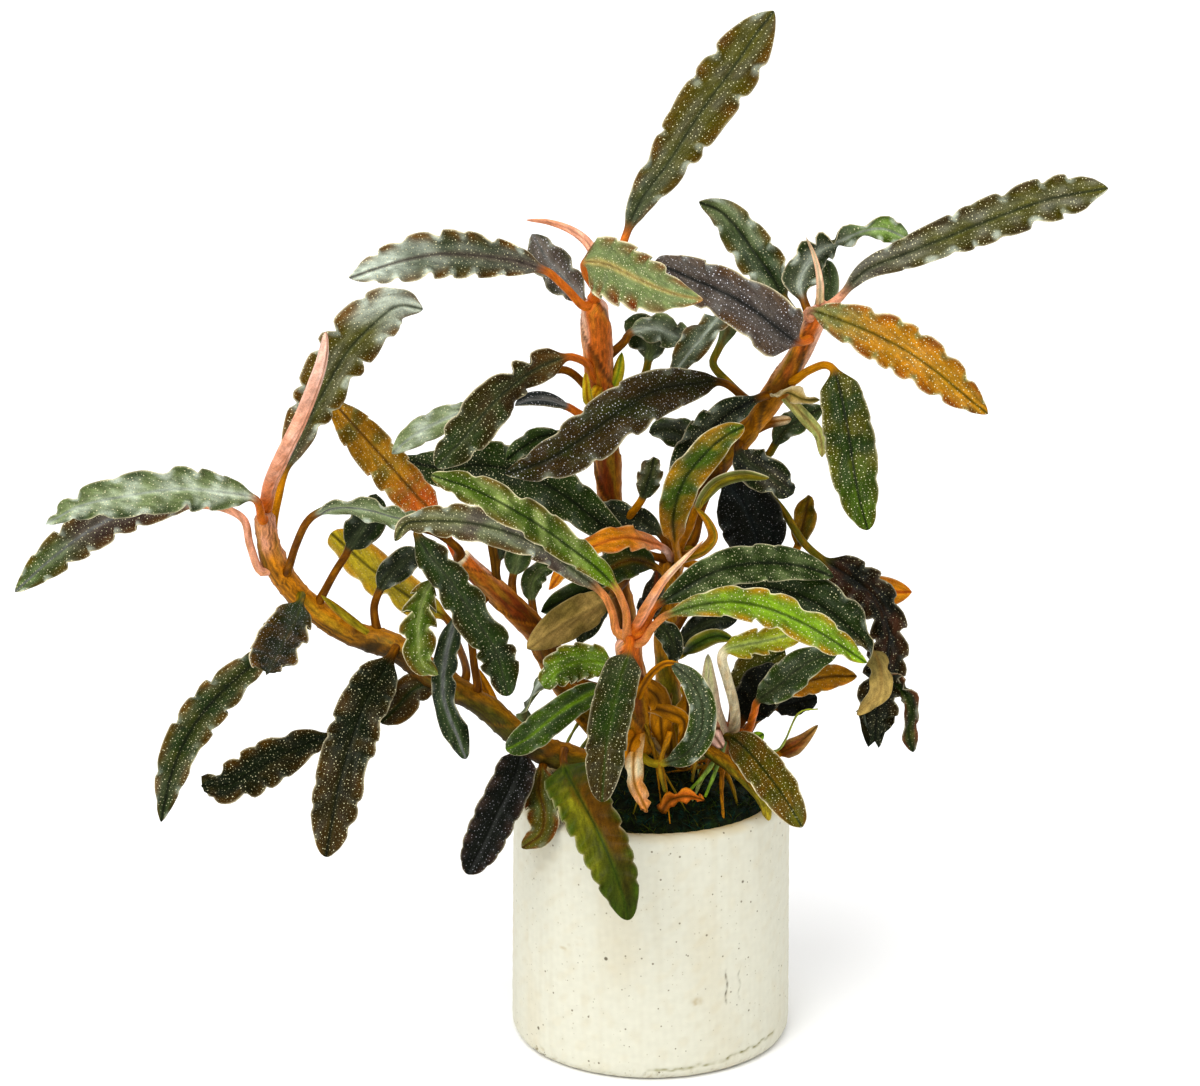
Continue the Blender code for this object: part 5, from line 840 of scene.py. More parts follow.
def clouds(x, y, size, seed, waves=7):
    """Soft irregular clouds from -1 to 1: a mean of sine waves of random directions, about size long."""
    chance = np.random.default_rng(seed)
    total = 0 * (x + y)
    for _ in range(waves):
        turn = chance.uniform(0, FULL_TURN)
        pace = FULL_TURN / size * chance.uniform(0.6, 1.7)
        across = math.cos(turn) * x + math.sin(turn) * y
        total = total + np.sin(pace * across + chance.uniform(0, FULL_TURN))
    return total / waves * 1.6


def facing_frames(path, places):
    """Points at places along a path, with the directions ahead, left and up, where up leans to the viewer."""
    points = read_at(path, places)
    ahead = unit(read_at(path, places + 0.4) - read_at(path, places - 0.4))
    to_eye = unit(EYE - points)
    upper = unit(to_eye - (to_eye * ahead).sum(axis=1, keepdims=True) * ahead)
    return points, ahead, np.cross(upper, ahead), upper


class Blade(NamedTuple):
    """A leaf's surface: vertices in rings, its ends, and for each vertex where on the leaf it is."""

    rings: np.ndarray
    ends: np.ndarray
    t: np.ndarray
    across: np.ndarray
    wide: np.ndarray
    side: np.ndarray
    crest: np.ndarray
    along: np.ndarray


def ruffled_blade(leaf, stems, thickness, ruffle, seed):
    """The leaf's surface as a function of t along it and w across it, from -1 to 1.

    The middle sheet is P(t) + width(t) w L(t) + lift(t, w) U(t). lift is a fold that grows with |w| and a
    wave cos(2 pi (lobes t + phase)) that grows with a power of |w| and slants forwards. Both faces
    lie off that sheet along its normal by thickness (1 - w^10)^0.5, with a groove over the midrib and a
    round rib below it. Towards the stalk each ring turns into a circle of the stalk's radius.
    """
    path, foot = leaf_line(leaf, stems)
    length = lengths_along(path)[-1]
    coarse = leaf.fused or not leaf.grows_on
    blade_rows = max(FEWEST_ROWS, round((length - foot) / (BLADE_STEP * (COARSER if coarse else 1))))
    stalk_rows = round(foot / STALK_STEP) if foot > 0.4 else 0
    t_blade = 1 - (1 - np.linspace(0, 1, blade_rows)) ** CLOSER_TO_TIP
    t_blade[-1] = LAST_ROW
    places = np.linspace(0, foot, stalk_rows, endpoint=False)
    places = np.concatenate([places, foot + t_blade * (length - foot)])
    t = np.concatenate([np.linspace(-1, 0, stalk_rows, endpoint=False), t_blade])
    blade = np.maximum(t, 0)
    points, ahead, left, upper = facing_frames(path, places)
    roll = np.radians(spread(leaf.roll, blade))[:, None]
    left, upper = np.cos(roll) * left + np.sin(roll) * upper, np.cos(roll) * upper - np.sin(roll) * left
    near = (1 - points[:, 1] / EYE[1])[:, None]

    top, bottom = (np.array(half[::2] if coarse else half) for half in (UPPER_ACROSS, LOWER_ACROSS))
    top[-1] = 1.0
    w = np.concatenate([top[::-1], [0], -top, -bottom[::-1], [0], bottom])
    side = np.repeat([1.0, -1.0], [2 * len(top) + 1, 2 * len(bottom) + 1])
    side[np.abs(w) > 0.999] = 0

    halves = leaf.half if isinstance(leaf.half, tuple) else (leaf.half, leaf.half)
    narrow = min(halves)
    rolled = not leaf.lobes and narrow < SPIKE_HALF
    slant = SLANT * max(halves) / (length - foot)
    torn = leaf.looks.torn
    lobes = leaf.lobes * leaf.looks.frill
    waver = np.random.default_rng(seed).uniform(-WAVER, WAVER, 2)
    fade = ease(0.0, LOBES_SET_IN, blade) * np.clip((1 - blade) / LOBES_END, 0, 1)
    uneven = np.clip(0.8 + 0.6 * clouds(places, 0, 13.0, seed + 20), 0.3, 1.35)
    drift = leaf.phase + DRIFT * clouds(places, 0, 16.0, seed + 21)

    def wave(start, right):
        """The lobes' wave from a share of the blade, on its left or right: 1 in hollows, -1 on lobes."""
        turn = lobes * start + np.where(right, SKEW + waver[1], waver[0])
        turn = turn + (drift if start.ndim == 1 else drift[:, None])
        return np.cos(FULL_TURN * (turn + LEAN * np.sin(FULL_TURN * turn)))

    def half_width(right):
        """The width of one half along the leaf, drawn in between the lobes and never under the stalk's."""
        draw = 1.4 * leaf.notch * fade * uneven * (0.5 + 0.5 * wave(blade, right)) ** 1.6
        ragged = torn * 0.8 * spread(leaf.girth or (1,), blade) * (blade > 0.6)
        width = halves[right] * np.maximum(breadth(leaf, blade), ragged) * (1 - draw if leaf.lobes else 1)
        return np.maximum(width, leaf.stalk_radius * (1 - blade))[:, None]

    def wave_at(w):
        """The same wave on the grid, slanting forwards from the midrib to the margin."""
        return wave(blade[:, None] + slant * (1 - np.abs(w)), w < 0)

    def offsets(w):
        """How far the middle sheet goes left and up at each t and w."""
        a = np.abs(w)
        width = np.where(w >= 0, half_width(0), half_width(1))
        lift = FOLD * width * a**FOLD_POWER
        if leaf.lobes:
            lift = lift + ruffle * leaf.ruffle * (fade * uneven)[:, None] * wave_at(w) * a**WAVE_POWER
            crinkle = np.sin(FULL_TURN * (CRINKLES * lobes * blade[:, None] + 5 * waver[0] + w))
            lift = lift + CRINKLE * leaf.ruffle * fade[:, None] * crinkle * a**CRINKLE_POWER
        return w * width, lift * (t[:, None] > 0)

    def placed(sideways, lift):
        """Points so far left and up of the centre line, drawn smaller where they stand nearer the viewer."""
        moved = sideways[..., None] * left[:, None] + lift[..., None] * upper[:, None]
        return points[:, None] + near[:, None] * moved

    a = np.abs(w)
    sideways, lift = offsets(w)
    middle = placed(sideways, lift)
    small_step = 0.01
    by_w = placed(*offsets(w + small_step)) - placed(*offsets(w - small_step))
    normal = np.cross(np.gradient(middle, axis=0), by_w)
    normal = normal / np.maximum(np.linalg.norm(normal, axis=-1, keepdims=True), 1e-9)
    x = np.abs(sideways)
    fatness = np.sqrt(np.maximum(1 - a**10, 0)) + 0 * x
    if rolled:
        half = 0.8 * narrow * breadth(leaf, blade)[:, None]
        body = half * np.sqrt(np.maximum(1 - a**2, 0)) / np.maximum(fatness, 1e-6) * (fatness > 0)
    else:
        taper = 1 - 0.45 * blade[:, None]
        shoulder = SHOULDER_HEIGHT * bump(x, SHOULDER_PLACE, SHOULDER_WIDTH)
        groove = GROOVE_DEPTH * bump(x, 0, GROOVE_WIDTH) - shoulder
        rib_radius = (RIB_AT_FOOT * (1 - blade) + RIB_AT_TIP)[:, None]
        rib = np.sqrt(np.maximum(rib_radius**2 - x**2, 0)) * 0.75
        body = thickness * taper + np.where(side > 0, -groove * taper, rib)
    skin = middle + (side * body * fatness * near)[..., None] * normal

    radius = leaf.stalk_radius * (1 + (0 if rolled else FLARE) * np.exp(-places / FLARE_LENGTH))[:, None]
    stalk = placed(w * radius, side * radius * np.sqrt(np.maximum(1 - a**2, 0)))
    turned = ease(0.0, min(0.14, 5 / (length - foot)), t)[:, None, None]
    if rolled and not leaf.stalk:
        turned = 1
    tear = torn * narrow * (0.45 + 0.55 * clouds(5 * w, 0, 4.0, seed + 30) + 0.5 * a)
    tear = tear * ease(0.8, 1, t)[:, None]
    rings = stalk * (1 - turned) + skin * turned - tear[..., None] * ahead[:, None]
    tip = read_at(path, np.array([length - torn * narrow * 0.5]))[0]
    grid = np.ones(sideways.shape)
    crest = 0.5 - 0.5 * wave_at(w) * (leaf.lobes > 0)
    return Blade(rings, np.stack([points[0], tip]), t[:, None] * grid, w * grid, sideways, side * grid,
                 crest * grid, places[:, None] * grid)


def mixed(under, over, share):
    """Colours under blended towards over by share, with share on the grid."""
    return under * (1 - share[..., None]) + np.asarray(over) * share[..., None]


def layered(tint, colours, *layers):
    """The tint under layers, each a colour or its name and its share on the grid. No name is no layer."""
    for over, share in layers:
        if len(over):
            tint = mixed(tint, colours[over] if isinstance(over, str) else over, share)
    return tint


def blade_tint(looks, blade, colours, seed):
    """The colour of each vertex: patches over the body, crests, pale hollows, the midrib, ends and rim."""
    t = np.maximum(blade.t, 0)
    a = np.abs(blade.across)
    x = np.abs(blade.wide)
    body = np.broadcast_to(colours[looks.body], (*t.shape, 3))
    soft, fine, hollows = (clouds(blade.along, blade.wide, size, seed + step)
                           for step, size in enumerate((9.0, 3.2, 4.0)))
    end = ease(looks.tip_from, 0.9 + 0.1 * looks.tip_from, t + 0.12 * soft) * 0.9
    lobes = blade.crest**0.8 * ease(0.4, 0.9, a) * (0.85 + 0.45 * soft)
    # Painted sheen: a paler colour in the hollows between the lobes, where light glances off.
    hollow_sheen = (1 - blade.crest) ** 1.3 * ease(0.3, 0.95, a) * (0.75 + 0.6 * hollows)
    # Painted sheen: a paler streak on each side of the midrib.
    flank_sheen = bump(x, 1.9 * looks.rib_width, 0.8) * (0.5 + 0.4 * soft)
    band = bump(x, 0, np.maximum(looks.rib_width * (1.15 - 0.75 * t), 0.2))
    tint = layered(
        body, colours,
        (looks.other, ease(-0.2, 0.35, 0.2 * soft - blade.across) * 0.6),
        (looks.patch, ease(-0.35, 0.75, soft + 0.35 * fine) * looks.patches),
        (looks.tip, end),
        (looks.foot, (1 - ease(0.04, 0.42, t + 0.08 * fine)) * 0.9),
        (looks.crest, np.clip(lobes, 0, 1) * looks.crests),
        # The two sheen layers are painted sheen, in the hollows and beside the midrib.
        (looks.sheen, ease(0.25, 0.85, hollow_sheen) * looks.sheens * 0.85 * ease(0.03, 0.2, t)),
        (looks.sheen, np.clip(flank_sheen, 0, 1) * looks.sheens * 0.3),
        (looks.rib, band * 0.8),
    )
    # Painted shade darkens a thin line in the crease over the midrib, and a painted highlight lightens a line
    # on each side of it.
    tint = tint * (1 - 0.35 * bump(x, 0, 0.2) + 0.35 * bump(x, 0.5, 0.22))[..., None]
    # A pale line painted along the margin as edge light.
    tint = mixed(tint, colours["cream"], ease(0.93, 0.98, a) * ease(0.02, 0.1, t) * 0.9 * looks.rim)
    if looks.dots or looks.sheens:
        dull = layered(body, colours, (looks.under, 0.55 + 0.15 * soft), ("brown", bump(x, 0, 0.5) * 0.4))
    else:
        dull = mixed(tint, colours[looks.under], 0.35 + 0 * soft)
    dull = layered(dull, colours, (looks.tip, end * 0.8))
    golden = 0.35 * ease(-0.3, 0.9, clouds(blade.along, 3 * blade.across, 5.0, seed + 3))
    stalk = mixed(np.broadcast_to(colours[looks.stalk], tint.shape), colours["golden"], golden)
    tint = layered(tint, colours, (dull, 1 - ease(-0.6, 0.2, blade.side)),
                   (stalk, 1 - ease(-0.02, 0.075, blade.t)))
    slanting = (blade.along - 0.8 * x) / 2.1 + 0.2 * soft
    veins = bump(slanting % 1.0, 0.5, 0.13) * ease(0.08, 0.2, a) * (1 - ease(0.6, 0.95, a))
    depth = 1 + 0.16 * fine + 0.12 * clouds(blade.along, 2.5 * blade.wide, 1.6, seed + 4) - 0.07 * veins
    dots = looks.dots * ease(0.02, 0.09, blade.t) * ease(-0.4, 0.3, blade.side) * (1 - 0.75 * band)
    return tint * LEAF_DEPTH * depth[..., None], np.clip(dots * (0.85 + 0.3 * soft), 0, 1)


def ring_faces(rows, columns):
    """Quads between rings of points, closed round each ring, then fans to a root point and a tip point."""
    ring = np.arange(columns)
    following = (ring + 1) % columns
    start = (np.arange(rows - 1) * columns)[:, None]
    corners = (start + ring, start + following, start + columns + following, start + columns + ring)
    root = np.full(columns, rows * columns)
    last = (rows - 1) * columns
    fans = [np.stack([root, following, ring], axis=-1),
            np.stack([last + ring, last + following, root + 1], axis=-1)]
    return np.stack(corners, axis=-1).reshape(-1, 4), np.vstack(fans)


def turned_out(vertices, quads, triangles):
    """The faces, reversed if the volume that they close comes out negative."""
    corners = np.vstack([quads[:, :3], quads[:, [0, 2, 3]], triangles])
    a, b, c = (vertices[corners[:, k]] for k in range(3))
    if (np.cross(a, b) * c).sum() < 0:
        return quads[:, ::-1], triangles[:, ::-1]
    return quads, triangles


def with_ends(grid):
    """Values on the rings as a list, with one more for the root point and one for the tip."""
    flat = grid.reshape(-1, grid.shape[-1])
    return np.vstack([flat, flat[:1], flat[-1:]])


class Skin:
    """Points, faces and their attributes, gathered from several shells into one mesh."""

    def __init__(self):
        self.parts = []
        self.count = 0

    def add(self, vertices, quads, triangles, *values):
        """Adds points and faces, with the tint, marks and grain of each point."""
        self.parts.append((vertices, quads + self.count, triangles + self.count, *values))
        self.count += len(vertices)

    def add_rings(self, rings, ends, tint, marks, *grain):
        """Adds a closed shell. marks are dots, lilac ones and dullness, grain is along, across and seed."""
        rows, columns = rings.shape[:2]
        vertices = np.vstack([rings.reshape(-1, 3), ends])
        faces = turned_out(vertices, *ring_faces(rows, columns))
        values = [np.clip(tint, 0.002, 1)]
        values += [np.stack([part + 0 * grain[0] for part in parts], axis=-1) for parts in (marks, grain)]
        self.add(vertices, *faces, *map(with_ends, values))

    def make(self, name, material, slot, *nodes):
        """The mesh as a smooth piece that rides on the body and stands for the CAD nodes."""
        vertices, quads, triangles, tint, marks, grain = map(np.vstack, zip(*self.parts))
        corners = np.concatenate([quads.ravel(), triangles.ravel()])
        sizes = np.repeat([4, 3], [len(quads), len(triangles)])
        mesh = bpy.data.meshes.new(name)
        mesh.vertices.add(self.count)
        mesh.vertices.foreach_set("co", (vertices * MM).astype(np.float32).ravel())
        mesh.loops.add(len(corners))
        mesh.loops.foreach_set("vertex_index", corners.astype(np.int32))
        mesh.polygons.add(len(sizes))
        mesh.polygons.foreach_set("loop_start", (np.cumsum(sizes) - sizes).astype(np.int32))
        mesh.update(calc_edges=True)
        mesh.validate()
        tint = np.hstack([tint, np.ones((len(tint), 1))])
        layers = (("tint", "color", tint), ("marks", "vector", marks), ("grain", "vector", grain))
        for title, key, values in layers:
            layer = mesh.attributes.new(title, "FLOAT_" + key.upper(), "POINT")
            layer.data.foreach_set(key, values.astype(np.float32).ravel())
        mesh.polygons.foreach_set("use_smooth", np.ones(len(sizes), bool))
        mesh.materials.append(material)
        obj = bpy.data.objects.new(name, mesh)
        bpy.context.scene.collection.objects.link(obj)
        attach(obj, BODY)
        if nodes:
            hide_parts(*nodes)


def seed_of(name):
    """A steady number for a name, so that each leaf has clouds of its own."""
    return sum((i + 1) * ord(letter) for i, letter in enumerate(name)) % 9973


def add_blade(skin, name, leaf, stems, colours, props):
    """Adds one leaf's closed surface with its colours to a skin."""
    seed = seed_of(name)
    blade = ruffled_blade(leaf, stems, props.thickness / MM / 2, props.ruffle, seed)
    tint, dots = blade_tint(leaf.looks, blade, colours, seed)
    matt = np.maximum(1 - ease(-0.6, 0.2, blade.side), leaf.looks.matt)
    skin.add_rings(blade.rings, blade.ends, tint, (dots, leaf.looks.dot == "lilac", matt),
                   blade.along + 37.0 * (seed % 97), blade.wide + 60.0 * (blade.side < 0), seed)


def tube(path, radius, columns, step):
    """A tube round a path: the ring at s is P(s) + radius(s, turn) (cos turn L(s) + sin turn U(s)).

    radius is a function of the lengths along the path, the turns round it and the path's own length.
    What comes back is the rings, both end points, that length, and for each vertex how far along it is,
    its turn and its radius.
    """
    length = lengths_along(path)[-1]
    places = np.linspace(0, length, max(4, round(length / step) + 1))
    points, _, left, upper = facing_frames(path, places)
    along, around = np.meshgrid(places, np.linspace(0, FULL_TURN, columns, endpoint=False), indexing="ij")
    size = radius(along, around, length)
    sideways = (np.cos(around) * size)[..., None] * left[:, None]
    rings = points[:, None] + sideways + (np.sin(around) * size)[..., None] * upper[:, None]
    return rings, points[[0, -1]], length, along, around, size


def steps_of(colours, names, share):
    """Colours named at equal steps, blended at places from 0 to 1."""
    values = np.array([colours[name] for name in names])
    return np.stack([spread(values[:, k], share) for k in range(3)], axis=-1)


class Bark(NamedTuple):
    """How a stem is marked.

    pitch and ledge are the pitch and height of the ledges, and scar the height of the rings between them.
    The others are how strongly streaks and the dark and pale sides of each ledge show.
    """

    pitch: float
    ledge: float
    scar: float
    streaks: float
    dark_side: float
    pale_side: float


CREEPING = Bark(9.0, 0.05, 0.07, 0.75, 0.3, 0.2)
UPRIGHT = Bark(15.0, 0.16, 0.02, 0.55, 0.75, 0.5)


def add_bark(skin, name, stem, colours, columns=40):
    """Adds a stem: a tube with the ledges of old leaf bases winding round it, scars, streaks and wrinkles.

    Its radius is the stem's own, times 1 + ledge, where ledge grows over one turn of a spiral and drops
    back, plus narrow rings, plus clouds drawn out along the stem.
    """
    seed = seed_of(name)
    names, streak = STEM_LOOKS[name]
    creeping = name in ("left_rhizome", "roots")
    cut = name == "cut_stem"
    bark = CREEPING if creeping else UPRIGHT

    def spiral_at(along, around):
        """0 to 1 between the edges of the old leaf bases, which wind steeply up the stem."""
        return (along / bark.pitch + 2 * around / FULL_TURN + 0.06 * np.sin(3 * around + 0.9 * along)) % 1.0

    def radius(along, around, length):
        """The stem's own radius with its ledges, scars, streaks and lumps, drawn in at the end."""
        base = spread(stem.radius, along / length)
        spiral = spiral_at(along, around)
        ledge = bark.ledge * spiral**2 * ease(0, 0.08, 1 - spiral)
        ring = (along / 3.1 + 0.15 * np.sin(around + seed) + 0.2 * np.sin(0.6 * along)) % 1.0
        scar = bark.scar * bump(ring, 0.5, 0.1)
        streaks = 0.02 * clouds(0.3 * along, base * around * 2.0, 2.2, seed)
        lumps = 0.04 * clouds(along, base * np.cos(around) * 2, 5.5, seed + 3)
        end = 1 if cut else np.sqrt(np.clip((length - along) / 1.6, 0, 1) * 0.9 + 0.1)
        return base * (0.95 + ledge + scar + streaks + lumps) * end

    path = smooth_path(placed_route(stem.route, stem.front))
    rings, ends, length, along, around, size = tube(path, radius, columns, BARK_STEP)
    wide = size * around
    spiral = spiral_at(along, around)
    fibre = clouds(0.16 * along, wide * 2.2, 2.2, seed + 7)
    heights = rings[..., 2]
    rise = (heights - heights.mean(axis=1, keepdims=True)) / size
    # Painted light: a creeping stem is lighter on its upper side, and an upright one takes a golden edge
    # light on the two sides seen edge-on; lit_tint is the colour of that light.
    if creeping:
        lit = ease(0.2, 0.9, rise + 0.3 * fibre)
    else:
        lit = ease(0.55, 0.95, np.abs(np.cos(around)) + 0.25 * clouds(0.2 * along, wide, 4.0, seed + 12))
    lit_tint = steps_of(colours, ("golden", "golden", "amber", "pink"), (along / length) ** 1.6)
    tint = layered(
        steps_of(colours, names, along / length + 0.05 * clouds(along, wide, 6, seed + 5)), colours,
        (streak, ease(0.0, 0.9, fibre) * bark.streaks),
        ("yellow", ease(0.1, 0.9, clouds(0.14 * along, wide, 3.5, seed + 8)) * 0.35),
        (lit_tint, 0.7 * lit),
        ("umber", ease(0.88, 0.98, spiral) * bark.dark_side),
        ("amber", ease(0.72, 0.86, spiral) * (1 - ease(0.86, 0.9, spiral)) * bark.pale_side),
        # Painted shade darkens the underside of a creeping stem.
        ("umber", ease(-0.2, 0.7, 0.3 * fibre - rise) * creeping * 0.6),
    )
    tint = tint * BARK_DEPTH * (1 + 0.14 * clouds(0.6 * along, wide * 2, 1.8, seed + 9))[..., None]
    if cut:
        tint = mixed(tint, colours["cream"], ease(length - 1.0, length - 0.2, along) * 0.9)
    skin.add_rings(rings, ends, tint, (0, 0, 0), along + 13.0 * (seed % 31), wide, seed)


def add_wire(skin, route, radii, colour_names, colours, seed):
    """Adds a thin round root or strand along points in the model, tapering between its radii."""

    def radius(along, around, length):
        """The given radii, a little lumpy."""
        lumps = 1 + 0.12 * np.sin(along * 2.1 + seed) + 0.1 * np.sin(2 * around + along)
        return spread(radii, along / length) * lumps

    rings, ends, length, along, around, size = tube(smooth_path(route), radius, 7, 0.8)
    tint = steps_of(colours, colour_names, along / length)
    tint = tint * (1 + 0.2 * np.sin(1.7 * along + 2 * around + seed))[..., None]
    skin.add_rings(rings, ends, tint, (0, 0, 0), along + seed, size * around, seed)


# The chipped foot, the hairline crack that rises from it, and the short split on the pot's front: angles
# from the right in degrees, seen from above, and heights in millimetres.
CHIP_ANGLE = -143.0
CHIP_SPREAD = 9.0
CRACK_ANGLES = (-92, -80, -70, -62, -52, -43, -34, -28)
CRACK_HEIGHTS = (2.4, 2.2, 2.7, 2.5, 3.4, 3.5, 3.9, 4.1)
SPLIT_ANGLE = -58.5
SPLIT_HEIGHTS = (14.4, 21.2)
SPOT_ANGLE = -72
SPOT_SPREAD = 2.128
SPOT_HEIGHT = 16.0
SCRAPE_ANGLE = -128
SCRAPE_SPREAD = 6.25
SCRAPE_SLOPE = 0.25
SCRAPE_HEIGHT = 25.5
MM_PER_DEGREE = math.radians(27)

# The radii between which the pot's outer wall begins, and how finely the moss bed is divided.
OUTER_WALL = (22, 25)
MEDIUM_RINGS = 44
MEDIUM_TURNS = 150
STRAND_RINGS = 6
STRAND_COLOURS = ("forest", "pine", "teal", "pine", "forest", "leaf_green", "teal", "olive")


def pot_profile(props):
    """The pot's outline from the middle of its floor, over the rim and down to the middle of its foot."""
    height, foot, rim = (size / MM for size in (props.height, props.foot_radius, props.rim_radius))
    inner = rim - POT_WALL
    soft = POT_WALL / 2 - 0.2
    corner = 1.5
    edge = 2.4

    def line(start, end, count):
        """Points from start up to end, without end."""
        return np.linspace(start, end, count, endpoint=False)

    def arc(centre, radius, first, last, count):
        """Points round a centre from one angle to another, in degrees."""
        angles = np.radians(np.linspace(first, last, count))
        return centre + radius * np.stack([np.cos(angles), np.sin(angles)], axis=1)

    return np.vstack([
        line((0.4, POT_FLOOR), (inner - corner, POT_FLOOR), 8),
        line((inner - corner, POT_FLOOR), (inner, POT_FLOOR + corner), 3),
        line((inner, POT_FLOOR + corner), (inner, height - soft), 22),
        arc((inner + soft, height - soft), soft, 180, 90, 9),
        arc((rim - soft, height - soft), soft, 90, 0, 9),
        line((rim, height - soft - 0.4), (foot, edge + 3), 88),
        line((foot, edge + 3), (foot, edge + 0.2), 8),
        arc((foot - edge, edge), edge, 0, -90, 14),
        line((foot - edge - 0.4, 0), (0.4, 0), 14),
    ])


def between(low, high, soft_start, soft_end, values):
    """1 between low and high, fading softly out of them: (before, after) at the start and at the end."""
    start = ease(low - soft_start[0], low + soft_start[1], values)
    return start * (1 - ease(high - soft_end[0], high + soft_end[1], values))


def add_pot_shell(skin, props, colours):
    """Adds the pot: its profile turned round the axis, uneven as a hand-made one, chipped and cracked.

    The radius is profile(v) + slow waves of the angle + clouds; the rim's height wavers by a tenth of a
    millimetre; chips push the foot's edge in, and cracks cut narrow valleys along lines of angle and height.
    """
    profile = pot_profile(props)
    turns = np.radians(np.concatenate([np.linspace(-150, -20, 300, endpoint=False),
                                       np.linspace(-20, 210, 150, endpoint=False)]))
    radius, angle = np.meshgrid(profile[:, 0], turns, indexing="ij")
    height = profile[:, 1:] + 0 * turns
    degrees = np.degrees(angle)
    outside = ease(*OUTER_WALL, radius)
    arc = radius * angle
    wobble = 0.10 * np.sin(2 * angle + 0.7) + 0.06 * np.sin(3 * angle + 2.1) + 0.03 * np.sin(7 * angle)
    rough = 0.05 * clouds(arc, height * 1.3, 5.0, 11) + 0.025 * clouds(arc, height, 1.6, 12)
    turning = 0.025 * np.sin(height * 2.3 + 0.6 * np.sin(angle))
    radius = radius + outside * (wobble + rough + turning)
    uneven_rim = 0.05 * clouds(arc, 0 * height, 2.5, 13) * ease(46, 49, height)
    height = height + 0.12 * np.sin(angle * 2 + 1) * ease(40, 49, height) + uneven_rim

    def stains(size, seed):
        """Clouds on the pot's wall, about size millimetres across."""
        return clouds(arc, height, size, seed)

    low = 1 - ease(0.2, 3.4, height)
    chips = ease(0.0, 0.8, stains(2.4, 14)) * bump(degrees, CHIP_ANGLE, CHIP_SPREAD) * low
    chips = chips + 0.35 * ease(0.35, 0.9, stains(1.8, 15)) * low * outside
    crack_height = np.interp(degrees, CRACK_ANGLES, CRACK_HEIGHTS) + 0.25 * clouds(arc, 0 * height, 3.0, 16)
    crack = bump(height, crack_height, 0.24) * outside
    crack = crack * between(CRACK_ANGLES[0], CRACK_ANGLES[-1], (2, 3), (3, 2), degrees)
    split_line = (degrees - SPLIT_ANGLE) * MM_PER_DEGREE + 0.2 * np.sin(height * 1.3)
    beside = (degrees - SPLIT_ANGLE - 6.4) * MM_PER_DEGREE + 0.3 * np.sin(height * 1.7)
    split = bump(split_line, 0, 0.18) + 0.45 * bump(beside, 0, 0.16)
    split = split * between(*SPLIT_HEIGHTS, (0.6, 1), (1, 0.6), height) * outside
    split = split * (0.6 + 0.4 * np.sin(height * 3.6 + 0.02 * degrees))
    radius = radius - 0.9 * chips * outside - 0.22 * crack - 0.3 * split
    rings = np.stack([radius * np.cos(angle), radius * np.sin(angle), np.maximum(height, 0)], axis=-1)

    stain = np.array(props.stain)
    tan = colours["tan"]
    blotches = ease(0.0, 1.0, clouds(arc, height * 0.4, 16, 21)) * 0.3 + ease(0.1, 0.9, stains(5, 22)) * 0.2
    drips = ease(0.1, 0.9, clouds(arc, height * 0.06, 3.2, 26)) * 0.12
    spot = bump(degrees, SPOT_ANGLE, SPOT_SPREAD) * bump(height, SPOT_HEIGHT, 0.7)
    spot = spot * (0.8 + 0.7 * stains(1.2, 27))
    beyond = degrees - SCRAPE_ANGLE
    scrape = bump(beyond, 0, SCRAPE_SPREAD) * bump(height - SCRAPE_SLOPE * beyond, SCRAPE_HEIGHT, 0.9)
    scrape = scrape * ease(0.1, 0.8, clouds(0.5 * arc, 2 * height, 1.6, 28))
    tint = layered(
        np.broadcast_to(np.array(props.clay), rings.shape), colours,
        (stain * 0.86, drips * outside),
        (stain, np.clip(blotches, 0, 1) * outside),
        (tan * 0.7, np.clip(spot + 0.75 * scrape, 0, 1) * 0.7 * outside),
        (tan * 0.8, (1 - ease(24.0, 26.4, radius)) * (0.75 + 0.3 * stains(4.0, 29))),
        (tan, ease(47.6, 49.2, height) * 0.4 * (0.6 + 0.6 * stains(7, 23))),
        ("reed", np.clip(crack * 0.9 * (0.6 + 0.6 * stains(2.0, 24)), 0, 1)),
        ("umber", np.clip(split * 0.95, 0, 1)),
        (tan * 0.7, np.clip(chips, 0, 1) * 0.65 * outside),
    )
    tint = tint * (1 + 0.03 * stains(2.2, 25))[..., None]
    skin.add_rings(rings, [(0, 0, POT_FLOOR), (0, 0, 0)], tint, (outside, 0, 0), arc, height, 0)


def medium_top(x, y):
    """The moss bed's height: a dome over the pot's fill, plus clouds."""
    share = np.minimum(np.hypot(x, y) / MEDIUM_REACH, 1)
    dome = MEDIUM_EDGE_HEIGHT + MEDIUM_DOME * np.cos(math.pi / 2 * share)
    return dome + 0.55 * clouds(x, y, 5.0, 31) + 0.3 * clouds(x, y, 2.0, 32) - 0.2


def add_medium_shell(skin, colours):
    """Adds the fill: a disc of medium_top heights on rings of growing radius, closed down into the pot."""
    reach = MEDIUM_REACH - 0.15
    bottom = POT_FLOOR + FIT_GAP
    radii = np.concatenate([np.linspace(0.3, reach, MEDIUM_RINGS), [reach, reach, reach, reach - 2]])
    turns = np.linspace(0, FULL_TURN, MEDIUM_TURNS, endpoint=False)
    radius, angle = np.meshgrid(radii, turns, indexing="ij")
    x, y = radius * np.cos(angle), radius * np.sin(angle)
    height = medium_top(x, y)
    height[-4:] = np.array([40.0, 20.0, POT_FLOOR + 2.4, bottom])[:, None]
    tint = layered(
        np.broadcast_to(colours["pine"] * 0.7, (*x.shape, 3)), colours,
        ("forest", ease(0.0, 0.9, clouds(x, y, 3.0, 33)) * 0.7),
        ("teal", ease(0.2, 0.9, clouds(x, y, 4.0, 34)) * 0.6),
    )
    ends = [(0, 0, float(medium_top(0.0, 0.0))), (0, 0, bottom)]
    skin.add_rings(np.stack([x, y, height], axis=-1), ends, tint, (0, 0, 0), x, y, height)


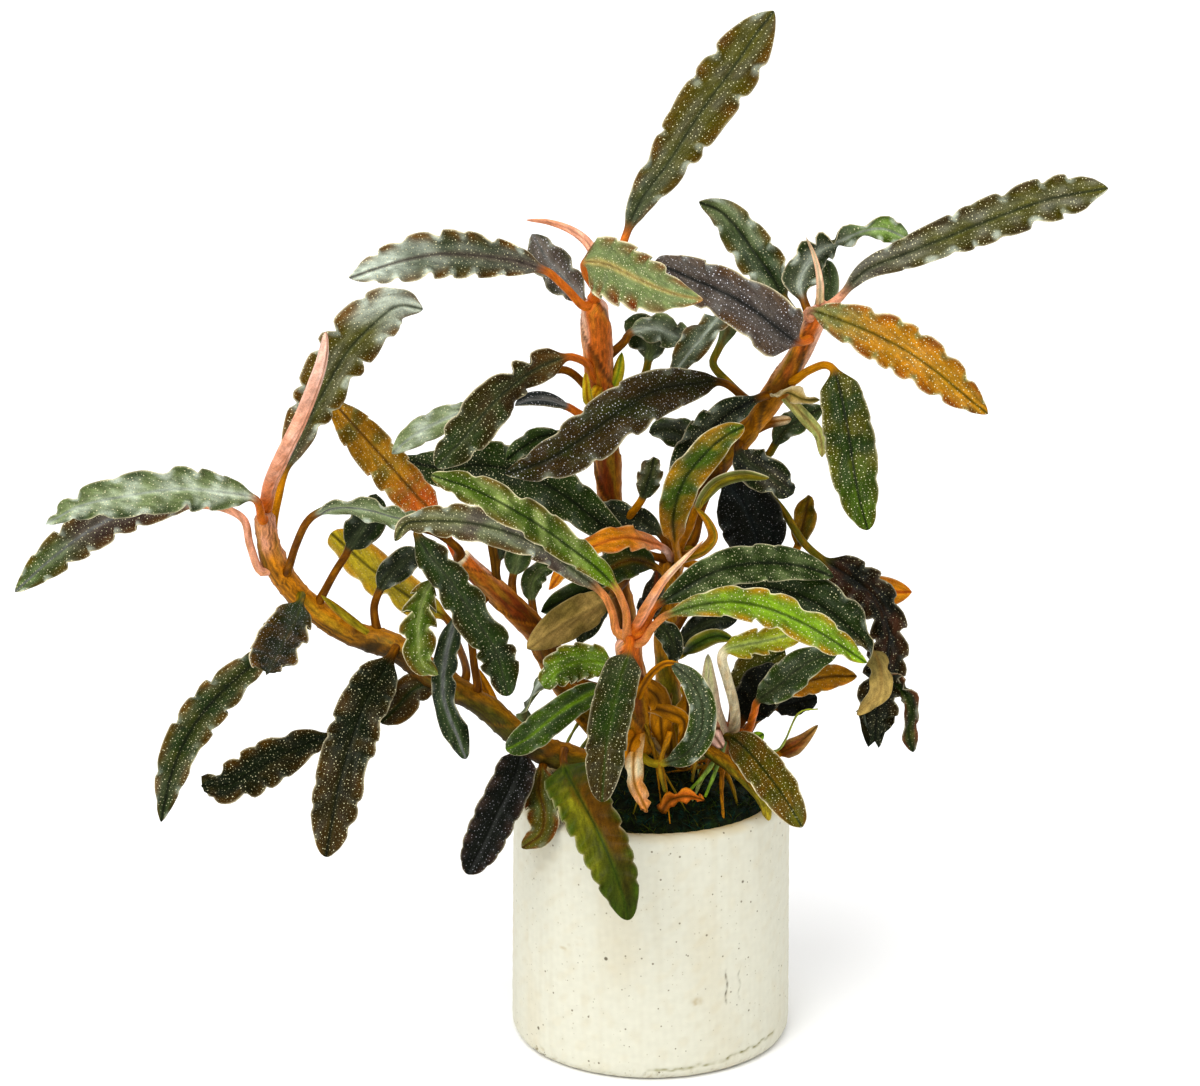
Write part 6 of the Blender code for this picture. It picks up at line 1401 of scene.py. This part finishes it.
def add_tufts(skin, count, height, colours, chance):
    """Adds moss: arched three-sided strands, each ring at root + height (u up + u^2 lean), in one array."""
    radius = (MEDIUM_REACH - 0.6) * np.sqrt(chance.uniform(0.0, 1.0, count))
    angle = chance.uniform(0, FULL_TURN, count)
    x, y = radius * np.cos(angle), radius * np.sin(angle)
    root = np.stack([x, y, medium_top(x, y) - 0.4], axis=1)
    turn = chance.uniform(0, FULL_TURN, count)
    tall = height * chance.uniform(0.45, 1.25, count)
    reach = tall * chance.uniform(0.3, 1.5, count)
    lean = np.stack([np.cos(turn) * reach, np.sin(turn) * reach, -0.35 * tall], axis=1)
    u = np.linspace(0, 1, STRAND_RINGS)[:, None]
    line = root[:, None] + u * (tall[:, None] * (0, 0, 1.0))[:, None] + u**2 * lean[:, None]
    thick = chance.uniform(0.1, 0.24, count)[:, None, None] * (1 - 0.75 * u)
    spin = chance.uniform(0, 6, count)[:, None, None] + np.radians([0, 120, 240])
    ring = line[:, :, None] + thick[..., None] * np.stack([np.cos(spin), np.sin(spin), 0 * spin], axis=-1)
    vertices = np.concatenate([ring.reshape(count, -1, 3), line[:, :1], line[:, -1:]], axis=1)
    each = vertices.shape[1]
    quads, triangles = turned_out(vertices[0], *ring_faces(len(u), 3))
    offset = (np.arange(count) * each)[:, None, None]
    tints = np.array([colours[name] for name in STRAND_COLOURS])
    tint = tints[chance.integers(0, len(tints), count)]
    tint = tint[:, None] * (0.55 + 0.75 * np.linspace(0, 1, each))[:, None]
    flat = vertices.reshape(-1, 3)
    skin.add(flat, (quads + offset).reshape(-1, 4), (triangles + offset).reshape(-1, 3),
             np.clip(tint.reshape(-1, 3), 0.001, 1), 0 * flat, flat)


class Wires:
    """Adds nodes to one shader tree. Inputs are named with underscores, or by number as _0, _1 and so on."""

    def __init__(self, tree):
        self.tree = tree

    def plug(self, node, **links):
        """Links or sets the inputs of a node, and returns its outputs."""
        for title, value in links.items():
            socket = node.inputs[int(title[1:]) if title[0] == "_" else title.replace("_", " ")]
            if isinstance(value, bpy.types.NodeSocket):
                self.tree.links.new(value, socket)
            else:
                socket.default_value = value
        return node.outputs

    def add(self, kind, settings=(), **links):
        """Adds a node with its settings and inputs, and returns its outputs."""
        node = self.tree.nodes.new("ShaderNode" + kind)
        for key, value in dict(settings).items():
            setattr(node, key, value)
        return self.plug(node, **links)

    def maths(self, operation, first, second):
        """The result of a sum of two values."""
        return self.add("Math", {"operation": operation}, _0=first, _1=second)[0]

    def times(self, first, second):
        """One value times another."""
        return self.maths("MULTIPLY", first, second)

    def plus(self, first, second):
        """One value added to another."""
        return self.maths("ADD", first, second)

    def ramp(self, value, low, high, to_low=0.0, to_high=1.0):
        """value mapped smoothly from low..high to to_low..to_high."""
        return self.add("MapRange", {"interpolation_type": "SMOOTHSTEP"}, Value=value, From_Min=low,
                        From_Max=high, To_Min=to_low, To_Max=to_high)["Result"]

    def blend(self, share, under, over):
        """One colour laid over another by a share."""
        return self.add("Mix", {"data_type": "RGBA"}, _0=share, _6=under, _7=over)[2]

    def darkened(self, colour, light):
        """A colour times a grey."""
        grey = self.add("CombineColor", Red=light, Green=light, Blue=light)[0]
        return self.add("Mix", {"data_type": "RGBA", "blend_type": "MULTIPLY"}, _0=1.0, _6=colour, _7=grey)[2]

    def noise(self, place, scale, detail):
        """Soft noise, scale lumps to each unit of place."""
        return self.add("TexNoise", Vector=place, Scale=scale, Detail=detail)[0]

    def attribute(self, name):
        """The outputs that read an attribute of the mesh."""
        return self.add("Attribute", {"attribute_name": name})

    def group(self, name, make_group, **links):
        """A shared node group, which is made the first time it is used, with its inputs."""
        group = bpy.data.node_groups.get(name) or make_group()
        return self.add("Group", {"node_tree": group}, **links)


def new_group(name, inputs, outputs):
    """An empty node group: its wires, the sockets given to it, and its end. A number is a float's default."""
    group = bpy.data.node_groups.new(name, "ShaderNodeTree")
    for title, kind in inputs.items():
        given = "Float" if isinstance(kind, float) else kind
        socket = group.interface.new_socket(name=title, in_out="INPUT", socket_type="NodeSocket" + given)
        if given == "Float":
            socket.default_value = kind
    for title, kind in outputs.items():
        group.interface.new_socket(name=title, in_out="OUTPUT", socket_type="NodeSocket" + kind)
    return Wires(group), group.nodes.new("NodeGroupInput").outputs, group.nodes.new("NodeGroupOutput")


def dotted_skin():
    """Leaf skin: rows of raised dots in cells of a Voronoi pattern over fine veins and a leathery grain.

    The pattern lies on the blade's own millimetres, along and across, so it bends with the leaf.
    """
    wires, given, end = new_group("dotted_skin", {
        "Tint": "Color", "Marks": "Vector", "Grain": "Vector", "Dot Spacing": 0.9, "Dot Size": 0.17,
        "Cream Dot": "Color", "Lilac Dot": "Color", "Gloss Roughness": 0.3,
    }, {"Color": "Color", "Roughness": "Float", "Height": "Float"})
    times, plus = wires.times, wires.plus
    strength, lilac, dull = wires.add("SeparateXYZ", _0=given["Marks"])
    along, across, seed = wires.add("SeparateXYZ", _0=given["Grain"])
    pace = wires.maths("DIVIDE", 1.0, given["Dot Spacing"])
    flat = wires.add("CombineXYZ", X=times(along, pace), Y=times(across, pace))[0]

    def dots(scale, size):
        """A mask of round dots of uneven size, with a few left out."""
        cells = wires.add("TexVoronoi", {"voronoi_dimensions": "2D"}, Vector=flat, Scale=scale,
                          Randomness=0.88)
        luck = wires.add("SeparateColor", _0=cells["Color"])
        radius = times(wires.ramp(luck[0], 0.0, 1.0, 0.5, 1.3), size)
        dot = wires.ramp(cells["Distance"], radius, times(radius, 0.6))
        return times(dot, wires.ramp(luck[1], 0.12, 0.16))

    fine = times(dots(1.7, times(given["Dot Size"], 0.85)), 0.3)
    dot = times(wires.maths("MAXIMUM", dots(1.0, given["Dot Size"]), fine), strength)
    long_way = wires.add("CombineXYZ", X=times(along, 0.22), Y=plus(across, times(along, 0.25)), Z=seed)[0]
    veins = wires.noise(long_way, 1.5, 3.0)
    leather = wires.noise(given["Grain"], 4.5, 2.0)
    light = plus(wires.ramp(veins, 0.3, 0.7, 0.78, 1.2), wires.ramp(leather, 0.3, 0.7, -0.16, 0.16))
    dot_colour = wires.blend(lilac, given["Cream Dot"], given["Lilac Dot"])
    rough = plus(given["Gloss Roughness"], times(dull, 0.25))
    relief = plus(times(veins, 0.7), times(leather, 0.5))
    wires.plug(
        end, Color=wires.blend(times(dot, 0.88), wires.darkened(given["Tint"], light), dot_colour),
        Roughness=plus(rough, wires.ramp(leather, 0.3, 0.75, -0.05, 0.12)),
        Height=plus(relief, times(dot, 0.55)),
    )
    return wires.tree


def stem_fibres():
    """Stem skin: noise drawn out along the stem, with a finer grain, over the tint of each vertex."""
    wires, given, end = new_group("stem_fibres", {"Tint": "Color", "Grain": "Vector", "Contrast": 0.35},
                                  {"Color": "Color", "Height": "Float"})
    along, around, seed = wires.add("SeparateXYZ", _0=given["Grain"])
    drawn = wires.add("CombineXYZ", X=wires.times(along, 0.3), Y=around, Z=seed)[0]
    fibres = wires.times(wires.noise(drawn, 2.2, 4.0), 0.65)
    both = wires.plus(fibres, wires.times(wires.noise(given["Grain"], 3.5, 2.0), 0.35))
    low = wires.maths("SUBTRACT", 1.0, given["Contrast"])
    light = wires.ramp(both, 0.35, 0.65, low, wires.plus(1.0, given["Contrast"]))
    wires.plug(end, Color=wires.darkened(given["Tint"], light), Height=both)
    return wires.tree


def clay_specks():
    """Specks in the clay: a mask of small round cells of a Voronoi pattern, some of them left out."""
    wires, given, end = new_group(
        "clay_specks", {"Place": "Vector", "Spacing": 2.0, "Size": 0.1, "Share": 0.6}, {"Mask": "Float"})
    pace = wires.maths("DIVIDE", 1.0, given["Spacing"])
    spot = wires.add("VectorMath", {"operation": "SCALE"}, _0=given["Place"], Scale=pace)[0]
    cells = wires.add("TexVoronoi", {"voronoi_dimensions": "3D"}, Vector=spot, Scale=1.0)
    luck = wires.add("SeparateColor", _0=cells["Color"])
    radius = wires.times(wires.ramp(luck[0], 0.0, 1.0, 0.35, 1.3), given["Size"])
    dot = wires.ramp(cells["Distance"], radius, wires.times(radius, 0.5))
    wires.plug(end, Mask=wires.times(dot, wires.maths("LESS_THAN", luck[1], given["Share"])))
    return wires.tree


def new_material(name):
    """A material, the wires of its tree, and its Principled shader."""
    material = bpy.data.materials.new(name)
    material.use_nodes = True
    return material, Wires(material.node_tree), material.node_tree.nodes["Principled BSDF"]


def leaf_material(name, props, gloss):
    """Leaf skin with dots, under a coat of wax as strong as gloss."""
    material, wires, shader = new_material(name)
    skin = wires.group(
        "dotted_skin", dotted_skin, Tint=wires.attribute("tint")["Color"],
        Marks=wires.attribute("marks")["Vector"], Grain=wires.attribute("grain")["Vector"],
        Dot_Spacing=props.dot_spacing / MM, Dot_Size=props.dot_size,
        Cream_Dot=(*PALETTE["ivory"], 1), Lilac_Dot=(*PALETTE["lilac"], 1), Gloss_Roughness=props.roughness)
    relief = wires.add("Bump", Strength=0.8, Distance=0.12 * MM, Height=skin["Height"])
    wires.plug(shader, Base_Color=skin["Color"], Roughness=skin["Roughness"], Normal=relief[0],
               Specular_IOR_Level=0.05, Coat_Weight=gloss, Coat_Roughness=0.2)
    return material


def stem_material(name, roughness, contrast, bumps):
    """Stem and root skin: the tint of each vertex under fibres drawn out along the stem."""
    material, wires, shader = new_material(name)
    skin = wires.group("stem_fibres", stem_fibres, Tint=wires.attribute("tint")["Color"],
                       Grain=wires.attribute("grain")["Vector"], Contrast=contrast)
    relief = wires.add("Bump", Strength=bumps, Distance=0.2 * MM, Height=skin["Height"])
    wires.plug(shader, Base_Color=skin["Color"], Normal=relief[0], Roughness=roughness,
               Specular_IOR_Level=0.15)
    return material


# The specks in the clay: how far apart in millimetres, their size and share, their colour and strength.
SPECKS = (
    (1.0, 0.17, 0.6, (0.33, 0.29, 0.19, 1), 0.55),
    (1.7, 0.13, 0.7, (0.12, 0.09, 0.05, 1), 0.85),
    (4.4, 0.085, 0.5, (0.07, 0.05, 0.02, 1), 0.95),
)


def clay_material(name, props):
    """Matt cream clay with dark specks, a few larger brown ones, and a fine grain."""
    material, wires, shader = new_material(name)
    place = wires.add("TexCoord")["Object"]
    outside = wires.add("SeparateXYZ", _0=wires.attribute("marks")["Vector"])[0]
    colour = wires.attribute("tint")["Color"]
    for spacing, size, share, speck, strength in SPECKS:
        specks = wires.group("clay_specks", clay_specks, Place=place, Spacing=spacing * MM, Size=size,
                             Share=share)
        amount = wires.times(specks["Mask"], wires.times(outside, strength * props.specks))
        colour = wires.blend(amount, colour, speck)
    relief = wires.add("Bump", Strength=0.35, Distance=0.1 * MM, Height=wires.noise(place, 2200.0, 3.0))
    wires.plug(shader, Base_Color=colour, Normal=relief[0], Roughness=0.72)
    return material


def size_of(title, description, default, low, high):
    """A setting in metres."""
    return bpy.props.FloatProperty(name=title, description=description, default=default, min=low, max=high,
                                   subtype="DISTANCE", unit="LENGTH", precision=5)


def share_of(title, description, default, high=1.0):
    """A setting from 0 to high."""
    return bpy.props.FloatProperty(name=title, description=description, default=default, min=0, max=high,
                                   subtype="FACTOR")


def colour_of(title, description, default):
    """A setting that holds a colour."""
    return bpy.props.FloatVectorProperty(name=title, description=description, default=default, size=3,
                                         min=0, max=1, subtype="COLOR")


class PotSettings(bpy.types.PropertyGroup):
    """Sizes and finish of the ceramic pot."""

    height: size_of("Height", "The pot's height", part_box("pot")[1][2], 0.02, 0.2)
    foot_radius: size_of("Foot radius", "The pot's radius at its foot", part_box("pot")[1][0], 0.01, 0.1)
    rim_radius: size_of("Rim radius", "The pot's radius at its rim", RIM_RADIUS * MM, 0.01, 0.1)
    clay: colour_of("Clay", "The colour of the unglazed clay", shade(207, 205, 188))
    stain: colour_of("Stain", "The colour of the faint stains on the clay", shade(198, 187, 158))
    specks: share_of("Specks", "How dark the specks in the clay are", 0.9)


class LeafSettings(bpy.types.PropertyGroup):
    """Form and skin of all the leaves."""

    thickness: size_of("Thickness", "How thick a blade is beside its midrib", 0.5 * MM, 0.1 * MM, 2 * MM)
    ruffle: share_of("Ruffle", "How far the margins rise and fall, against the leaf's own wave", 1.7, 3.0)
    dot_spacing: size_of("Dot spacing", "How far the pale dots stand apart", 0.74 * MM, 0.2 * MM, 4 * MM)
    dot_size: share_of("Dot size", "The radius of a dot as a share of the spacing", 0.145)
    roughness: share_of("Roughness", "How dull the upper faces are", 0.36)
    gloss: share_of("Gloss", "How strong the wax coat on the leaves is", 0.06)


class StemSettings(bpy.types.PropertyGroup):
    """Skin of the stems and roots."""

    roughness: share_of("Roughness", "How dull the stems are", 0.5)
    fibres: share_of("Fibres", "How strongly the fibres show", 0.3)


class MediumSettings(bpy.types.PropertyGroup):
    """The moss in the pot."""

    strands: bpy.props.IntProperty(name="Strands", description="How many strands of moss stand in the pot",
                                   default=1700, min=0, max=5000)
    strand_height: size_of("Strand height", "How tall a strand of moss is", 2.6 * MM, 0.5 * MM, 10 * MM)


class StageSettings(bpy.types.PropertyGroup):
    """Floor and lights."""

    floor: colour_of("Floor", "The colour of the floor", (0.94, 0.94, 0.94))
    sky: share_of("Sky", "How bright the room is all round", 0.78, 5.0)
    key: share_of("Key light", "Strength of the large soft light from above", 1.5, 20.0)
    fill: share_of("Fill light", "Power of the soft light from the front, in watts", 0.5, 20.0)


PaletteSettings = type("PaletteSettings", (bpy.types.PropertyGroup,), {
    "__doc__": "The colours that the leaves and stems are mixed from.",
    "__annotations__": {
        name: colour_of(name.replace("_", " ").capitalize(), "A colour of the leaves and stems", value)
        for name, value in PALETTE.items()
    },
})


def chosen_colours(scene):
    """The palette as it stands in the scene's settings."""
    return {name: np.array(getattr(scene.plant_palette, name)) for name in PALETTE}


def stem_axes():
    """The axis and radius of every stem, for the leaves that root in it."""
    return {name: stem_path(stem) for name, stem in STEMS.items()}


BLACKS = ("black", "plum", "navy", "umber")
AMBERS = ("ochre", "amber", "yellow", "salmon", "golden", "tan", "cream")

# How much wax the leaves of each slot have, against the gloss in the settings.
WAX = {"leaf_green": 1.0, "leaf_dark": 1.2, "leaf_amber": 0.6, "leaf_young": 1.67}


def leaf_slot(leaf, name):
    """The record's slot whose finish a leaf takes, by the colour of most of its blade."""
    if name.endswith("young_leaf") or name == "right_spike":
        return "leaf_young"
    if leaf.looks.body in BLACKS:
        return "leaf_dark"
    return "leaf_amber" if leaf.looks.body in AMBERS else "leaf_green"


def leaf_coat(scene, slot):
    """The material of a slot's leaves, made once."""
    props = scene.plant_leaves
    name = slot + "_skin"
    return bpy.data.materials.get(name) or leaf_material(name, props, props.gloss * WAX[slot])


def build_leaves(scene, leaves):
    """Builds leaves. A main one stands for its own node, a small one for its stem, and a bit for none."""
    stems = stem_axes()
    colours = chosen_colours(scene)
    for name, leaf in leaves.items():
        skin = Skin()
        add_blade(skin, name, leaf, stems, colours, scene.plant_leaves)
        slot = leaf_slot(leaf, name)
        coat = leaf_coat(scene, slot)
        if name in LEAVES:
            skin.make(name + "_blade", coat, slot, name)
        else:
            skin.make(name, coat, slot, *([leaf.grows_on] if name in SMALL_LEAVES else []))
    return {"FINISHED"}


def build_group(scene, *starts):
    """Builds the main leaves whose names start so."""
    return build_leaves(scene, {name: leaf for name, leaf in LEAVES.items() if name.startswith(starts)})


class BuildPot(bpy.types.Operator):
    """Build the hand-made ceramic pot with its specks, stains, chips and cracks"""

    bl_idname = "plant.build_pot"
    bl_label = "Pot"

    def execute(self, context):
        skin = Skin()
        props = context.scene.plant_pot
        add_pot_shell(skin, props, chosen_colours(context.scene))
        skin.make("ceramic_pot", clay_material("speckled_clay", props), "ceramic", "pot")
        return {"FINISHED"}


class BuildMedium(bpy.types.Operator):
    """Build the dark fill of the pot and the moss that grows on it"""

    bl_idname = "plant.build_medium"
    bl_label = "Moss bed"

    def execute(self, context):
        colours = chosen_colours(context.scene)
        props = context.scene.plant_medium
        coat = stem_material("moss", 0.75, 0.5, 0.6)
        bed, tufts = Skin(), Skin()
        add_medium_shell(bed, colours)
        add_tufts(tufts, props.strands, props.strand_height / MM, colours, np.random.default_rng(5))
        bed.make("moss_bed", coat, "medium", "growing_medium")
        tufts.make("moss_strands", coat, "medium", "growing_medium")
        return {"FINISHED"}


class BuildStems(bpy.types.Operator):
    """Build the creeping stems with the ledges and scars of old leaf bases, and the thick root"""

    bl_idname = "plant.build_stems"
    bl_label = "Stems and thick root"

    def execute(self, context):
        colours = chosen_colours(context.scene)
        props = context.scene.plant_stems
        coat = stem_material("stem_bark", props.roughness, props.fibres, 0.5)
        for name, stem in STEMS.items():
            skin = Skin()
            add_bark(skin, name, stem, colours)
            skin.make(name + "_bark", coat, "stem", name)
        skin = Skin()
        add_bark(skin, "roots", ROOT, colours, 24)
        skin.make("thick_root", stem_material("root_bark", 0.7, 0.45, 0.8), "root", "roots")
        return {"FINISHED"}


class BuildSmallLeaves(bpy.types.Operator):
    """Build the small leaves, bracts and stubs that are one with their stems"""

    bl_idname = "plant.build_small_leaves"
    bl_label = "Small leaves and bracts"

    def execute(self, context):
        return build_leaves(context.scene, SMALL_LEAVES)


class BuildLeftLeaves(bpy.types.Operator):
    """Build the leaves of the arm on the left and those below it"""

    bl_idname = "plant.build_left_leaves"
    bl_label = "Leaves on the left"

    def execute(self, context):
        return build_group(context.scene, "left_", "lower_left_")


class BuildTopLeaves(bpy.types.Operator):
    """Build the leaves of the top shoot"""

    bl_idname = "plant.build_top_leaves"
    bl_label = "Leaves of the top shoot"

    def execute(self, context):
        return build_group(context.scene, "top_")


class BuildMiddleLeaves(bpy.types.Operator):
    """Build the leaves of the middle, back and front crowns"""

    bl_idname = "plant.build_middle_leaves"
    bl_label = "Leaves in the middle"

    def execute(self, context):
        return build_group(context.scene, "middle_", "back_", "front_")


class BuildLowLeaves(bpy.types.Operator):
    """Build the low leaves that hang over the pot"""

    bl_idname = "plant.build_low_leaves"
    bl_label = "Leaves over the pot"

    def execute(self, context):
        return build_group(context.scene, "low_")


class BuildRightLeaves(bpy.types.Operator):
    """Build the leaves of the two shoots on the right"""

    bl_idname = "plant.build_right_leaves"
    bl_label = "Leaves on the right"

    def execute(self, context):
        return build_group(context.scene, "right_")


class BuildStrayBits(bpy.types.Operator):
    """Build the dead sheaths, stray bits and hidden small leaves between the stems"""

    bl_idname = "plant.build_stray_bits"
    bl_label = "Dead sheaths"

    def execute(self, context):
        return build_leaves(context.scene, STRAY_BITS)


# The colours of the thin roots, in turn, how many each stem has, how far they reach from it, and how far
# from the pot's axis they end at most.
ROOT_TINTS = (("golden", "reed"), ("olive", "golden"), ("reed", "pear"), ("brown", "golden"))
ROOTS_PER_STEM = 7
ROOT_REACH = (5, 11)
ROOT_LIMIT = 20


class BuildFineRoots(bpy.types.Operator):
    """Build the thin roots round the stems' feet and the tendril on the right"""

    bl_idname = "plant.build_fine_roots"
    bl_label = "Fine roots"

    def execute(self, context):
        colours = chosen_colours(context.scene)
        chance = np.random.default_rng(8)
        skin = Skin()
        for index, (axis, _) in enumerate(stem_axes().values()):
            for turn in range(ROOTS_PER_STEM):
                start = axis[turn % 3]
                heading = chance.uniform(0, FULL_TURN)
                outwards = chance.uniform(*ROOT_REACH) * np.array([math.cos(heading), math.sin(heading)])
                end = start[:2] + outwards
                end *= min(1, ROOT_LIMIT / np.linalg.norm(end))
                ground = medium_top(*end)
                middle = (start + (*end, ground)) / 2
                middle[2] += chance.uniform(-0.5, 2.5)
                middle[:2] += chance.uniform(-1.5, 1.5, 2)
                size = chance.uniform(0.25, 0.5)
                add_wire(skin, [start, middle, (*end, ground - 0.5)], (size * 1.3, size, size * 0.5),
                         ROOT_TINTS[(index + turn) % len(ROOT_TINTS)], colours, index * 9 + turn)
        for route, fronts, size, tints in THIN_ROOTS:
            add_wire(skin, placed_route(route, fronts), size, tints, colours, 3)
        skin.make("fine_roots", stem_material("fine_root_skin", 0.55, 0.35, 0.4), "root")
        return {"FINISHED"}


# The floor and the lights, in metres and degrees.
FLOOR_HALF = 40.0
KEY_SOFTNESS = 42
KEY_TURNS = (30, -17, 0)
FILL_SIZE = 0.5
FILL_PLACE = (-0.35, -0.6, 0.45)
FILL_TURNS = (60, 0, -30)


def stage_object(scene, name, data, place=(0, 0, 0), turns=(0, 0, 0)):
    """Links a floor, light or camera, at a place in metres and turned by degrees."""
    obj = bpy.data.objects.new(name, data)
    obj.location = place
    obj.rotation_euler = [math.radians(turn) for turn in turns]
    scene.collection.objects.link(obj)
    return obj


class BuildStage(bpy.types.Operator):
    """Set the pale floor, the soft studio lights and the photograph's camera"""

    bl_idname = "plant.build_stage"
    bl_label = "Floor, lights and camera"

    def execute(self, context):
        scene = context.scene
        props = scene.plant_stage
        scene.view_settings.view_transform = "Standard"
        scene.view_settings.look = "Medium High Contrast"
        half = FLOOR_HALF
        mesh = bpy.data.meshes.new("floor")
        corners = [(-half, -half, 0), (half, -half, 0), (half, half, 0), (-half, half, 0)]
        mesh.from_pydata(corners, [], [(0, 1, 2, 3)])
        paint, wires, shader = new_material("floor_paint")
        wires.plug(shader, Base_Color=(*props.floor, 1), Roughness=0.9)
        mesh.materials.append(paint)
        floor = stage_object(scene, "floor", mesh)

        scene.world = bpy.data.worlds.new("bright_room")
        scene.world.use_nodes = True
        sky = scene.world.node_tree.nodes["Background"].inputs
        sky["Color"].default_value = (1, 1, 1, 1)
        sky["Strength"].default_value = props.sky

        sun = bpy.data.lights.new("key_light", "SUN")
        sun.energy = props.key
        sun.angle = math.radians(KEY_SOFTNESS)
        key = stage_object(scene, "key_light", sun, turns=KEY_TURNS)
        panel = bpy.data.lights.new("fill_light", "AREA")
        panel.energy = props.fill
        panel.size = FILL_SIZE
        fill = stage_object(scene, "fill_light", panel, FILL_PLACE, FILL_TURNS)

        lens = bpy.data.cameras.new("camera")
        lens.sensor_fit = "HORIZONTAL"
        lens.sensor_width = SENSOR_WIDTH
        lens.lens = SENSOR_WIDTH * VIEW_DISTANCE / (IMAGE_WIDTH * MM_PER_PIXEL)
        camera = stage_object(scene, "camera", lens, EYE * MM, (90 - math.degrees(VIEW_PITCH), 0, 0))
        scene.camera = camera
        return {"FINISHED"}


OPERATORS = (BuildStage, BuildPot, BuildMedium, BuildStems, BuildSmallLeaves, BuildLeftLeaves, BuildTopLeaves,
             BuildMiddleLeaves, BuildLowLeaves, BuildRightLeaves, BuildStrayBits, BuildFineRoots)
SETTINGS = {
    "plant_pot": PotSettings,
    "plant_leaves": LeafSettings,
    "plant_stems": StemSettings,
    "plant_medium": MediumSettings,
    "plant_stage": StageSettings,
    "plant_palette": PaletteSettings,
}


class PlantPanel(bpy.types.Panel):
    """Lists the pieces of the plant and their settings"""

    bl_idname = "VIEW3D_PT_potted_plant"
    bl_label = "Potted bucephalandra"
    bl_space_type = "VIEW_3D"
    bl_region_type = "UI"
    bl_category = "Plant"

    def draw(self, context):
        for operator in OPERATORS:
            self.layout.operator(operator.bl_idname)
        for holder in SETTINGS:
            box = self.layout.box()
            settings = getattr(context.scene, holder)
            for name in settings.bl_rna.properties.keys():
                if name not in ("rna_type", "name"):
                    box.prop(settings, name)


def register():
    """Adds the settings to the scene, then the operators and the panel."""
    for holder, settings in SETTINGS.items():
        bpy.utils.register_class(settings)
        setattr(bpy.types.Scene, holder, bpy.props.PointerProperty(type=settings))
    for shown in (*OPERATORS, PlantPanel):
        bpy.utils.register_class(shown)


def unregister():
    """Takes away what register added, in the opposite order."""
    for shown in (PlantPanel, *reversed(OPERATORS)):
        bpy.utils.unregister_class(shown)
    for holder, settings in reversed(SETTINGS.items()):
        delattr(bpy.types.Scene, holder)
        bpy.utils.unregister_class(settings)


def main():
    """Builds the stage and every piece, and writes the sizes before and after."""
    register()
    for operator in OPERATORS:
        getattr(bpy.ops.plant, operator.bl_idname.partition(".")[2])()


if __name__ == "__main__":
    main()
